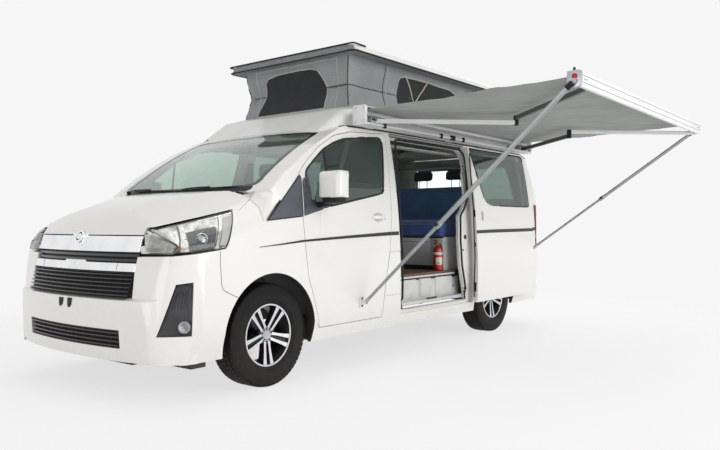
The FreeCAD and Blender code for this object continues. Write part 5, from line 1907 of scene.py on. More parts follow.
    def bars(self) -> Piece:
        """Bright bars: a faceted lower one, and an upper one with a bare badge place.

        Returns:
            Both bars.
        """
        chrome, dark = Palette.CHROME, Palette.BLACK
        lower = merged_copy("bright_bars", "bars", chrome)
        bevelled(lower, 0.003, 3, 40)
        pieces = [lower]
        outline = [(-0.094, 1.050), (0.094, 1.050), (0.042, 0.968), (-0.042, 0.968)]
        skin = self.face_skin()
        face = [skin.front(y, z)[0] + Vector((0.006, 0, 0)) for y, z in rounded(outline, 0.012)]
        pieces.append(plate("badge_place", face, Vector((-0.02, 0, 0)), chrome, 0.0015))
        middle = at(0, 0, 1.03) + Vector((skin.front(0, 1.03)[0].x - SHIFT.x + 0.003, 0, 0))
        badge_way = Vector(self.badge_way)
        pieces.append(lathed("badge_boss", middle, badge_way,
                             [(0.0, 0.048), (0.006, 0.047), (0.0085, 0.042), (0.0092, 0.036),
                              (0.0085, 0.031), (0.0005, 0.0295), (0.0, 0.0)], chrome, 48))
        pieces.append(lathed("badge_well", middle, badge_way,
                             [(0.0006, 0.0), (0.0006, 0.0294), (0.004, 0.0292), (0.004, 0.0)],
                             Palette.ALLOY_DARK, 40))
        pieces.append(lathed("badge_disc", middle, badge_way,
                             [(0.003, 0.023), (0.0085, 0.0215), (0.0100, 0.015),
                              (0.0104, 0.0)], chrome, 40))
        face = [skin.front(y, z)[0] + Vector((0.004, 0, 0)) for y, z in rounded(
            [(-0.050, 0.868), (0.050, 0.868), (0.046, 0.824), (-0.046, 0.824)], 0.005)]
        pieces.append(plate("camera_block", face, Vector((-0.02, 0, 0)), chrome, 0.001))
        for side in (LEFT, RIGHT):
            seam = [skin.front(side * 0.452, z)[0] + Vector((0.0002, 0, 0))
                    for z in (0.822, 0.845, 0.866)]
            pieces.append(tube("seam", seam, 0.0012, dark))
        return joined("shaped_bright_bars", pieces)

    def clips(self) -> Piece:
        """Two black clips where a plate would hang, each with its slot.

        Returns:
            Both clips.
        """
        black = Palette.BLACK
        pieces = []
        for y, tall in ((0.052, 0.052), (-0.052, 0.046)):
            x = self.face_skin().front(y + 0.012, self.plate_z)[0].x - SHIFT.x
            low, high = self.plate_z - tall / 2, self.plate_z + tall / 2
            pieces.append(block("clip", (x - 0.002, y - 0.024, low),
                                (x + 0.006, y + 0.024, high), black, 0.003))
            pieces.append(block("tab", (x + 0.004, y - 0.012, low - 0.010),
                                (x + 0.010, y + 0.012, low + 0.014), black, 0.002))
        return joined("plate_clips", pieces)

    def valance(self) -> Piece:
        """Strip that closes the bumper's foot under the fog lamps, and the dark under-tray.

        Returns:
            The strip and the tray.
        """
        skin = Skin(["front_bumper"])
        pieces = []
        for side in (LEFT, RIGHT):
            edge = [skin.side(0.845 - 0.02 * k, 0.325, side)[0] for k in range(12)]
            hub = at(0.30, 0, 0.325)
            rows = []
            for z in (0.325, 0.290, 0.2575):
                row = []
                for p in edge:
                    inward = Vector((hub.x - p.x, hub.y - p.y, 0)).normalized()
                    q = p + inward * (0.005 + 0.10 * max(0.0, 0.325 - z) ** 1.5)
                    row.append(Vector((q.x, q.y, at(0, 0, z).z)))
                rows.append(row)
            if side == RIGHT:
                rows = [row[::-1] for row in rows]
            pieces.append(slab("valance", rows, 0.004, Palette.ENAMEL, 60))
        black = Palette.BLACK
        pieces.append(block("under_tray", (0.52, -0.52, 0.222), (0.80, 0.52, 0.246), black,
                            0.008))
        for side in (LEFT, RIGHT):
            pieces.append(block("air_flap", (0.500, side * 0.34, 0.210),
                                (0.620, side * 0.875, 0.244), black, 0.006))
        return joined("bumper_valance", pieces)

    def seams(self) -> Piece:
        """Joints between the bumper's corners and the wings.

        Returns:
            Both joints.
        """
        skin = Skin(["front_bumper", "front_wings"])
        shadow = Palette.SHADOW
        pieces = []
        for side in (LEFT, RIGHT):
            cast = skin.flank(side)
            pieces.append(drawn_line(cast, self.joint, "joint", 0.0045, 0.0012, shadow))
        return joined("bumper_joints", pieces)

    def build(self) -> None:
        """Make everything on the nose."""
        finish(self.valance(), Body.VAN)
        finish(self.seams(), Body.VAN)
        covers = []
        for side in (LEFT, RIGHT):
            cover, inside = self.headlamp_at(side)
            panel, glass = self.fog_panel(side)
            covers += [cover, glass]
            for piece in (inside, panel):
                finish(piece, Body.VAN)
        finish(joined("lamp_covers", covers), Body.VAN, ("front_lamps",))
        finish(self.grilles(), Body.VAN, ("grilles",))
        finish(self.bars(), Body.VAN, ("bright_bars",))
        finish(self.clips(), Body.VAN)


# ---- Windscreen and pillars --------------------------------------------------------------
def smooth_row(points: Sequence[Vector], steps: int) -> list[Vector]:
    """Smooth curve through points, with the same number of steps between each pair.

    Args:
        points: points that it passes through.
        steps: steps between two of them.

    Returns:
        The curve's points.
    """
    result = []
    ends = [points[0] * 2 - points[1], *points, points[-1] * 2 - points[-2]]
    for a, b, c, d in zip(ends, ends[1:], ends[2:], ends[3:]):
        for k in range(steps):
            t = k / steps
            result.append(0.5 * (2 * b + (c - a) * t + (2 * a - 5 * b + 4 * c - d) * t * t
                                 + (3 * b - a - 3 * c + d) * t ** 3))
    return result + [points[-1]]


@dataclass
class Screen:
    """Windscreen border, wipers, pillar feet, inside mirror and aerial."""

    border: float = 0.038
    centre_z: float = 1.60
    foot_passes: int = 6
    foot_low: tuple[Point, ...] = ((0.052, 0.958, 1.135), (0.050, 0.936, 1.172),
                                   (0.036, 0.903, 1.222), (0.040, 0.862, 1.256),
                                   (0.046, 0.800, 1.296))
    foot_high: tuple[Point, ...] = ((-0.312, 0.937, 1.462), (-0.240, 0.940, 1.480),
                                    (-0.172, 0.931, 1.497), (-0.150, 0.868, 1.492),
                                    (-0.150, 0.792, 1.483))

    def outline(self) -> list[Flat]:
        """Edge of the screen's glass in Y and Z, moved in by half the border.

        Returns:
            The outline.
        """
        skin = Skin(["windscreen"])

        def hit(y: float, z: float) -> bool:
            """Whether the glass is there."""
            return skin.tree.ray_cast(at(1.3, y, z), BACK, 2.5)[0] is not None

        half = self.border / 2
        edge = []
        for k in range(96):
            angle = 2 * math.pi * k / 96
            way = (math.cos(angle), 0.36 * math.sin(angle))
            reach = 0.05
            while hit(way[0] * reach, self.centre_z + way[1] * reach) and reach < 1.2:
                reach += 0.004
            length = math.hypot(*way)
            reach -= half / length + 0.004
            edge.append((way[0] * reach, self.centre_z + way[1] * reach))
        return edge

    def border_and_wipers(self) -> Piece:
        """Black printed border, seal and two wipers.

        Returns:
            All of them in one piece.
        """
        skin = Skin(["windscreen"])
        black, gloss = Palette.RUBBER, Palette.PIANO
        cast = skin.front
        pieces = [drawn_line(cast, self.outline(), "border", self.border, 0.0012, gloss, True,
                             0.04)]
        header = [(0.60 * k / 12, 1.862 - 0.02 * abs(k / 12) ** 2)
                  for k in range(-12, 13)]
        pieces.append(drawn_line(cast, header, "header", 0.030, 0.002, black, step=0.04))
        for ys in ((-0.64, -0.05), (0.08, 0.66)):
            blade = [cast(ys[0] + (ys[1] - ys[0]) * t, self.base_z(ys[0] + (ys[1] - ys[0]) * t)
                          + 0.004 + 0.005 * math.sin(math.pi * t), 0.007)[0]
                     for t in evenly(20)]
            pieces.append(tube("blade", blade, [0.002 + 0.004 * math.sin(math.pi * t) ** 0.5
                                                for t in evenly(20)], black,
                               sides=8))
            pivot = cast(ys[0] - 0.02, self.base_z(ys[0]) + 0.004, 0.012)[0]
            pivot += Vector((0.035, 0, -0.018))
            middle = blade[10] + Vector((0.006, 0, 0.010))
            rise = pivot.lerp(middle, 0.35) + Vector((0.010, 0, 0.012))
            arm = smooth_row([pivot, rise, middle], 8)
            pieces.append(tube("arm", arm, 0.005, black, sides=8))
            pieces.append(lathed("pivot", pivot, Vector((0.5, 0, 0.85)),
                                 [(-0.02, 0.014), (0.008, 0.013), (0.014, 0.008),
                                  (0.015, 0.0)], black, 20))
        return joined("screen_border_and_wipers", pieces)

    def base_z(self, y: float) -> float:
        """Height of the glass's lower edge at Y."""
        return 1.358 + 0.03 * (abs(y) / 0.76) ** 4

    def feet(self) -> Piece:
        """Smooth panels that carry the pillars down into the wings.

        Returns:
            Both panels.
        """
        skin = Skin(["front_wings", "body_side_left", "body_side_right", "roof_panel"])
        pieces = []
        for side in (LEFT, RIGHT):
            way = Vector((0.62, side * 0.62, 0.48)).normalized()

            def laid(point: Vector, shift: Point) -> Vector:
                """Point of the skin nearest to a shifted one, lifted a little."""
                near, normal, _, _ = skin.tree.find_nearest(point + Vector(shift))
                return near + (normal if normal.dot(way) > 0 else -normal) * 0.0008

            def above(point: Vector, way: Vector = way) -> Vector:
                """The point, moved out of the skin where it lies under it."""
                hit = skin.tree.ray_cast(point + way * 0.10, -way, 0.10)[0]
                return point if hit is None else hit + way * 0.0015

            low = [laid(p, (0.020, 0, -0.004)) for p in smooth_row(
                [at(x, side * y, z) for x, y, z in self.foot_low], 5)]
            high = [laid(p, (-0.012, 0, 0.012)) for p in smooth_row(
                [at(x, side * y, z) for x, y, z in self.foot_high], 5)]
            rows = [[a.lerp(b, i / 24) + way * 0.010 * math.sin(math.pi * i / 24)
                     for a, b in zip(low, high)] for i in range(25)]
            for _ in range(self.foot_passes):
                for i in range(1, 24):
                    rows[i] = [above(p) for p in rows[i]]
                    for k in range(1, len(low) - 1):
                        rows[i][k] = (rows[i - 1][k] + rows[i + 1][k] + rows[i][k - 1]
                                      + rows[i][k + 1]) / 4
            if side == RIGHT:
                rows.reverse()
            pieces.append(slab("foot", rows, 0.004, Palette.ENAMEL, 60))
        return joined("pillar_feet", pieces)

    def aerial(self) -> Piece:
        """Short rod aerial on the front of the roof.

        Returns:
            The aerial.
        """
        foot, normal = Skin(["roof_panel"]).top(-0.79, -0.68)
        black = Palette.BLACK
        way = Vector((-0.87, 0.0, 0.49))
        base = lathed("base", foot, normal, [(-0.004, 0.024), (0.004, 0.023), (0.014, 0.012),
                                             (0.020, 0.007), (0.021, 0.0)], black, 24)
        rod = [foot + normal * 0.014 + way * 0.17 * k / 12 for k in range(13)]
        mast = tube("mast", rod, [0.0045 - 0.002 * k / 12 for k in range(13)], black, sides=10)
        return joined("roof_aerial", [base, mast])

    def inside_mirror(self) -> Piece:
        """Mirror behind the screen, on its stalk.

        Returns:
            The mirror.
        """
        black = Palette.BLACK
        outline = rounded([(-0.12, -0.032), (0.12, -0.032), (0.11, 0.034), (-0.11, 0.034)],
                          0.022)
        face = [at(-0.615, y, 1.725 + z) for y, z in outline]
        case = plate("case", face, Vector((0.030, 0, 0.004)), black, 0.005)
        glass = plate("glass", [p + Vector((-0.0012, 0, 0)) for p in face],
                      Vector((0.002, 0, 0)), Palette.CHROME)
        stalk = tube("stalk", [at(-0.59, 0, 1.735), at(-0.60, 0, 1.77), at(-0.628, 0, 1.792)],
                     0.009, black)
        return joined("inside_mirror", [case, glass, stalk])

    def build(self) -> None:
        """Make the screen's fittings."""
        finish(self.border_and_wipers(), Body.VAN)
        finish(self.feet(), Body.VAN)
        finish(self.aerial(), Body.VAN)
        finish(self.inside_mirror(), Body.VAN)


# ---- Flanks ------------------------------------------------------------------------------
@dataclass
class Flanks:
    """Stripe, dark trims, seals, rails, handles and the open doorway's fittings.

    Attributes:
        door_shift: travel of the open sliding door along X.
        sail_plane: Y and Z of a point on the sail panel's plane.
        belt_z: height above which the flank leans in.
        edge_y: Y of the latches on the sliding door's front edge.
        arch_reach: radius at which an arch's width is measured.
        lip_reach: radius of an arch's lip.
        stripe: X, middle height and width of the tape, from front to rear.
        sail: outline of the panel before the front door's glass.
        door_sail: outline of the dark corner of the front door.
        window: outline of the front door's glass.
        opening: outline of the side doorway.
        slide_window: outline of the sliding door's glass, with the door closed.
        leading: front edge of the closed sliding door.
    """

    door_shift: float = -1.175
    sail_plane: Flat = (0.9625, 1.155)
    belt_z: float = 1.25
    edge_y: float = 1.022
    arch_reach: float = 0.447
    lip_reach: float = 0.4245
    stripe: tuple[tuple[float, float, float], ...] = (
        (0.13, 0.958, 0.003), (-0.10, 0.975, 0.010), (-0.30, 0.992, 0.015),
        (-0.80, 1.013, 0.021), (-1.37, 1.033, 0.030), (-1.80, 1.040, 0.033),
        (-2.74, 1.048, 0.034), (-4.14, 1.056, 0.034))
    sail: tuple[Flat, ...] = (
        (0.047, 1.137), (-0.304, 1.168), (-0.304, 1.452), (-0.292, 1.462))
    door_sail: tuple[Flat, ...] = (
        (-0.318, 1.170), (-0.545, 1.226), (-0.545, 1.250), (-0.412, 1.262),
        (-0.384, 1.470), (-0.318, 1.430))
    window: tuple[Flat, ...] = (
        (-0.325, 1.190), (-0.535, 1.232), (-0.865, 1.292), (-1.205, 1.352), (-1.262, 1.375),
        (-1.290, 1.425), (-1.322, 1.600), (-1.350, 1.770), (-1.338, 1.812), (-1.300, 1.826),
        (-1.078, 1.808), (-0.843, 1.776), (-0.725, 1.735), (-0.590, 1.672), (-0.475, 1.586),
        (-0.372, 1.500))
    opening: tuple[Flat, ...] = (
        (-1.530, 0.385), (-2.600, 0.385), (-2.580, 0.470), (-2.500, 0.720), (-2.480, 0.960),
        (-2.495, 1.190), (-2.570, 1.250), (-2.645, 1.350), (-2.662, 1.500), (-2.658, 1.700),
        (-2.640, 1.785), (-2.570, 1.830), (-2.300, 1.832), (-1.500, 1.830), (-1.495, 1.300),
        (-1.516, 0.780), (-1.516, 0.470))
    slide_window: tuple[Flat, ...] = (
        (-1.580, 1.590), (-1.618, 1.498), (-1.674, 1.367), (-1.705, 1.335), (-1.740, 1.313),
        (-1.790, 1.300), (-1.860, 1.296), (-1.960, 1.296), (-2.640, 1.296),
        (-2.680, 1.306), (-2.688, 1.340), (-2.668, 1.810), (-2.655, 1.842),
        (-2.620, 1.850), (-1.545, 1.850), (-1.518, 1.840), (-1.515, 1.815))
    leading: tuple[Flat, ...] = (
        (-1.508, 0.345), (-1.496, 0.470), (-1.496, 0.780), (-1.480, 1.050), (-1.473, 1.400),
        (-1.478, 1.866))

    def stripe_part(self, cast: Cast, start: float, end: float, shift: float = 0.0) -> Piece:
        """Tape on one panel, between two places along the van.

        Args:
            cast: finds the panel's skin.
            start: X of its front end, in the closed panel's place.
            end: X of its rear end.
            shift: how far the panel stands along X from its closed place.

        Returns:
            The tape.
        """
        def height(x: float) -> Flat:
            """Middle height and width of the tape.

            Args:
                x: place along the van.

            Returns:
                Both, in metres.
            """
            for (x0, z0, h0), (x1, z1, h1) in zip(self.stripe, self.stripe[1:]):
                if x >= x1:
                    share = (x0 - x) / (x0 - x1)
                    return z0 + (z1 - z0) * share, h0 + (h1 - h0) * share
            return self.stripe[-1][1:]

        count = max(4, int(abs(end - start) / 0.03))
        rows: list[list[Vector]] = [[], []]
        for k in range(count + 1):
            x = start + (end - start) * k / count
            z, tall = height(x)
            held = max(min(x, start - 0.010), end + 0.010)
            for row, way in zip(rows, (0.5, -0.5)):
                point = cast(held + shift, z + way * tall, 0.0016)[0]
                row.append(point + Vector((x - held, 0, 0)))
        if rows[0][0].y < SHIFT.y:
            rows.reverse()
        return slab("stripe", rows, 0.0022, Palette.TAPE)

    def on_body(self, side: int) -> list[Piece]:
        """Trims of one flank that stay with the body.

        Args:
            side: which flank it is.

        Returns:
            The trims.
        """
        body = "body_side_left" if side == LEFT else "body_side_right"
        skin = Skin([body, "front_wings", "roof_panel"])
        rubber, black = Palette.RUBBER, Palette.BLACK
        cast = skin.flank(side)
        pieces = [self.stripe_part(cast, 0.13, -0.3095),
                  self.stripe_part(cast, -1.3655, -1.500 if side == LEFT else -4.14)]
        if side == LEFT:
            pieces.append(self.stripe_part(cast, -2.748, -4.14))

        def flat(x: float, z: float, lift: float = 0.0) -> tuple[Vector, Vector]:
            """Place on the sail panel's plane.

            Args:
                x: place along the van.
                z: height.
                lift: distance of the point out of the surface.

            Returns:
                The point and the outward normal.
            """
            normal = Vector((0, side, SIDE_LEAN)).normalized()
            reach = self.sail_plane[0] - (z - self.sail_plane[1]) * SIDE_LEAN
            return at(x, side * reach, z) + normal * lift, normal

        pieces.append(filled(flat, self.sail, "sail", 0.003, 0.012, Palette.SAIL_GREY,
                             5))
        pieces.append(drawn_line(flat, self.sail, "sail_edge", 0.008, 0.005, black, True))
        gutter = [(-0.86, 1.884), (-1.0, 1.893), (-1.4, 1.902), (-4.10, 1.902)]
        pieces.append(drawn_line(cast, gutter, "gutter", 0.019, 0.006, rubber, step=0.05))
        rear = [(-2.760, 1.30), (-3.90, 1.30), (-3.955, 1.34), (-3.885, 1.80), (-2.745, 1.80)]
        pieces.append(drawn_line(cast, rounded(rear, 0.03), "quarter_seal", 0.010, 0.003,
                                 rubber, True))
        if side == RIGHT:
            middle = [(-1.50, 1.30), (-2.57, 1.30), (-2.60, 1.33), (-2.56, 1.80),
                      (-1.52, 1.80)]
            pieces.append(drawn_line(cast, rounded(middle, 0.02), "middle_seal", 0.010, 0.003,
                                     rubber, True))
        else:
            for z, wide in ((1.879, 0.006), (1.860, 0.005)):
                pieces.append(drawn_line(cast, [(-1.49, z), (-2.735, z)], "upper_rail", wide,
                                         0.005, rubber, step=0.05))
            pieces.append(drawn_line(cast, [(-1.49, 1.8695), (-2.735, 1.8695)], "rail_groove",
                                     0.010, 0.002, Palette.SILVER, step=0.05))

            def held(x: float, z: float, lift: float = 0.0) -> tuple[Vector, Vector]:
                """Place on the flank carried forward over the doorway.

                Args:
                    x: place along the van.
                    z: height.
                    lift: distance of the point out of the surface.

                Returns:
                    The point and the outward normal.
                """
                point, normal = skin.side(-2.80, min(z, self.belt_z), side)
                reach = point.y - SHIFT.y
                if z > self.belt_z:
                    reach -= (z - self.belt_z) * SIDE_LEAN
                    normal = Vector((0, 1, SIDE_LEAN)).normalized()
                return at(x, reach, z) + normal * lift, normal

            pieces.append(drawn_line(held, rounded(self.opening, 0.02), "door_seal", 0.018,
                                     0.009, rubber, True, sink=0.004))
            for x, z, radius in ((-2.615, 0.985, 0.022), (-2.572, 0.86, 0.010),
                                 (-2.60, 1.70, 0.007), (-2.66, 1.62, 0.006)):
                point, normal = cast(x, z)
                pieces.append(lathed("plug", point, normal,
                                     [(-0.003, radius), (0.002, radius), (0.004, radius * 0.8),
                                      (0.003, radius * 0.5), (0.004, 0.0)], black, 24))
            for z in (0.455, 0.49):
                point, normal = cast(-2.60, z)
                pieces.append(lathed("stop", point, normal, [(-0.003, 0.012), (0.012, 0.011),
                                                            (0.014, 0.006), (0.014, 0.0)],
                                     black, 16))
        return pieces

    def on_doors(self, side: int) -> Piece:
        """Seals, stripe, handle and dark corner of one front door.

        Args:
            side: which flank the door is in.

        Returns:
            The door's trims.
        """
        word = WORD[side]
        skin = Skin(["front_door_" + word])
        glass = Skin(["front_door_" + word, "front_door_glass_" + word])
        rubber, black = Palette.RUBBER, Palette.BLACK
        cast = skin.flank(side)
        over = glass.flank(side)
        pieces = [self.stripe_part(cast, -0.3145, -1.3600)]
        grown = [(x + (0.004 if x > -0.8 else -0.004), z) for x, z in self.window]
        pieces.append(drawn_line(cast, grown, "seal", 0.015, 0.0035, rubber, True, 0.03, 0.006))
        pieces.append(drawn_line(over, [(-0.592, 1.245), (-0.592, 1.668)], "divider", 0.020,
                                 0.004, black))
        pieces.append(filled(over, self.door_sail, "sail", 0.0045, 0.006,
                             Palette.SAIL_GREY, 5))
        paint = Palette.ENAMEL
        bar = [cast(-1.105 - 0.175 * t, 1.165, -0.004 + 0.034 * math.sin(math.pi * t) ** 0.5)[0]
               for t in evenly(14)]
        normal = cast(-1.19, 1.165)[1]
        pieces.append(swept("handle", bar, normal,
                            [(-0.013, -0.004), (-0.014, 0.002), (-0.009, 0.006),
                             (0.009, 0.006), (0.014, 0.002), (0.013, -0.004)], paint))
        cup = [(-1.19 + 0.062 * math.cos(a), 1.165 + 0.034 * math.sin(a))
               for a in (k * math.pi / 12 for k in range(24))]
        # Painted shade: a dark line round the handle's cup and darker enamel in it stand for the
        # shade in the recess
        pieces.append(drawn_line(cast, cup, "cup", 0.003, 0.0012, Palette.SHADOW, True))
        pieces.append(filled(cast, cup, "cup_floor", 0.0006, 0.002, Palette.CUP_SHADE, 3))
        point, normal = cast(-1.292, 1.152)
        pieces.append(lathed("lock", point, normal, [(-0.002, 0.010), (0.002, 0.0095),
                                                     (0.0024, 0.006), (0.0018, 0.0)],
                             Palette.CHROME, 20))
        return joined("door_trim_" + word, pieces)

    def on_slide(self) -> Piece:
        """Stripe, glass frame, handle, edge strip and latch of the sliding door.

        Returns:
            The door's trims.
        """
        dx = self.door_shift
        skin = Skin(["sliding_door"])
        rubber, black = Palette.RUBBER, Palette.BLACK
        cast, edge = skin.flank(LEFT), skin.along(-2.45, BACK)

        def front_edge(y: float, z: float, lift: float = 0.0) -> tuple[Vector, Vector]:
            """Place on the sliding door's front edge.

            Args:
                y: distance from the middle, to the left.
                z: height.
                lift: distance of the point out of the surface.

            Returns:
                The point and the outward normal.
            """
            for (x0, z0), (x1, z1) in zip(self.leading, self.leading[1:]):
                if z <= z1:
                    break
            x = x0 + (x1 - x0) * (z - z0) / (z1 - z0) + dx
            return at(x + 0.001 + lift, y, z), AHEAD

        pieces = [self.stripe_part(cast, -1.484, -2.736, dx)]
        frame = [(x + dx, z) for x, z in self.slide_window]
        pieces.append(drawn_line(cast, frame, "seal", 0.012, 0.0028, rubber, True, 0.03, 0.005))
        belly = [(-1.698, 1.331), (-1.740, 1.309), (-1.790, 1.296), (-1.860, 1.292),
                 (-1.985, 1.292), (-1.985, 1.284), (-1.917, 1.268), (-1.872, 1.263),
                 (-1.827, 1.266), (-1.783, 1.277), (-1.742, 1.296), (-1.694, 1.327)]

        def flush(x: float, z: float, lift: float = 0.0) -> tuple[Vector, Vector]:
            """Place on the glass plane, level with the skin under it.

            Args:
                x: place along the van.
                z: height.
                lift: distance of the point out of the surface.

            Returns:
                The point and the outward normal.
            """
            point, normal = cast(x, self.belt_z)
            reach = point.y - SHIFT.y - max(z - self.belt_z, 0.0) * SIDE_LEAN
            return at(x, reach, z) + normal * lift, normal

        pieces.append(filled(flush, [(x + dx, z) for x, z in belly], "glass_corner", 0.0006,
                             0.012, Palette.ENAMEL, 3))
        recess = oblong((-2.775, 1.145), (-2.797, 1.235), 0.010)
        # Painted shade: darker enamel in the handle's recess and a dark line round it stand for
        # its shade
        pieces.append(filled(cast, recess, "cup", 0.0008, 0.002, Palette.CUP_SHADE, 2))
        pieces.append(drawn_line(cast, recess, "cup_edge", 0.003, 0.0015,
                                 Palette.SHADOW, True, 0.01))
        grip = [cast(-2.786, 1.150 + 0.080 * t, 0.004 + 0.016 * math.sin(math.pi * t) ** 0.5)[0]
                for t in evenly(10)]
        pieces.append(tube("grip", grip, 0.006, Palette.ENAMEL, sides=12))
        pieces.append(drawn_line(front_edge, [(1.010, 0.40), (1.022, 0.80), (1.018, 1.25),
                                              (0.972, 1.80)], "edge_seal", 0.010, 0.006,
                                 rubber))
        for z, tall in ((1.215, 0.07), (0.915, 0.05), (0.50, 0.09), (1.60, 0.05)):
            point = edge(self.edge_y, z)[0]
            corners = [point + AHEAD * 0.001 + Vector((0, u, v))
                       for u, v in oblong((-0.011, -tall / 2), (0.011, tall / 2), 0.004)]
            pieces.append(plate("latch", corners, Vector((-0.006, 0, 0)), black, 0.001))
        hole = edge(self.edge_y, 0.86)[0]
        screw = lathed("screw", hole, AHEAD,
                       [(-0.002, 0.005), (0.001, 0.005), (0.0022, 0.0035), (0.001, 0.0)],
                       Palette.IRON, 12)
        pieces.append(copies("screws", screw, 4, step=(0, 0, -0.028)))
        return joined("sliding_door_trim", pieces)

    def build(self) -> None:
        """Make the trims of both flanks."""
        for side in (LEFT, RIGHT):
            word = WORD[side]
            finish(joined("flank_trim_" + word, self.on_body(side)), Body.VAN)
            finish(self.on_doors(side), "door_" + word)
        finish(self.on_slide(), Body.VAN)
        finish(self.arches(), Body.VAN)

    def arches(self) -> Piece:
        """Dark lips just inside the wheel openings.

        Returns:
            All four lips and the mud flaps.
        """
        black = Palette.BLACK
        pieces = []
        for side in (LEFT, RIGHT):
            for x, nodes in ((0.0, ["front_wings", "front_bumper", "front_door_left",
                                    "front_door_right"]),
                             (-WHEELBASE, ["body_side_left", "body_side_right"])):
                skin = Skin(nodes)
                path = []
                for k in range(33):
                    angle = math.radians(-8 + 196 * k / 32)
                    px = x + self.arch_reach * math.cos(angle)
                    pz = TYRE_RADIUS + self.arch_reach * math.sin(angle)
                    hit, _ = skin.side(px, max(pz, 0.30), side)
                    width = min(abs(hit.y - SHIFT.y), 0.972)
                    path.append(at(x + self.lip_reach * math.cos(angle),
                                   side * (width - 0.031),
                                   TYRE_RADIUS + self.lip_reach * math.sin(angle)))
                centre = at(x, side * 0.9, TYRE_RADIUS)

                def outward(i: int, path: Path = path, centre: Vector = centre) -> Vector:
                    """Direction from a point of the lip to the wheel's axis."""
                    way = path[i] - centre
                    return Vector((-way.x, 0, -way.z)).normalized()

                pieces.append(swept("lip", path, outward,
                                    [(-0.026, -0.003), (-0.026, 0.002), (0.0, 0.003),
                                     (0.026, 0.002), (0.026, -0.003)], black))
            pieces.append(block("mud_flap", (-0.432, min(side * 0.60, side * 0.915), 0.262),
                                (-0.424, max(side * 0.60, side * 0.915), 0.46), black, 0.003))
        return joined("arch_lips", pieces)


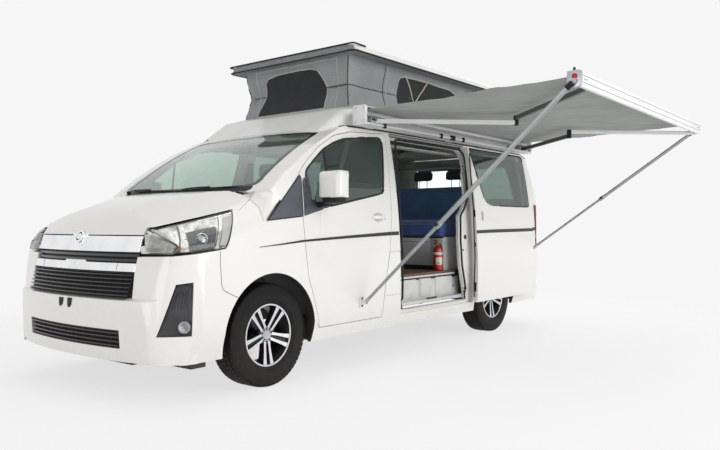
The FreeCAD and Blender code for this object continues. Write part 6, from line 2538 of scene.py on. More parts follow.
# ---- Pop-top -----------------------------------------------------------------------------
@dataclass
class PopTop:
    """Lifting roof: its ring, lid and tent.

    Attributes:
        low: height of the tent's foot.
        high: height of the tent's top.
        front: X of its front wall.
        rear: X of its rear wall.
        half: half its width.
        corner: radius of its corners.
        cloth: thickness of its walls.
        levels: rows of cells from foot to top.
        waist: depth of the waist at the ends, on the left and on the right.
        waist_at: height of the waist, as a share.
        keep: thickness of the folded tent; not used.
        front_window: outline of the end windows.
        side_window: outline of the side windows.
    """

    low: float = 2.098
    high: float = 2.546
    front: float = -1.194
    rear: float = -3.826
    half: float = 0.650
    corner: float = 0.045
    cloth: float = 0.003
    levels: int = 44
    waist: tuple[float, float, float] = (0.044, 0.030, 0.098)
    waist_at: float = 0.44
    keep: float = 0.012
    front_window: tuple[Flat, ...] = (
        (-0.462, 2.109), (-0.402, 2.26), (-0.384, 2.341), (-0.368, 2.421), (-0.324, 2.457),
        (-0.208, 2.478), (0.030, 2.483), (0.206, 2.480), (0.284, 2.458), (0.330, 2.398),
        (0.372, 2.298), (0.380, 2.211), (0.378, 2.109))
    side_window: tuple[Flat, ...] = (
        (-1.936, 2.150), (-1.928, 2.300), (-1.932, 2.425), (-1.965, 2.468), (-2.035, 2.486),
        (-2.421, 2.491), (-2.845, 2.479), (-2.950, 2.450), (-2.988, 2.405), (-2.995, 2.290),
        (-2.970, 2.150))

    def ring_at(self, z: float, inset: float) -> list[Vector]:
        """Ring of points round the tent at one height.

        Args:
            z: the height.
            inset: distance in from the outer face.

        Returns:
            The ring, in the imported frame.
        """
        share = (z - self.low) / (self.high - self.low)
        corners = rounded([(self.front, -self.half), (self.front, self.half),
                           (self.rear, self.half), (self.rear, -self.half)], self.corner, 6)
        path = resampled([Vector((x, y, 0)) for x, y in corners], 0.022, True)
        middle = Vector(((self.front + self.rear) / 2, 0, 0))
        ring = []
        for index, p in enumerate(path):
            ahead = path[(index + 1) % len(path)]
            way = (ahead - path[index - 1]).normalized()
            out = Vector((way.y, -way.x, 0))
            if out.dot(p - middle) < 0:
                out = -out
            waist = (self.waist[0] * out.x ** 2
                     + self.waist[1 if out.y > 0 else 2] * out.y ** 2)
            pinch = waist * math.exp(-((share - self.waist_at) / 0.26) ** 2) + 0.012 * share
            fold = (0.0045 * math.sin(p.x * 23.0 + p.y * 31.0 + 5.0 * share)
                    + 0.0035 * math.sin(p.x * 9.0 - p.y * 14.0 + 9.0 * share + 1.3)
                    + 0.003 * math.sin((p.x + p.y) * 47.0 - 14.0 * share))
            fade = math.sin(math.pi * min(max(share, 0.0), 1.0)) ** 0.6
            seam = 0.006 * math.exp(-((share - self.waist_at) / 0.02) ** 2)
            depth = pinch + (fold + 0.008) * fade * 0.8 + seam + inset
            ring.append(at(p.x, p.y, z) - out * depth)
        return ring

    def tent(self) -> tuple[Piece, float]:
        """Tent walls as one sheet, with a waist and soft folds.

        Returns:
            The walls, and the flat length round them.
        """
        levels = [self.low + (self.high - self.low) * k / self.levels
                  for k in range(self.levels + 1)]
        outer = [self.ring_at(z, 0.0) for z in levels]
        inner = [self.ring_at(z, self.cloth) for z in levels]
        walls = ring_wall("tent_walls", outer, inner, Palette.CANVAS, 60)
        around = sum((a - b).length for a, b in zip(outer[10], outer[10][1:] + outer[10][:1]))
        return walls, around

    def net(self, cast: Cast, outline: Sequence[Flat]) -> list[Piece]:
        """Mesh of one window and the piping round it."""
        return [filled(cast, outline, "mesh", 0.003, 0.003, Palette.MESH, 8),
                drawn_line(cast, outline, "piping", 0.014, 0.0055, Palette.PIPING, True)]

    def trims(self, walls: Piece) -> Piece:
        """Mesh windows, piping, seams and straps on the tent.

        Args:
            walls: the tent's walls.

        Returns:
            Every trim in one piece.
        """
        skin = Skin([walls])
        pipe, dark, cream = Palette.PIPING, Palette.SEAM, Palette.STRAP
        pieces = []
        for cast in (skin.along(-0.9, BACK), skin.along(-4.2, AHEAD)):
            pieces += self.net(cast, self.front_window)
            for y0, y1 in ((-0.462, -0.484), (0.493, 0.512)):
                pieces.append(drawn_line(cast, [(y0, 2.110), (y0, 2.30), (y1, 2.542)], "tape",
                                         0.012, 0.003, pipe))
            pieces.append(drawn_line(cast, [(-0.56, 2.300), (0.56, 2.300)], "waist", 0.007,
                                     0.004, dark))
            pieces.append(drawn_line(cast, [(-0.484, 2.528), (0.512, 2.528)], "tape", 0.010,
                                     0.003, pipe))
        for side in (LEFT, RIGHT):
            cast = skin.flank(side)
            pieces += self.net(cast, self.side_window)
            pieces.append(drawn_line(cast, [(-1.24, 2.300), (-3.77, 2.300)], "waist", 0.007,
                                     0.004, dark))
            for x in (-1.735, -3.30):
                pieces.append(drawn_line(cast, [(x, 2.110), (x + 0.012, 2.40), (x - 0.004, 2.54)],
                                         "seam", 0.008, 0.0035, dark))
                pieces.append(drawn_line(cast, [(x - 0.036, 2.110), (x - 0.040, 2.54)], "tape",
                                         0.010, 0.003, pipe))
            for a, b in ((-2.04, -2.33), (-2.43, -2.16)):
                pieces.append(drawn_line(cast, [(a, 2.505), (b, 2.150)], "strap", 0.011, 0.011,
                                         cream))
        for x, way in ((self.front + 0.02, 1), (self.rear - 0.02, -1)):
            for y in (-self.half - 0.02, self.half + 0.02):
                path = []
                for k in range(23):
                    z = 2.112 + 0.425 * k / 22
                    aim = Vector((-way, -math.copysign(1, y), 0))
                    path.append(skin.cast(at(x, y, z) - aim * 0.05, aim, 0.002)[0])
                pieces.append(tube("corner_cord", path, 0.0042, dark, sides=8))
        return joined("tent_trims", pieces)

    def lid(self) -> Piece:
        """Moulded lid with rounded edges, a seal, stiffening ribs and a grey lining inside.

        Returns:
            The lid.
        """
        shell = soft_copy("pop_top_lid", "pop_top_shell", Palette.GELCOAT, 0.014, 4,
                          30, True)
        recoloured(shell, Palette.LID_LINING,
                   lambda c: (c.z < 2.560 and abs(c.y) < 0.765 and -3.895 < c.x < -1.125)
                   or (c.x > -1.160 and c.z < 2.600))
        lo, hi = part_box("pop_top_lid")
        lo, hi = lo - SHIFT, hi - SHIFT
        edge = oblong((lo.x + 0.012, lo.y + 0.012), (hi.x - 0.012, hi.y - 0.012), 0.06, 6)
        ring = resampled([at(x, y, lo.z + 0.002) for x, y in edge], 0.04, True)
        seal = Palette.RUBBER
        pieces = [shell, tube("seal", ring, 0.008, seal, True, 8)]
        lip = rounded([(-0.758, -1.30), (-0.762, -1.120), (0.762, -1.120), (0.758, -1.30)],
                      0.03, 6)
        pieces.append(tube("lip", [at(x, y, 2.604) for y, x in lip[1:-1]], 0.0075, seal))
        skin = Skin([shell])
        for y in (-0.42, -0.14, 0.14, 0.42):
            path = [skin.top(-1.42 - 2.10 * k / 40, y)[0] for k in range(41)]
            pieces.append(swept("rib", path, UP,
                                [(-0.035, -0.002), (-0.022, 0.0045), (0.022, 0.0045),
                                 (0.035, -0.002)], Palette.GELCOAT))
        return joined("pop_top_shell", pieces)

    def build(self) -> None:
        """Make the lifting roof."""
        base = soft_copy("pop_top_ring", "pop_top_base", Palette.GELCOAT, 0.010, 3,
                         25, True)
        finish(base, Body.VAN, ("pop_top_ring",))
        finish(self.lid(), Body.LID, ("pop_top_lid",))
        walls, around = self.tent()
        trims = self.trims(walls)
        for piece, nodes in ((walls, ("pop_top_canvas",)), (trims, ())):
            finish(piece, Body.VAN, nodes)
            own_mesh(piece)


# ---- Awning ------------------------------------------------------------------------------
@dataclass
class Awning:
    """Folding-arm awning: case, cloth, arms, rail and legs.

    Attributes:
        front: X of the case's front end.
        rear: X of its rear end.
        roller: Y and Z of the cloth at the case.
        rail_y: Y of the cloth at the rail.
        rail_z: heights of the cloth at the rail's front and rear ends.
        sag: sag of the cloth.
        crease: height of its creases.
        cloth_mm: its thickness.
        elbows: X of the arms' elbows.
        elbow_y: Y of the elbows.
        cloth_front: X of the cloth's front edge.
        cloth_width: its width along the van.
        cells: its cells along and out.
        keep: width of the folded cloth; not used.
        tabs: X and half width of the clips on the case.
    """

    front: float = -0.98
    rear: float = -3.98
    roller: Flat = (0.925, 2.019)
    rail_y: float = 2.640
    rail_z: Flat = (2.0585, 2.0655)
    sag: float = 0.020
    crease: float = 0.0055
    cloth_mm: float = 1.2
    elbows: Flat = (-1.926, -3.034)
    elbow_y: float = 1.8205
    cloth_front: float = -1.022
    cloth_width: float = 2.916
    cells: tuple[int, int] = (150, 84)
    keep: float = 0.056
    tabs: tuple[Flat, ...] = (
        (-1.234, 0.010), (-2.095, 0.010), (-2.296, 0.030), (-2.488, 0.010),
        (-3.422, 0.012))

    def case(self) -> Piece:
        """Extruded case with end caps, shoulder brackets and clips on its lower lip.

        Returns:
            The case.
        """
        powder, dark = Palette.POWDER, Palette.BLACK
        silver = Palette.SILVER
        pieces = [soft_copy("awning_case", "awning_case_shell", powder, 0.004, 2, 35)]
        profile = rounded([(0.876, 1.900), (0.930, 1.896), (0.945, 1.915), (0.962, 1.930),
                           (1.000, 1.932), (1.006, 1.948), (1.006, 2.040), (0.998, 2.050),
                           (0.884, 2.050), (0.876, 2.040)], 0.005, 3)
        for x, way in ((self.front, 1), (self.rear, -1)):
            face = [at(x + way * 0.010, y, z) for y, z in profile]
            pieces.append(plate("cap", face, Vector((-way * 0.014, 0, 0)), powder, 0.0025))
            for y, z in ((0.905, 2.030), (0.985, 2.030), (0.905, 1.915)):
                pieces.append(lathed("screw", at(x + way * 0.010, y, z), Vector((way, 0, 0)),
                                     [(-0.002, 0.0045), (0.0012, 0.0045), (0.002, 0.003),
                                      (0.001, 0.0)], dark, 12))
        for x in (-1.100, -3.860):
            pieces.append(block("shoulder", (x - 0.050, 0.925, 1.905), (x + 0.050, 0.990, 1.917),
                                silver, 0.003))
            pieces.append(block("cheek", (x - 0.050, 0.985, 1.905), (x + 0.042, 0.993, 1.975),
                                silver, 0.003))
            for dx in (-0.03, 0.0, 0.026):
                pieces.append(lathed("bolt", at(x + dx, 0.993, 1.945), OUT,
                                     [(-0.002, 0.009), (0.004, 0.009), (0.006, 0.006),
                                      (0.004, 0.003), (0.004, 0.0)], dark, 14))
        for x, wide in self.tabs:
            pieces.append(block("tab", (x - wide, 0.985, 1.888), (x + wide, 1.012, 1.932),
                                dark, 0.003))
        groove = [at(-0.99 - 2.98 * k / 30, 1.0045, 1.965) for k in range(31)]
        pieces.append(swept("groove", groove, OUT,
                            ridge(0.003, 0.002, 0.0012), Palette.TRIM_GREY))
        return joined("awning_case_shell", pieces)

    def surface(self, u: float, v: float) -> Vector:
        """Point of the cloth's upper face.

        Args:
            u: 0 at the front edge, 1 at the rear edge.
            v: 0 at the roller, 1 at the rail.

        Returns:
            The point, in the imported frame.
        """
        x = self.cloth_front - self.cloth_width * u
        y = self.roller[0] + (self.rail_y - self.roller[0]) * v
        z = self.roller[1] + (self.rail_z[0] + (self.rail_z[1] - self.rail_z[0]) * u
                              - self.roller[1]) * v
        hold = math.sin(math.pi * v)
        edge = min(u, 1 - u)
        z -= self.sag * hold * (0.35 + 0.65 * min(edge / 0.25, 1.0))
        run = 6.28 * (x * 2.1 + y * 1.15)
        crease = (math.sin(run + 1.1 * math.sin(x * 3.1)) ** 5
                  + 0.7 * math.sin(run * 1.73 + 2.0 * math.sin(y * 2.3 + x)) ** 7
                  + 0.5 * math.sin(6.28 * (x * 1.2 - y * 0.8) + 0.6) ** 5)
        z += self.crease * crease * min(1.0, hold * 2.2)
        z += 0.004 * math.exp(-(edge / 0.012) ** 2) * hold
        return at(x, y, z)

    def cloth(self) -> tuple[Piece, Piece]:
        """One sheet from the roller to the rail, and its hem.

        Returns:
            The cloth and the hem.
        """
        wide, high = self.cells
        rows = [[self.surface(k / wide, 0.004 + 0.996 * i / high) for k in range(wide + 1)]
                for i in range(high + 1)]
        sheet = slab("awning_sheet", rows, Vector((0, 0, -self.cloth_mm / 1000)),
                     Palette.AWNING, 60)
        bind = Palette.AWNING
        hems = []
        for u in (0.0025, 0.9975):
            path = [self.surface(u, 0.01 + 0.985 * k / 60) for k in range(61)]
            hems.append(swept("hem", path, UP,
                              ridge(0.009, 0.0032, 0.0012), bind))
        path = [self.surface(0.002 + 0.996 * k / 100, 0.978) for k in range(101)]
        hems.append(swept("hem", path, UP,
                          ridge(0.011, 0.0030, 0.0010), bind))
        return sheet, joined("awning_hems", hems)

    def arms(self) -> None:
        """Four arms with rounded edges and their knuckles."""
        white, grey = Palette.POWDER, Palette.ARM_PAINTED_SHADE
        dark = Palette.BLACK
        for word, x in (("front", self.elbows[0]), ("rear", self.elbows[1])):
            # Painted shade: the front outer arm and the rear inner arm take charcoal grey for the
            # shade they lie in
            looks = (white, grey) if word == "front" else (grey, white)
            inner, outer = (soft_copy(f"awning_{part}_arm_{word}", f"{part}_arm_{word}", look,
                                      0.005, 2, 35)
                            for part, look in zip(("inner", "outer"), looks))
            elbow = at(x, self.elbow_y, 0)
            cap = lathed("knuckle", elbow + Vector((0, 0, 1.9915)), UP,
                         [(-0.036, 0.0), (-0.036, 0.019), (-0.034, 0.0215), (0.000, 0.0215),
                          (0.004, 0.019), (0.0045, 0.0)], dark, 28)
            foot = lathed("knuckle", elbow + Vector((0, 0, 1.917)), UP,
                          [(-0.003, 0.0), (-0.003, 0.012), (0.0, 0.0205), (0.038, 0.0205),
                           (0.038, 0.0)], dark, 28)
            finish(joined(f"inner_arm_{word}", [inner, foot]), f"arm_{word}_inner",
                   (f"awning_inner_arm_{word}",))
            finish(joined(f"outer_arm_{word}", [outer, cap]), f"arm_{word}_outer",
                   (f"awning_outer_arm_{word}",))

    def rail(self) -> Piece:
        """Front rail with grooves, end caps, red reflectors, hooks and screws.

        Returns:
            The rail.
        """
        powder, dark = Palette.POWDER, Palette.BLACK
        silver = Palette.SILVER
        pieces = [soft_copy("awning_rail", "awning_rail_shell", powder, 0.004, 3, 35)]
        for z in (2.008, 2.052):
            path = [at(-0.99 - 2.98 * k / 30, 2.7358, z) for k in range(31)]
            pieces.append(swept("groove", path, OUT,
                                ridge(0.002, 0.002, 0.001), Palette.TRIM_GREY))
        profile = rounded([(2.637, 1.977), (2.700, 1.975), (2.736, 1.990), (2.739, 2.070),
                           (2.720, 2.087), (2.650, 2.087), (2.637, 2.072)], 0.010, 4)
        for x, way in ((self.front, 1), (self.rear, -1)):
            face = [at(x + way * 0.009, y, z) for y, z in profile]
            pieces.append(plate("cap", face, Vector((-way * 0.013, 0, 0)), silver, 0.0025))
            pieces.append(lathed("reflector", at(x + way * 0.009, 2.690, 2.047),
                                 Vector((way, 0, 0)), [(-0.002, 0.019), (0.002, 0.019),
                                                       (0.004, 0.015), (0.0045, 0.0)],
                                 Palette.RED_DOT, 28))
            pieces.append(block("hook", (x + way * 0.002, 2.676, 2.080),
                                (x - way * 0.012, 2.690, 2.108), dark, 0.003))
            for dx in (0.045, 0.075):
                pieces.append(lathed("screw", at(x - way * dx, 2.7362, 2.030), OUT,
                                     [(-0.002, 0.005), (0.001, 0.005), (0.002, 0.003),
                                      (0.001, 0.0)], dark, 12))
        return joined("awning_rail_shell", pieces)

    def legs(self) -> None:
        """Telescopic legs in anodised tube, with clamps, knuckles and wall bolts."""
        tube_look, dark = Palette.ANODISED, Palette.BLACK
        for word, foot, head, body, lap in (
                ("front", (-0.956, 1.012, 0.500), (-0.956, 2.6909, 2.015), "door_left", 0.40),
                ("rear", (-4.004, 1.012, 0.845), (-4.004, 2.6909, 2.015), "van", 0.46)):
            a, b = at(*foot), at(*head)
            way = (b - a).normalized()
            length = (b - a).length
            thin = merged_copy(f"awning_leg_foot_{word}", f"leg_foot_{word}", tube_look, 40)
            thick = merged_copy(f"awning_leg_tube_{word}", f"leg_tube_{word}", tube_look, 40)
            collar = a + way * length * lap
            clamp = lathed("clamp", collar, way,
                           [(-0.030, 0.0182), (-0.028, 0.0205), (0.018, 0.0215),
                            (0.022, 0.0185)], dark, 24)
            clamp.data.materials[0] = tube_look.build()
            knob = lathed("knob", collar + Vector((0.02, 0, 0)), AHEAD,
                          [(-0.004, 0.007), (0.008, 0.007), (0.010, 0.013), (0.020, 0.013),
                           (0.022, 0.010), (0.022, 0.0)], dark, 18)
            knuckle = lathed("knuckle", b - way * 0.030, way,
                             [(-0.035, 0.0175), (-0.033, 0.0195), (0.012, 0.0195),
                              (0.020, 0.014), (0.022, 0.0)], dark, 24)
            finish(joined(f"leg_tube_{word}", [thick, clamp, knob, knuckle]),
                   f"leg_{word}_tube", (f"awning_leg_tube_{word}",))
            end = lathed("end", a + way * 0.030, way,
                         [(-0.026, 0.0), (-0.026, 0.012), (-0.020, 0.0155), (0.018, 0.0155),
                          (0.022, 0.0135)], Palette.SILVER, 24)
            finish(joined(f"leg_foot_{word}", [thin, end]), f"leg_{word}_foot",
                   (f"awning_leg_foot_{word}",))
            x, z = foot[0], foot[2]
            plates = [lathed("bolt", at(x, 0.981, z + dz), OUT,
                             [(-0.004, 0.008), (0.004, 0.008), (0.006, 0.0055),
                              (0.006, 0.0)], dark, 14) for dz in (-0.030, 0.030)]
            finish(joined(f"leg_bolts_{word}", plates), body)

    def build(self) -> None:
        """Make the awning."""
        finish(self.case(), Body.VAN, ("awning_case",))
        finish(self.rail(), Body.RAIL, ("awning_rail",))
        self.arms()
        self.legs()
        cloth, hems = self.cloth()
        middle = [self.surface(0.5, v) for v in evenly(self.cells[1])]
        length = sum((b - a).length for a, b in zip(middle, middle[1:]))
        for piece, nodes in ((cloth, ("awning_cloth",)), (hems, ())):
            finish(piece, Body.VAN, nodes)
            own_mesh(piece)


# ---- Cabin -------------------------------------------------------------------------------
def stuffed(pad: Piece, cap: float, voxel: float) -> Piece:
    """Blow a pad's cover up over its foam with a short cloth simulation.

    Args:
        pad: the pad's closed starting form, a little small.
        cap: the farthest that a point may move.
        voxel: size of the cover's cells.

    Returns:
        The same pad, with its result applied.
    """
    with_modifier(pad, "REMESH", mode="VOXEL", voxel_size=voxel, adaptivity=0.0)
    polished(pad)
    scene = bpy.context.scene
    modifier = pad.modifiers.new("cover", "CLOTH")
    cover = modifier.settings
    cover.use_pressure = True
    cover.uniform_pressure_force = COVER_PRESSURE
    cover.effector_weights.gravity = 0.0
    cover.quality = 4
    modifier.collision_settings.use_collision = False
    modifier.point_cache.frame_start = 1
    modifier.point_cache.frame_end = COVER_FRAMES
    for frame in range(1, COVER_FRAMES + 1):
        scene.frame_set(frame)
        bpy.context.view_layer.update()
    graph = bpy.context.evaluated_depsgraph_get()
    blown = [v.co.copy() for v in pad.evaluated_get(graph).data.vertices]
    pad.modifiers.clear()
    for vertex, goal in zip(pad.data.vertices, blown):
        move = goal - vertex.co
        vertex.co += move * min(1.0, cap / max(move.length, 1e-9))
    scene.frame_set(1)
    with_modifier(pad, "SMOOTH", factor=0.5, iterations=2)
    with_modifier(pad, "SUBSURF", levels=1, render_levels=1)
    polished(pad)
    pad.data.shade_smooth()
    return pad


@dataclass
class Cabin:
    """Bench bed, front seats, floor, step, extinguisher and trims inside.

    Attributes:
        bench_y: ends of the bench.
        base_top: height above which the bench's CAD node is left out.
        slack: how much smaller a pad's foam is than its cover.
        voxel: size of a cover's cells.
        cap: how far a cover may swell.
        seats: middles of the front seats.
    """

    bench_y: Flat = (-0.5, 0.8)
    base_top: float = 0.9845
    slack: float = 0.010
    voxel: float = 0.013
    cap: float = 0.024
    seats: Flat = (0.43, -0.43)

    def pad(self, name: str, outline: Sequence[Flat], y0: float, y1: float,
            material: Finish, soft: float, cap: float | None = None) -> Piece:
        """Stuffed pad with an outline in X and Z.

        Args:
            name: the pad's name.
            outline: its side view, in the van's frame.
            y0: its right end.
            y1: its left end.
            material: its cloth.
            soft: radius of its edges.
            cap: how far its cover may swell, where it isn't the usual.

        Returns:
            The pad.
        """
        middle = sum((Vector(p) for p in outline), Vector((0, 0))) / len(outline)
        size = self.slack
        small = []
        for p in outline:
            way = Vector(p) - middle
            small.append(middle + way * (1 - size / max(way.length, 0.05)))
        ends = (y0 + size, y1 - size)
        verts = [at(p.x, y, p.y) for y in ends for p in small]
        count = len(small)
        faces = [tuple(range(count)), tuple(range(2 * count - 1, count - 1, -1))]
        faces += [(i, (i + 1) % count, count + (i + 1) % count, count + i)
                  for i in range(count)]
        pad = new_piece(name, verts, faces, material)
        bevelled(pad, soft, 4, 20)
        return stuffed(pad, self.cap if cap is None else cap, self.voxel)

    def seam(self, pad: Piece, path: Sequence[Vector], material: Finish,
             radius: float = 0.0035, closed: bool = True) -> Piece:
        """Piping laid on a pad along a path near its surface.

        Args:
            pad: the pad.
            path: points near its surface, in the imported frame.
            material: the piping's finish.
            radius: its radius.
            closed: whether it is a ring.

        Returns:
            The piping.
        """
        skin = Skin([pad])
        points = [skin.tree.find_nearest(p)[0] for p in resampled(list(path), 0.018, closed)]
        return tube("seam", points, radius, material, closed, 6)

    def bench(self) -> None:
        """Bench: base with its boards, cushion, back and two headrests."""
        y0, y1 = self.bench_y
        navy, dark = Palette.NAVY, Palette.DARK_SEAT
        panel, black = Palette.PANEL_GREY, Palette.BLACK
        base = merged_copy("bench_seat", "bench_base", panel)
        work = bmesh.new()
        work.from_mesh(base.data)
        gone = [v for v in work.verts if v.co.z > self.base_top]
        bmesh.ops.delete(work, geom=gone, context="VERTS")
        work.to_mesh(base.data)
        work.free()
        boards = [base,
                  block("board", (-2.452, y0 + 0.01, 0.712), (-2.441, 0.655, 0.975), panel,
                        0.002),
                  block("board", (-2.452, 0.661, 0.712), (-2.443, y1 - 0.004, 0.975), panel,
                        0.002),
                  block("rail", (-2.448, y0 + 0.01, 0.936), (-2.4395, 0.655, 0.940),
                        Palette.TRIM_DARK, 0.0008),
                  block("skirting", (-2.452, y0 + 0.01, 0.668), (-2.437, 0.70, 0.706), black,
                        0.002),
                  block("nosing", (-2.456, y0, 0.974), (-2.438, y1, 0.986), black, 0.003)]
        finish(joined("bench_base", boards), Body.VAN, ("bench_seat",))
        seat = [(-2.438, 0.988), (-2.438, 1.132), (-2.948, 1.134), (-2.948, 0.988)]
        cushion = self.pad("bench_cushion", seat, y0, y1, navy, 0.030)
        rim = [at(x, y, 1.116) for x, y in ((-2.452, y0 + 0.03), (-2.452, y1 - 0.03),
                                            (-2.93, y1 - 0.03), (-2.93, y0 + 0.03))]
        low = [p - Vector((0, 0, 0.112)) for p in rim]
        piping = [self.seam(cushion, rim, dark), self.seam(cushion, low, dark)]
        back_side = [(-2.960, 0.990), (-3.022, 1.536), (-3.134, 1.528), (-3.066, 0.990)]
        back = self.pad("bench_back", back_side, y0, y1, dark, 0.026)
        face = [at(x, y, z) for x, y, z in ((-2.965, y0 + 0.03, 1.02), (-2.965, y1 - 0.03, 1.02),
                                            (-3.026, y1 - 0.03, 1.515),
                                            (-3.026, y0 + 0.03, 1.515))]
        piping.append(self.seam(back, face, dark))
        line = [at(-2.955, 0.15, 1.03), at(-3.02, 0.15, 1.50)]
        piping.append(self.seam(back, line, dark, 0.0025, False))
        heads = []
        for word, y in (("right", 0.15), ("left", 0.56)):
            side = [(-3.040, 1.566), (-3.058, 1.688), (-3.128, 1.688), (-3.112, 1.566)]
            heads.append(self.pad("bench_headrest_" + word, side, y - 0.128, y + 0.128,
                                  Palette.HEADREST, 0.026, 0.014))
            for dy in (-0.05, 0.05):
                piping.append(tube("stalk", [at(-3.082, y + dy, 1.50), at(-3.086, y + dy, 1.60)],
                                   0.006, Palette.CHROME))
        for piece in (cushion, back, *heads):
            finish(piece, Body.VAN, ("bench_seat",))
        finish(joined("bench_piping", piping), Body.VAN)

    def front_seats(self) -> None:
        """Two front seats on their boxes."""
        cloth, dark = Palette.DARK_SEAT, Palette.TRIM_DARK
        for word, y in zip(("left", "right"), self.seats):
            boxes = [block("box", (-1.12, y - 0.21, 0.668), (-0.66, y + 0.21, 0.855), dark,
                           0.010),
                     block("runner", (-1.16, y - 0.20, 0.852), (-0.68, y - 0.17, 0.868),
                           Palette.IRON, 0.002),
                     block("runner", (-1.16, y + 0.17, 0.852), (-0.68, y + 0.20, 0.868),
                           Palette.IRON, 0.002)]
            for dy in (-0.05, 0.05):
                boxes.append(tube("stalk", [at(-1.315, y + dy, 1.47), at(-1.325, y + dy, 1.58)],
                                  0.006, Palette.CHROME))
            cushion = self.pad(f"front_cushion_{word}",
                               [(-1.175, 0.868), (-0.645, 0.868), (-0.613, 0.905),
                                (-0.645, 0.962), (-1.175, 0.945)], y - 0.238, y + 0.238,
                               cloth, 0.024, 0.020)
            back = self.pad(f"front_backrest_{word}",
                            [(-1.085, 0.935), (-1.275, 1.525), (-1.362, 1.505), (-1.185, 0.935)],
                            y - 0.232, y + 0.232, cloth, 0.026, 0.020)
            head = self.pad(f"front_headrest_{word}",
                            [(-1.268, 1.552), (-1.290, 1.694), (-1.362, 1.690), (-1.345, 1.548)],
                            y - 0.128, y + 0.128, cloth, 0.026, 0.012)
            rim = [at(x, y + dy, z) for x, dy, z in ((-0.632, -0.19, 0.955),
                                                     (-0.632, 0.19, 0.955),
                                                     (-1.15, 0.19, 0.955),
                                                     (-1.15, -0.19, 0.955))]
            ring = self.seam(cushion, rim, dark, 0.003)
            face = [at(x, y + dy, z) for x, dy, z in ((-1.10, -0.17, 1.02), (-1.10, 0.17, 1.02),
                                                      (-1.255, 0.17, 1.48),
                                                      (-1.255, -0.17, 1.48))]
            boxes += [ring, self.seam(back, face, dark, 0.003)]
            finish(joined(f"front_seat_frame_{word}", boxes), Body.VAN,
                   ("front_seats",))
            for piece in (cushion, back, head):
                finish(piece, Body.VAN, ("front_seats",))

    def floor_and_step(self) -> None:
        """Vinyl floor with its nosing, ribbed step wall and tread."""
        brown, black = Palette.FLOOR, Palette.BLACK
        white, silver = Palette.STEP, Palette.SILVER
        floor = merged_copy("floor_pan", "cabin_floor", brown)
        recoloured(floor, Palette.TRIM_DARK, lambda c: c.z > 0.69)
        recoloured(floor, Palette.CHASSIS, lambda c: c.z < 0.64)
        finish(floor, Body.VAN, ("floor_pan",))
        step = merged_copy("side_step", "side_step_moulding", white)
        bevelled(step, 0.003, 2, 35)
        pieces = [step, block("nosing", (-2.600, 0.842, 0.650), (-1.512, 0.860, 0.6685),
                              Palette.NOSING, 0.004)]
        wall = 0.851
        pieces.append(block("ledge", (-2.560, wall - 0.004, 0.628), (-1.530, wall + 0.010, 0.646),
                            white, 0.004))
        for x0, x1 in ((-1.90, -1.56), (-2.14, -1.98), (-2.50, -2.22)):
            pieces.append(block("panel", (x0, wall - 0.003, 0.450), (x1, wall + 0.007, 0.615),
                                white, 0.005))
        rib = block("rib", (-1.955, wall - 0.003, 0.450), (-1.945, wall + 0.005, 0.615), white,
                    0.003)
        pieces.append(copies("ribs", rib, 3, step=(-0.014, 0, 0)))
        for z in (0.600, 0.515):
            pieces.append(lathed("stud", at(-2.545, wall, z), OUT,
                                 [(-0.002, 0.009), (0.004, 0.009), (0.006, 0.006),
                                  (0.006, 0.0)], black, 16))
        rib = block("tread", (-2.56, 0.862, 0.430), (-1.53, 0.865, 0.4335), white, 0.001)
        pieces.append(copies("treads", rib, 6, step=(0, 0.007, 0)))
        pieces.append(block("track", (-2.60, 0.904, 0.430), (-1.51, 0.916, 0.441), silver,
                            0.002))
        pieces.append(block("track_slot", (-2.15, 0.898, 0.431), (-1.98, 0.919, 0.4445), black,
                            0.002))
        finish(joined("side_step_moulding", pieces), Body.VAN, ("side_step",))

    def extinguisher(self) -> Piece:
        """Red cylinder with its band, label, valve, lever, gauge and hose.

        Returns:
            The extinguisher.
        """
        red, black = Palette.RED, Palette.BLACK
        foot = at(-2.385, 0.780, 0.668)
        body = lathed("cylinder", foot, UP,
                      [(0.0, 0.0), (0.0, 0.040), (0.004, 0.0465), (0.012, 0.0478),
                       (0.185, 0.0478), (0.205, 0.045), (0.222, 0.036), (0.232, 0.022),
                       (0.236, 0.015), (0.244, 0.015), (0.244, 0.0)], red, 56)
        band = lathed("band", foot, UP, [(0.150, 0.0475), (0.150, 0.0484), (0.174, 0.0484),
                                         (0.174, 0.0475)], Palette.WHITE_BAND, 56, True)

        def wrap(name: str, look: Finish, radius: float, z: Flat, first: int, count: int) -> Piece:
            """Label bent round the cylinder.

            Args:
                name: the label's name.
                look: its finish.
                radius: distance of its face from the axis.
                z: height of its lower edge, and its width.
                first: angle of its first edge, in degrees.
                count: number of points round it, five degrees apart.

            Returns:
                The label.
            """
            rows = [[foot + Vector((radius * math.cos(a), radius * math.sin(a), z[0] + z[1] * row))
                     for a in (math.radians(first + 5 * k) for k in range(count))]
                    for row in range(2)]
            return slab(name, rows, 0.0006, look)

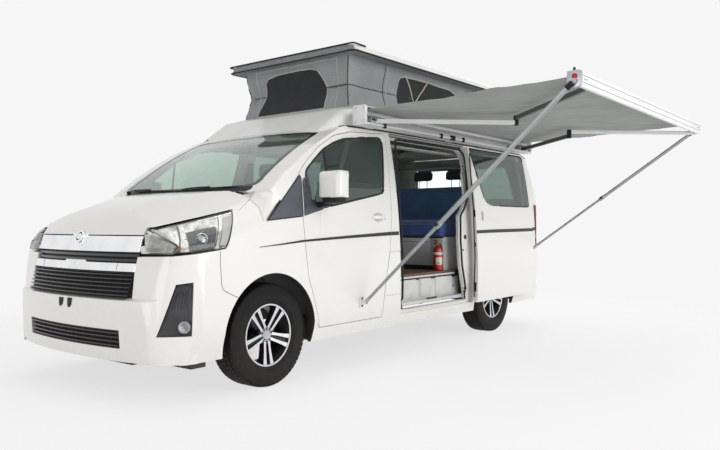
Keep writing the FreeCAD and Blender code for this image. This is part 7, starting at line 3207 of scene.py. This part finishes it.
        pieces = [body, band, wrap("label", Palette.WHITE_BAND, 0.0484, (0.055, 0.070), 5, 17),
                  wrap("strip", Palette.GOLD, 0.0488, (0.060, 0.018), 20, 9)]
        pieces.append(lathed("valve", foot, UP, [(0.240, 0.013), (0.258, 0.013), (0.262, 0.010),
                                                 (0.272, 0.010), (0.272, 0.0)],
                             Palette.BRASS, 24))
        head = foot + Vector((0, 0, 0.258))
        lever = smooth_row([head + Vector(v) for v in ((0, 0.004, 0.010), (0.0, -0.020, 0.022),
                                                       (0, -0.050, 0.029))], 6)
        grip = smooth_row([head + Vector(v) for v in ((0, 0.004, 0.0), (0, -0.022, 0.004),
                                                      (0, -0.044, -0.003))], 6)
        pieces.append(tube("lever", lever, 0.0050, red, sides=8))
        pieces.append(tube("grip", grip, 0.0050, black, sides=8))
        pieces.append(lathed("gauge", head + Vector((0.010, 0.006, -0.006)), Vector((1, 0.4, 0)),
                             [(0.0, 0.009), (0.006, 0.009), (0.008, 0.007), (0.008, 0.0)],
                             Palette.GOLD, 20))
        hose = smooth_row([head + Vector(v) for v in ((0, 0.012, -0.004), (0.004, 0.038, -0.022),
                                                      (0.006, 0.0445, -0.075),
                                                      (0.004, 0.0450, -0.120))], 8)
        pieces.append(tube("hose", hose, 0.0052, black, sides=10))
        return joined("fire_extinguisher_body", pieces)

    def linings(self) -> Piece:
        """Head lining round the roof opening, pillar trims and the right wall's boards.

        Returns:
            All of them in one piece.
        """
        felt, grey = Palette.HEADLINER, Palette.TRIM_GREY
        pieces = []
        for side in (LEFT, RIGHT):
            pieces.append(block("lining", (-3.98, side * 0.662, 1.795),
                                (-0.96, side * 0.775, 1.806), felt, 0.004))
        pieces.append(block("lining", (-1.180, -0.70, 1.790), (-0.80, 0.70, 1.800), felt, 0.004))
        pieces.append(block("lining", (-4.02, -0.66, 1.790), (-3.84, 0.66, 1.800), felt, 0.004))
        for x in (-1.46, -2.68):
            pieces.append(block("pillar", (x - 0.045, -0.868, 1.00), (x + 0.045, -0.840, 1.74),
                                grey, 0.008))
        pieces.append(block("wall", (-3.95, -0.885, 0.67), (-1.50, -0.872, 1.24), grey, 0.004))
        return joined("cabin_linings", pieces)

    def dashboard(self) -> Piece:
        """Dashboard with soft edges, vents, a screen, knobs and an instrument hood.

        Returns:
            The dashboard.
        """
        dark, black = Palette.TRIM_DARK, Palette.BLACK
        gloss, silver = Palette.PIANO, Palette.SILVER
        shell = merged_copy("dashboard", "dashboard_moulding", dark)
        bevelled(shell, 0.008, 3, 25)
        cast = Skin([shell]).along(-0.9, AHEAD)
        pieces = [shell]
        places = ((0.0, 1.18, 0.11, 0.055), (0.0, 1.06, 0.11, 0.035), (0.70, 1.20, 0.07, 0.035),
                  (-0.72, 1.20, 0.06, 0.035), (0.42, 1.12, 0.16, 0.05))
        for index, (y, z, wide, high) in enumerate(places):
            outline = oblong((y - wide, z - high), (y + wide, z + high), 0.012)
            look = gloss if index == 0 else black
            pieces.append(filled(cast, outline, "inset", 0.003, 0.006, look, 3))
            pieces.append(drawn_line(cast, outline, "frame", 0.004, 0.005, silver, True))
        for y in (-0.06, 0.0, 0.06):
            point, normal = cast(y, 1.06)
            pieces.append(lathed("knob", point, normal, [(0.0, 0.018), (0.018, 0.016),
                                                         (0.020, 0.012), (0.020, 0.0)],
                                 black, 24))
        hood = [[at(-0.42 + 0.16 * v, -0.4 + 0.19 * math.cos(a), 1.235 + 0.075 * math.sin(a))
                 for a in (math.pi * k / 20 for k in range(21))] for v in (0.0, 0.5, 1.0)]
        pieces.append(slab("hood", hood, 0.006, dark))
        return joined("dashboard_moulding", pieces)

    def tint(self) -> None:
        """Dark film on the rear part of the left door's glass."""
        skin = Skin(["front_door_glass_left"])
        outline = [(-0.605, 1.255), (-0.865, 1.300), (-1.195, 1.360), (-1.255, 1.385),
                   (-1.282, 1.430), (-1.340, 1.765), (-1.325, 1.805), (-1.290, 1.815),
                   (-1.078, 1.798), (-0.843, 1.766), (-0.725, 1.725), (-0.605, 1.668)]
        film = filled(skin.flank(LEFT), outline, "door_tint", -0.0055, 0.001, Palette.TINT, 4)
        finish(film, Body.DOOR_LEFT)

    def build(self) -> None:
        """Make the cabin."""
        self.bench()
        self.front_seats()
        self.floor_and_step()
        finish(self.extinguisher(), Body.VAN, ("fire_extinguisher",))
        finish(self.linings(), Body.VAN)
        finish(self.dashboard(), Body.VAN, ("dashboard",))
        self.tint()


# ---- Tail --------------------------------------------------------------------------------
@dataclass
class Tail:
    """Tail lamps with their bands, tailgate handle, wiper, seals and bumper fittings.

    Attributes:
        lamp_cells: a lamp's cells round the corner and down.
        lamp_low: height of its foot.
        lamp_high: height of its top.
        wrap: X and Y of the axis that it wraps round.
        glass: outline of the tailgate's glass.
        band_z: heights of the clear band.
        amber_top: height of the amber part's top.
    """

    lamp_cells: tuple[int, int] = (26, 84)
    lamp_low: float = 0.838
    lamp_high: float = 1.327
    wrap: Flat = (-4.150, 0.870)
    glass: tuple[Flat, ...] = (
        (-0.700, 1.122), (0.700, 1.122), (0.690, 1.400), (0.620, 1.778),
        (-0.620, 1.778), (-0.690, 1.400))
    band_z: Flat = (0.944, 1.002)
    amber_top: float = 1.052

    def lamp(self, side: int) -> list[Piece]:
        """One tail lamp: ribbed red lens, clear band and dark rim.

        Args:
            side: which corner it stands at.

        Returns:
            Its lens and its rim.
        """
        skin = Skin(["tail_lamps"])
        wide, high = self.lamp_cells

        def wrapped(k: int, z: float) -> tuple[Vector, Vector]:
            """Place on the lamp's surface.

            Args:
                k: number of the column, round the corner.
                z: height.

            Returns:
                The point and the outward normal.
            """
            angle = math.radians(3 + 84 * k / wide)
            way = Vector((-math.sin(angle), side * math.cos(angle), 0))
            hub = at(self.wrap[0], side * self.wrap[1], z)
            return skin.cast(hub + way * 0.4, -way)

        rows = []
        for j in range(high + 1):
            z = self.lamp_high - (self.lamp_high - self.lamp_low) * j / high
            line = []
            for k in range(wide + 1):
                point, normal = wrapped(k, z)
                fade = max(0.0, math.sin(math.pi * k / wide)) ** 0.3
                ripple = 0.0011 * abs(math.sin(math.pi * j * 0.25)) * fade
                line.append(point + normal * (0.0006 + ripple))
            rows.append(line)
        if side == RIGHT:
            rows = [line[::-1] for line in rows]
        lens = slab("lens", rows, 0.002, Palette.LAMP_RED, 40)
        low, high = self.band_z
        recoloured(lens, Palette.LAMP_BAND, lambda p: low < p.z < high)
        recoloured(lens, Palette.LAMP_AMBER, lambda p: high < p.z < self.amber_top)
        dark = Palette.PIANO
        rim = []
        for z in (low, high, self.amber_top, 1.20):
            hits = [wrapped(k, z) for k in range(wide + 1)]
            rim.append(tube("band", [point + normal * 0.0015 for point, normal in hits],
                            0.0022, dark, sides=6))
        return [lens, *rim]

    def handle(self) -> Piece:
        """Garnish over the bare plate place, with its grip, lamps and lock.

        Returns:
            The garnish and its fittings.
        """
        skin = Skin(["tailgate"])
        paint, dark = Palette.ENAMEL, Palette.BLACK
        cast = skin.rear
        path = [cast(0.46 - 0.92 * k / 30, 1.035, 0.002)[0] for k in range(31)]
        pieces = [swept("garnish", path, BACK,
                        [(-0.030, -0.004), (-0.028, 0.008), (-0.016, 0.017), (0.014, 0.015),
                         (0.026, 0.006), (0.028, -0.004)], paint, angle=40)]
        grip = [cast(0.11 - 0.22 * k / 12, 1.004, 0.006)[0] for k in range(13)]
        pieces.append(tube("grip", grip, 0.009, dark, sides=12))
        for y in (-0.17, 0.17):
            spot = cast(y, 1.004, 0.003)[0] - at(0, 0, 0)
            pieces.append(block("plate_lamp", (spot.x - 0.008, y - 0.028, 0.996),
                                (spot.x + 0.004, y + 0.028, 1.008), dark, 0.002))
        outline = oblong((-0.262, 0.842), (0.262, 0.985), 0.02)
        pieces.append(drawn_line(cast, outline, "plate_place", 0.006, 0.002,
                                 Palette.SHADOW, True))
        face = [cast(y, z, 0.0015)[0]
                for y, z in oblong((0.186, 0.856), (-0.186, 0.974), 0.012)]
        pieces.append(plate("blank_plate", face, Vector((-0.004, 0, 0)),
                            Palette.GELCOAT, 0.001))
        for y in (-0.145, 0.145):
            point, _ = cast(y, 0.958, 0.0045)
            pieces.append(lathed("plate_bolt", point, BACK,
                                 [(0.0, 0.006), (0.002, 0.0058), (0.003, 0.003),
                                  (0.0031, 0.0)], Palette.CHROME, 12))
        point, normal = cast(0.0, 0.72)
        pieces.append(lathed("lock", point, normal, [(-0.002, 0.011), (0.0025, 0.0105),
                                                     (0.003, 0.007), (0.002, 0.0)],
                             Palette.CHROME, 20))
        return joined("tailgate_garnish", pieces)

    def window_fittings(self) -> Piece:
        """Glass seal, wiper and high stop lamp.

        Returns:
            All of them in one piece.
        """
        skin = Skin(["tailgate", "tailgate_glass"])
        rubber, black = Palette.RUBBER, Palette.BLACK
        cast = skin.rear
        pieces = [drawn_line(cast, rounded(self.glass, 0.045), "seal", 0.022, 0.0035, rubber,
                             True, 0.03)]
        blade = [cast(-0.02 + 0.36 * k / 14, 1.178 + 0.018 * math.sin(math.pi * k / 14),
                      0.008)[0] for k in range(15)]
        pieces.append(tube("blade", blade, [0.002 + 0.004 * math.sin(math.pi * k / 14) ** 0.5
                                            for k in range(15)], black, sides=8))
        pivot = cast(-0.10, 1.150, 0.010)[0]
        arm = smooth_row([pivot, cast(0.02, 1.163, 0.022)[0], blade[7]], 6)
        pieces.append(tube("arm", arm, 0.005, black, sides=8))
        pieces.append(lathed("pivot", pivot, Vector((-1, 0, 0.1)),
                             [(-0.012, 0.017), (0.010, 0.016), (0.016, 0.010), (0.017, 0.0)],
                             black, 24))
        stop = [cast(0.15 - 0.30 * k / 10, 1.842, 0.003)[0] for k in range(11)]
        pieces.append(swept("stop_lamp", stop, Vector((-1, 0, 0.2)).normalized(),
                            [(-0.013, -0.004), (-0.012, 0.006), (0.012, 0.008),
                             (0.013, -0.004)], Palette.LAMP_RED, angle=40))
        return joined("tailgate_window_fittings", pieces)

    def bumper(self) -> Piece:
        """Reflectors, step pad with its ribs, and the towing eye's cap.

        Returns:
            All of them in one piece.
        """
        skin = Skin(["rear_bumper"])
        black = Palette.BLACK
        cast = skin.rear
        pieces = []
        for side in (LEFT, RIGHT):
            face = [cast(y, z, 0.001)[0]
                    for y, z in oblong((side * 0.80, 0.452), (side * 0.62, 0.482), 0.008)]
            pieces.append(plate("reflector", face if side == LEFT else face[::-1],
                                Vector((-0.005, 0, 0)), Palette.LAMP_RED, 0.0015))
        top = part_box("rear_bumper")[1][2] - SHIFT.z
        pieces.append(block("step_pad", (-4.268, -0.60, top - 0.003),
                            (-4.205, 0.60, top + 0.003), black, 0.002))
        rib = block("rib", (-4.262, -0.584, top + 0.001), (-4.211, -0.576, top + 0.006), black,
                    0.001)
        pieces.append(copies("ribs", rib, 41, step=(0, 0.029, 0)))
        outline = [(0.045 * math.cos(a) + 0.42, 0.36 + 0.045 * math.sin(a))
                   for a in (k * math.pi / 16 for k in range(32))]
        pieces.append(drawn_line(cast, outline, "tow_cap", 0.003, 0.0012,
                                 Palette.SHADOW, True, 0.01))
        return joined("rear_bumper_fittings", pieces)

    def build(self) -> None:
        """Make everything on the tail."""
        lenses = [piece for side in (LEFT, RIGHT) for piece in self.lamp(side)]
        finish(joined("ribbed_tail_lamps", lenses), Body.VAN, ("tail_lamps",))
        finish(self.handle(), Body.TAILGATE)
        finish(self.window_fittings(), Body.TAILGATE)
        finish(self.bumper(), Body.VAN)


BUILD_ORDER = [Shell(), Wheels(), Nose(), Screen(), Flanks(), PopTop(), Awning(), Cabin(),
               Tail()]


# ---- Studio ------------------------------------------------------------------------------
@dataclass
class Studio:
    """Plain pale floor, soft lamps and the camera."""

    eye: tuple[float, float, float] = (3.378, 4.411, 1.109)
    yaw: float = 0.6724
    pitch: float = -0.0009
    roll: float = -0.0014
    lens_mm: float = 35.27
    sensor_mm: float = 36.0
    middle: tuple[float, float, float] = (-1.7, 0.6, 0.0)
    fade: Flat = (3.2, 6.5)
    glow_share: float = 0.7
    sky: float = 0.55
    lamps: tuple[tuple[str, Point, Point, float, float], ...] = (
        ("key", (-1.8, 10.0, 3.0), (-1.6, 0.9, 1.2), 7.0, 505.0),
        ("front", (9.0, 0.5, 1.5), (0.5, 0.0, 0.8), 5.0, 170.0),
        ("top", (-1.2, 0.8, 8.5), (-1.2, 0.5, 1.0), 5.0, 60.0),
        ("back", (-10.0, -3.0, 4.0), (-3.0, 0.0, 1.0), 5.0, 260.0))

    def camera(self) -> None:
        """Place the camera and make it the scene's."""
        data = bpy.data.cameras.new("camera")
        data.lens, data.sensor_width = self.lens_mm, self.sensor_mm
        data.clip_end = 200.0
        obj = bpy.data.objects.new("camera", data)
        bpy.context.scene.collection.objects.link(obj)
        forward = Vector((-math.cos(self.yaw) * math.cos(self.pitch),
                          -math.sin(self.yaw) * math.cos(self.pitch), math.sin(self.pitch)))
        turn = forward.to_track_quat("-Z", "Y").to_matrix().to_4x4()
        obj.matrix_world = (Matrix.Translation(at(*self.eye)) @ turn
                            @ Matrix.Rotation(self.roll, 4, "Z"))
        bpy.context.scene.camera = obj

    def lamp(self, name: str, place: Point, aim: Point, size: float, watts: float) -> None:
        """Add one square soft lamp.

        Args:
            name: the lamp's name.
            place: where it hangs, in the van's frame.
            aim: the point that it faces.
            size: its edge.
            watts: its power.
        """
        data = bpy.data.lights.new(name, "AREA")
        data.shape, data.size, data.energy = "SQUARE", size, watts
        obj = bpy.data.objects.new(name, data)
        bpy.context.scene.collection.objects.link(obj)
        way = Vector(aim) - Vector(place)
        obj.matrix_world = (Matrix.Translation(at(*place))
                            @ way.to_track_quat("-Z", "Y").to_matrix().to_4x4())

    def seen(self, tree: Tree) -> Socket:
        """One for what the camera sees, straight or in metal and glass, and zero otherwise.

        Args:
            tree: the tree of a material or of the world.

        Returns:
            The value's socket.
        """
        rays = add(tree, "ShaderNodeLightPath").outputs
        return maths(tree, "MAXIMUM", rays["Is Camera Ray"],
                     maths(tree, "MAXIMUM", rays["Is Glossy Ray"],
                           rays["Is Transmission Ray"]))

    def floor_finish(self) -> Material:
        """Pale floor that keeps a soft shadow and fades into the backdrop's colour.

        Returns:
            The material.
        """
        material = bpy.data.materials.new("pale_studio_floor")
        material.use_nodes = True
        tree = material.node_tree
        tree.nodes.clear()
        place = add(tree, "ShaderNodeNewGeometry").outputs["Position"]
        speck = add(tree, "ShaderNodeTexNoise", {"Scale": 2.0}, {"Vector": place})
        paint = ramp(tree, speck.outputs["Fac"], [(0.3, "f4f4f4"), (0.7, "f7f7f7")])
        matt = add(tree, "ShaderNodeBsdfDiffuse", {}, {"Color": paint})
        glow = add(tree, "ShaderNodeEmission", {"Color": linear("fefefe"), "Strength": 1.0})
        share = maths(tree, "MULTIPLY", self.seen(tree), self.glow_share)
        lit = add(tree, "ShaderNodeMixShader", {}, {0: share, 1: matt.outputs[0],
                                                    2: glow.outputs[0]})
        centred = add(tree, "ShaderNodeVectorMath",
                      {"operation": "SUBTRACT", 1: tuple(at(*self.middle))}, {0: place})
        away = add(tree, "ShaderNodeVectorMath", {"operation": "LENGTH"},
                   {0: centred.outputs[0]}).outputs["Value"]
        fade = add(tree, "ShaderNodeMapRange", {"interpolation_type": "SMOOTHERSTEP",
                                                "From Min": self.fade[0],
                                                "From Max": self.fade[1]},
                   {"Value": away}).outputs["Result"]
        clear = add(tree, "ShaderNodeBsdfTransparent")
        mix = add(tree, "ShaderNodeMixShader", {}, {0: fade, 1: lit.outputs[0],
                                                    2: clear.outputs[0]})
        add(tree, "ShaderNodeOutputMaterial", {}, {"Surface": mix.outputs[0]})
        return material

    def build(self) -> None:
        """Make floor, lamps, world and camera."""
        scene = bpy.context.scene
        scene.view_settings.view_transform = "Standard"
        self.camera()
        reach = self.fade[1] + 0.5
        corners = [at(self.middle[0] + x * reach, self.middle[1] + y * reach, 0)
                   for x, y in ((1, -1), (1, 1), (-1, 1), (-1, -1))]
        floor = new_piece("floor", corners, [(0, 1, 2, 3)], self.floor_finish())
        for name, place, aim, size, watts in self.lamps:
            self.lamp(name, place, aim, size, watts)
        world = bpy.data.worlds.new("studio_sky")
        scene.world = world
        world.use_nodes = True
        tree = world.node_tree
        tree.nodes.clear()
        strength = maths(tree, "MULTIPLY_ADD", self.seen(tree), 1.0 - self.sky, self.sky)
        back = add(tree, "ShaderNodeBackground", {"Color": linear("f6f6f6")},
                   {"Strength": strength})
        add(tree, "ShaderNodeOutputWorld", {}, {"Surface": back.outputs["Background"]})


def dress_cad_nodes() -> None:
    """Give every CAD node that stays in view its real finish."""
    def named(start: str, words: Iterable[str]) -> list[str]:
        """Names that share their beginning."""
        return [start + word for word in words]

    ends = ("front", "rear")
    corners = [name for name, _, _ in Wheels().corners]
    finishes = {
        Palette.CHASSIS: ("front_subframe", "rear_axle", "underbody", "front_knuckle_left",
                          "front_knuckle_right"),
        Palette.IRON: ("engine_and_radiator",),
        Palette.TRIM_DARK: ("dashboard", "wheel_arch_liners"),
        Palette.BLACK: ("grilles", "steering_wheel"), Palette.CHROME: ("bright_bars",),
        Palette.SCREEN_GLASS: ("windscreen",),
        Palette.DOOR_GLASS: ("front_door_glass_left", "front_door_glass_right"),
        Palette.PRIVACY: ("side_glass", "tailgate_glass"),
        Palette.LAMP_CLEAR: ("front_lamps",), Palette.LAMP_RED: ("tail_lamps",),
        Palette.GELCOAT: ("pop_top_ring", "pop_top_lid"),
        Palette.CANVAS: ("pop_top_canvas",), Palette.AWNING: ("awning_cloth",),
        Palette.POWDER: ("awning_case", "awning_rail", *named("awning_leg_foot_", ends),
                         *named("awning_leg_tube_", ends)),
        # The arms' CAD nodes take the charcoal grey that paints the arms' shade
        Palette.ARM_PAINTED_SHADE: (*named("awning_inner_arm_", ends),
                           *named("awning_outer_arm_", ends)),
        Palette.ALLOY: named("rim_", corners),
        Palette.TYRE: named("tyre_", corners), Palette.STEP: ("side_step",),
        Palette.NAVY: ("front_seats", "bench_seat"), Palette.FLOOR: ("floor_pan",),
        Palette.RED: ("fire_extinguisher",),
        Palette.ENAMEL: tuple(node for node, _ in Shell().panels),
    }
    for look, names in finishes.items():
        material = look.build()
        for name in names:
            for mesh_slot in FRAME["nodes"][name].material_slots:
                mesh_slot.material = material


def main() -> None:
    """Build every sub-assembly in order."""
    logging.basicConfig(level=logging.INFO, format="%(name)s: %(message)s")
    dress_cad_nodes()
    for part in BUILD_ORDER:
        LOG.info("building %s", type(part).__name__)
        part.build()
    Studio().build()


if __name__ == "__main__":
    main()
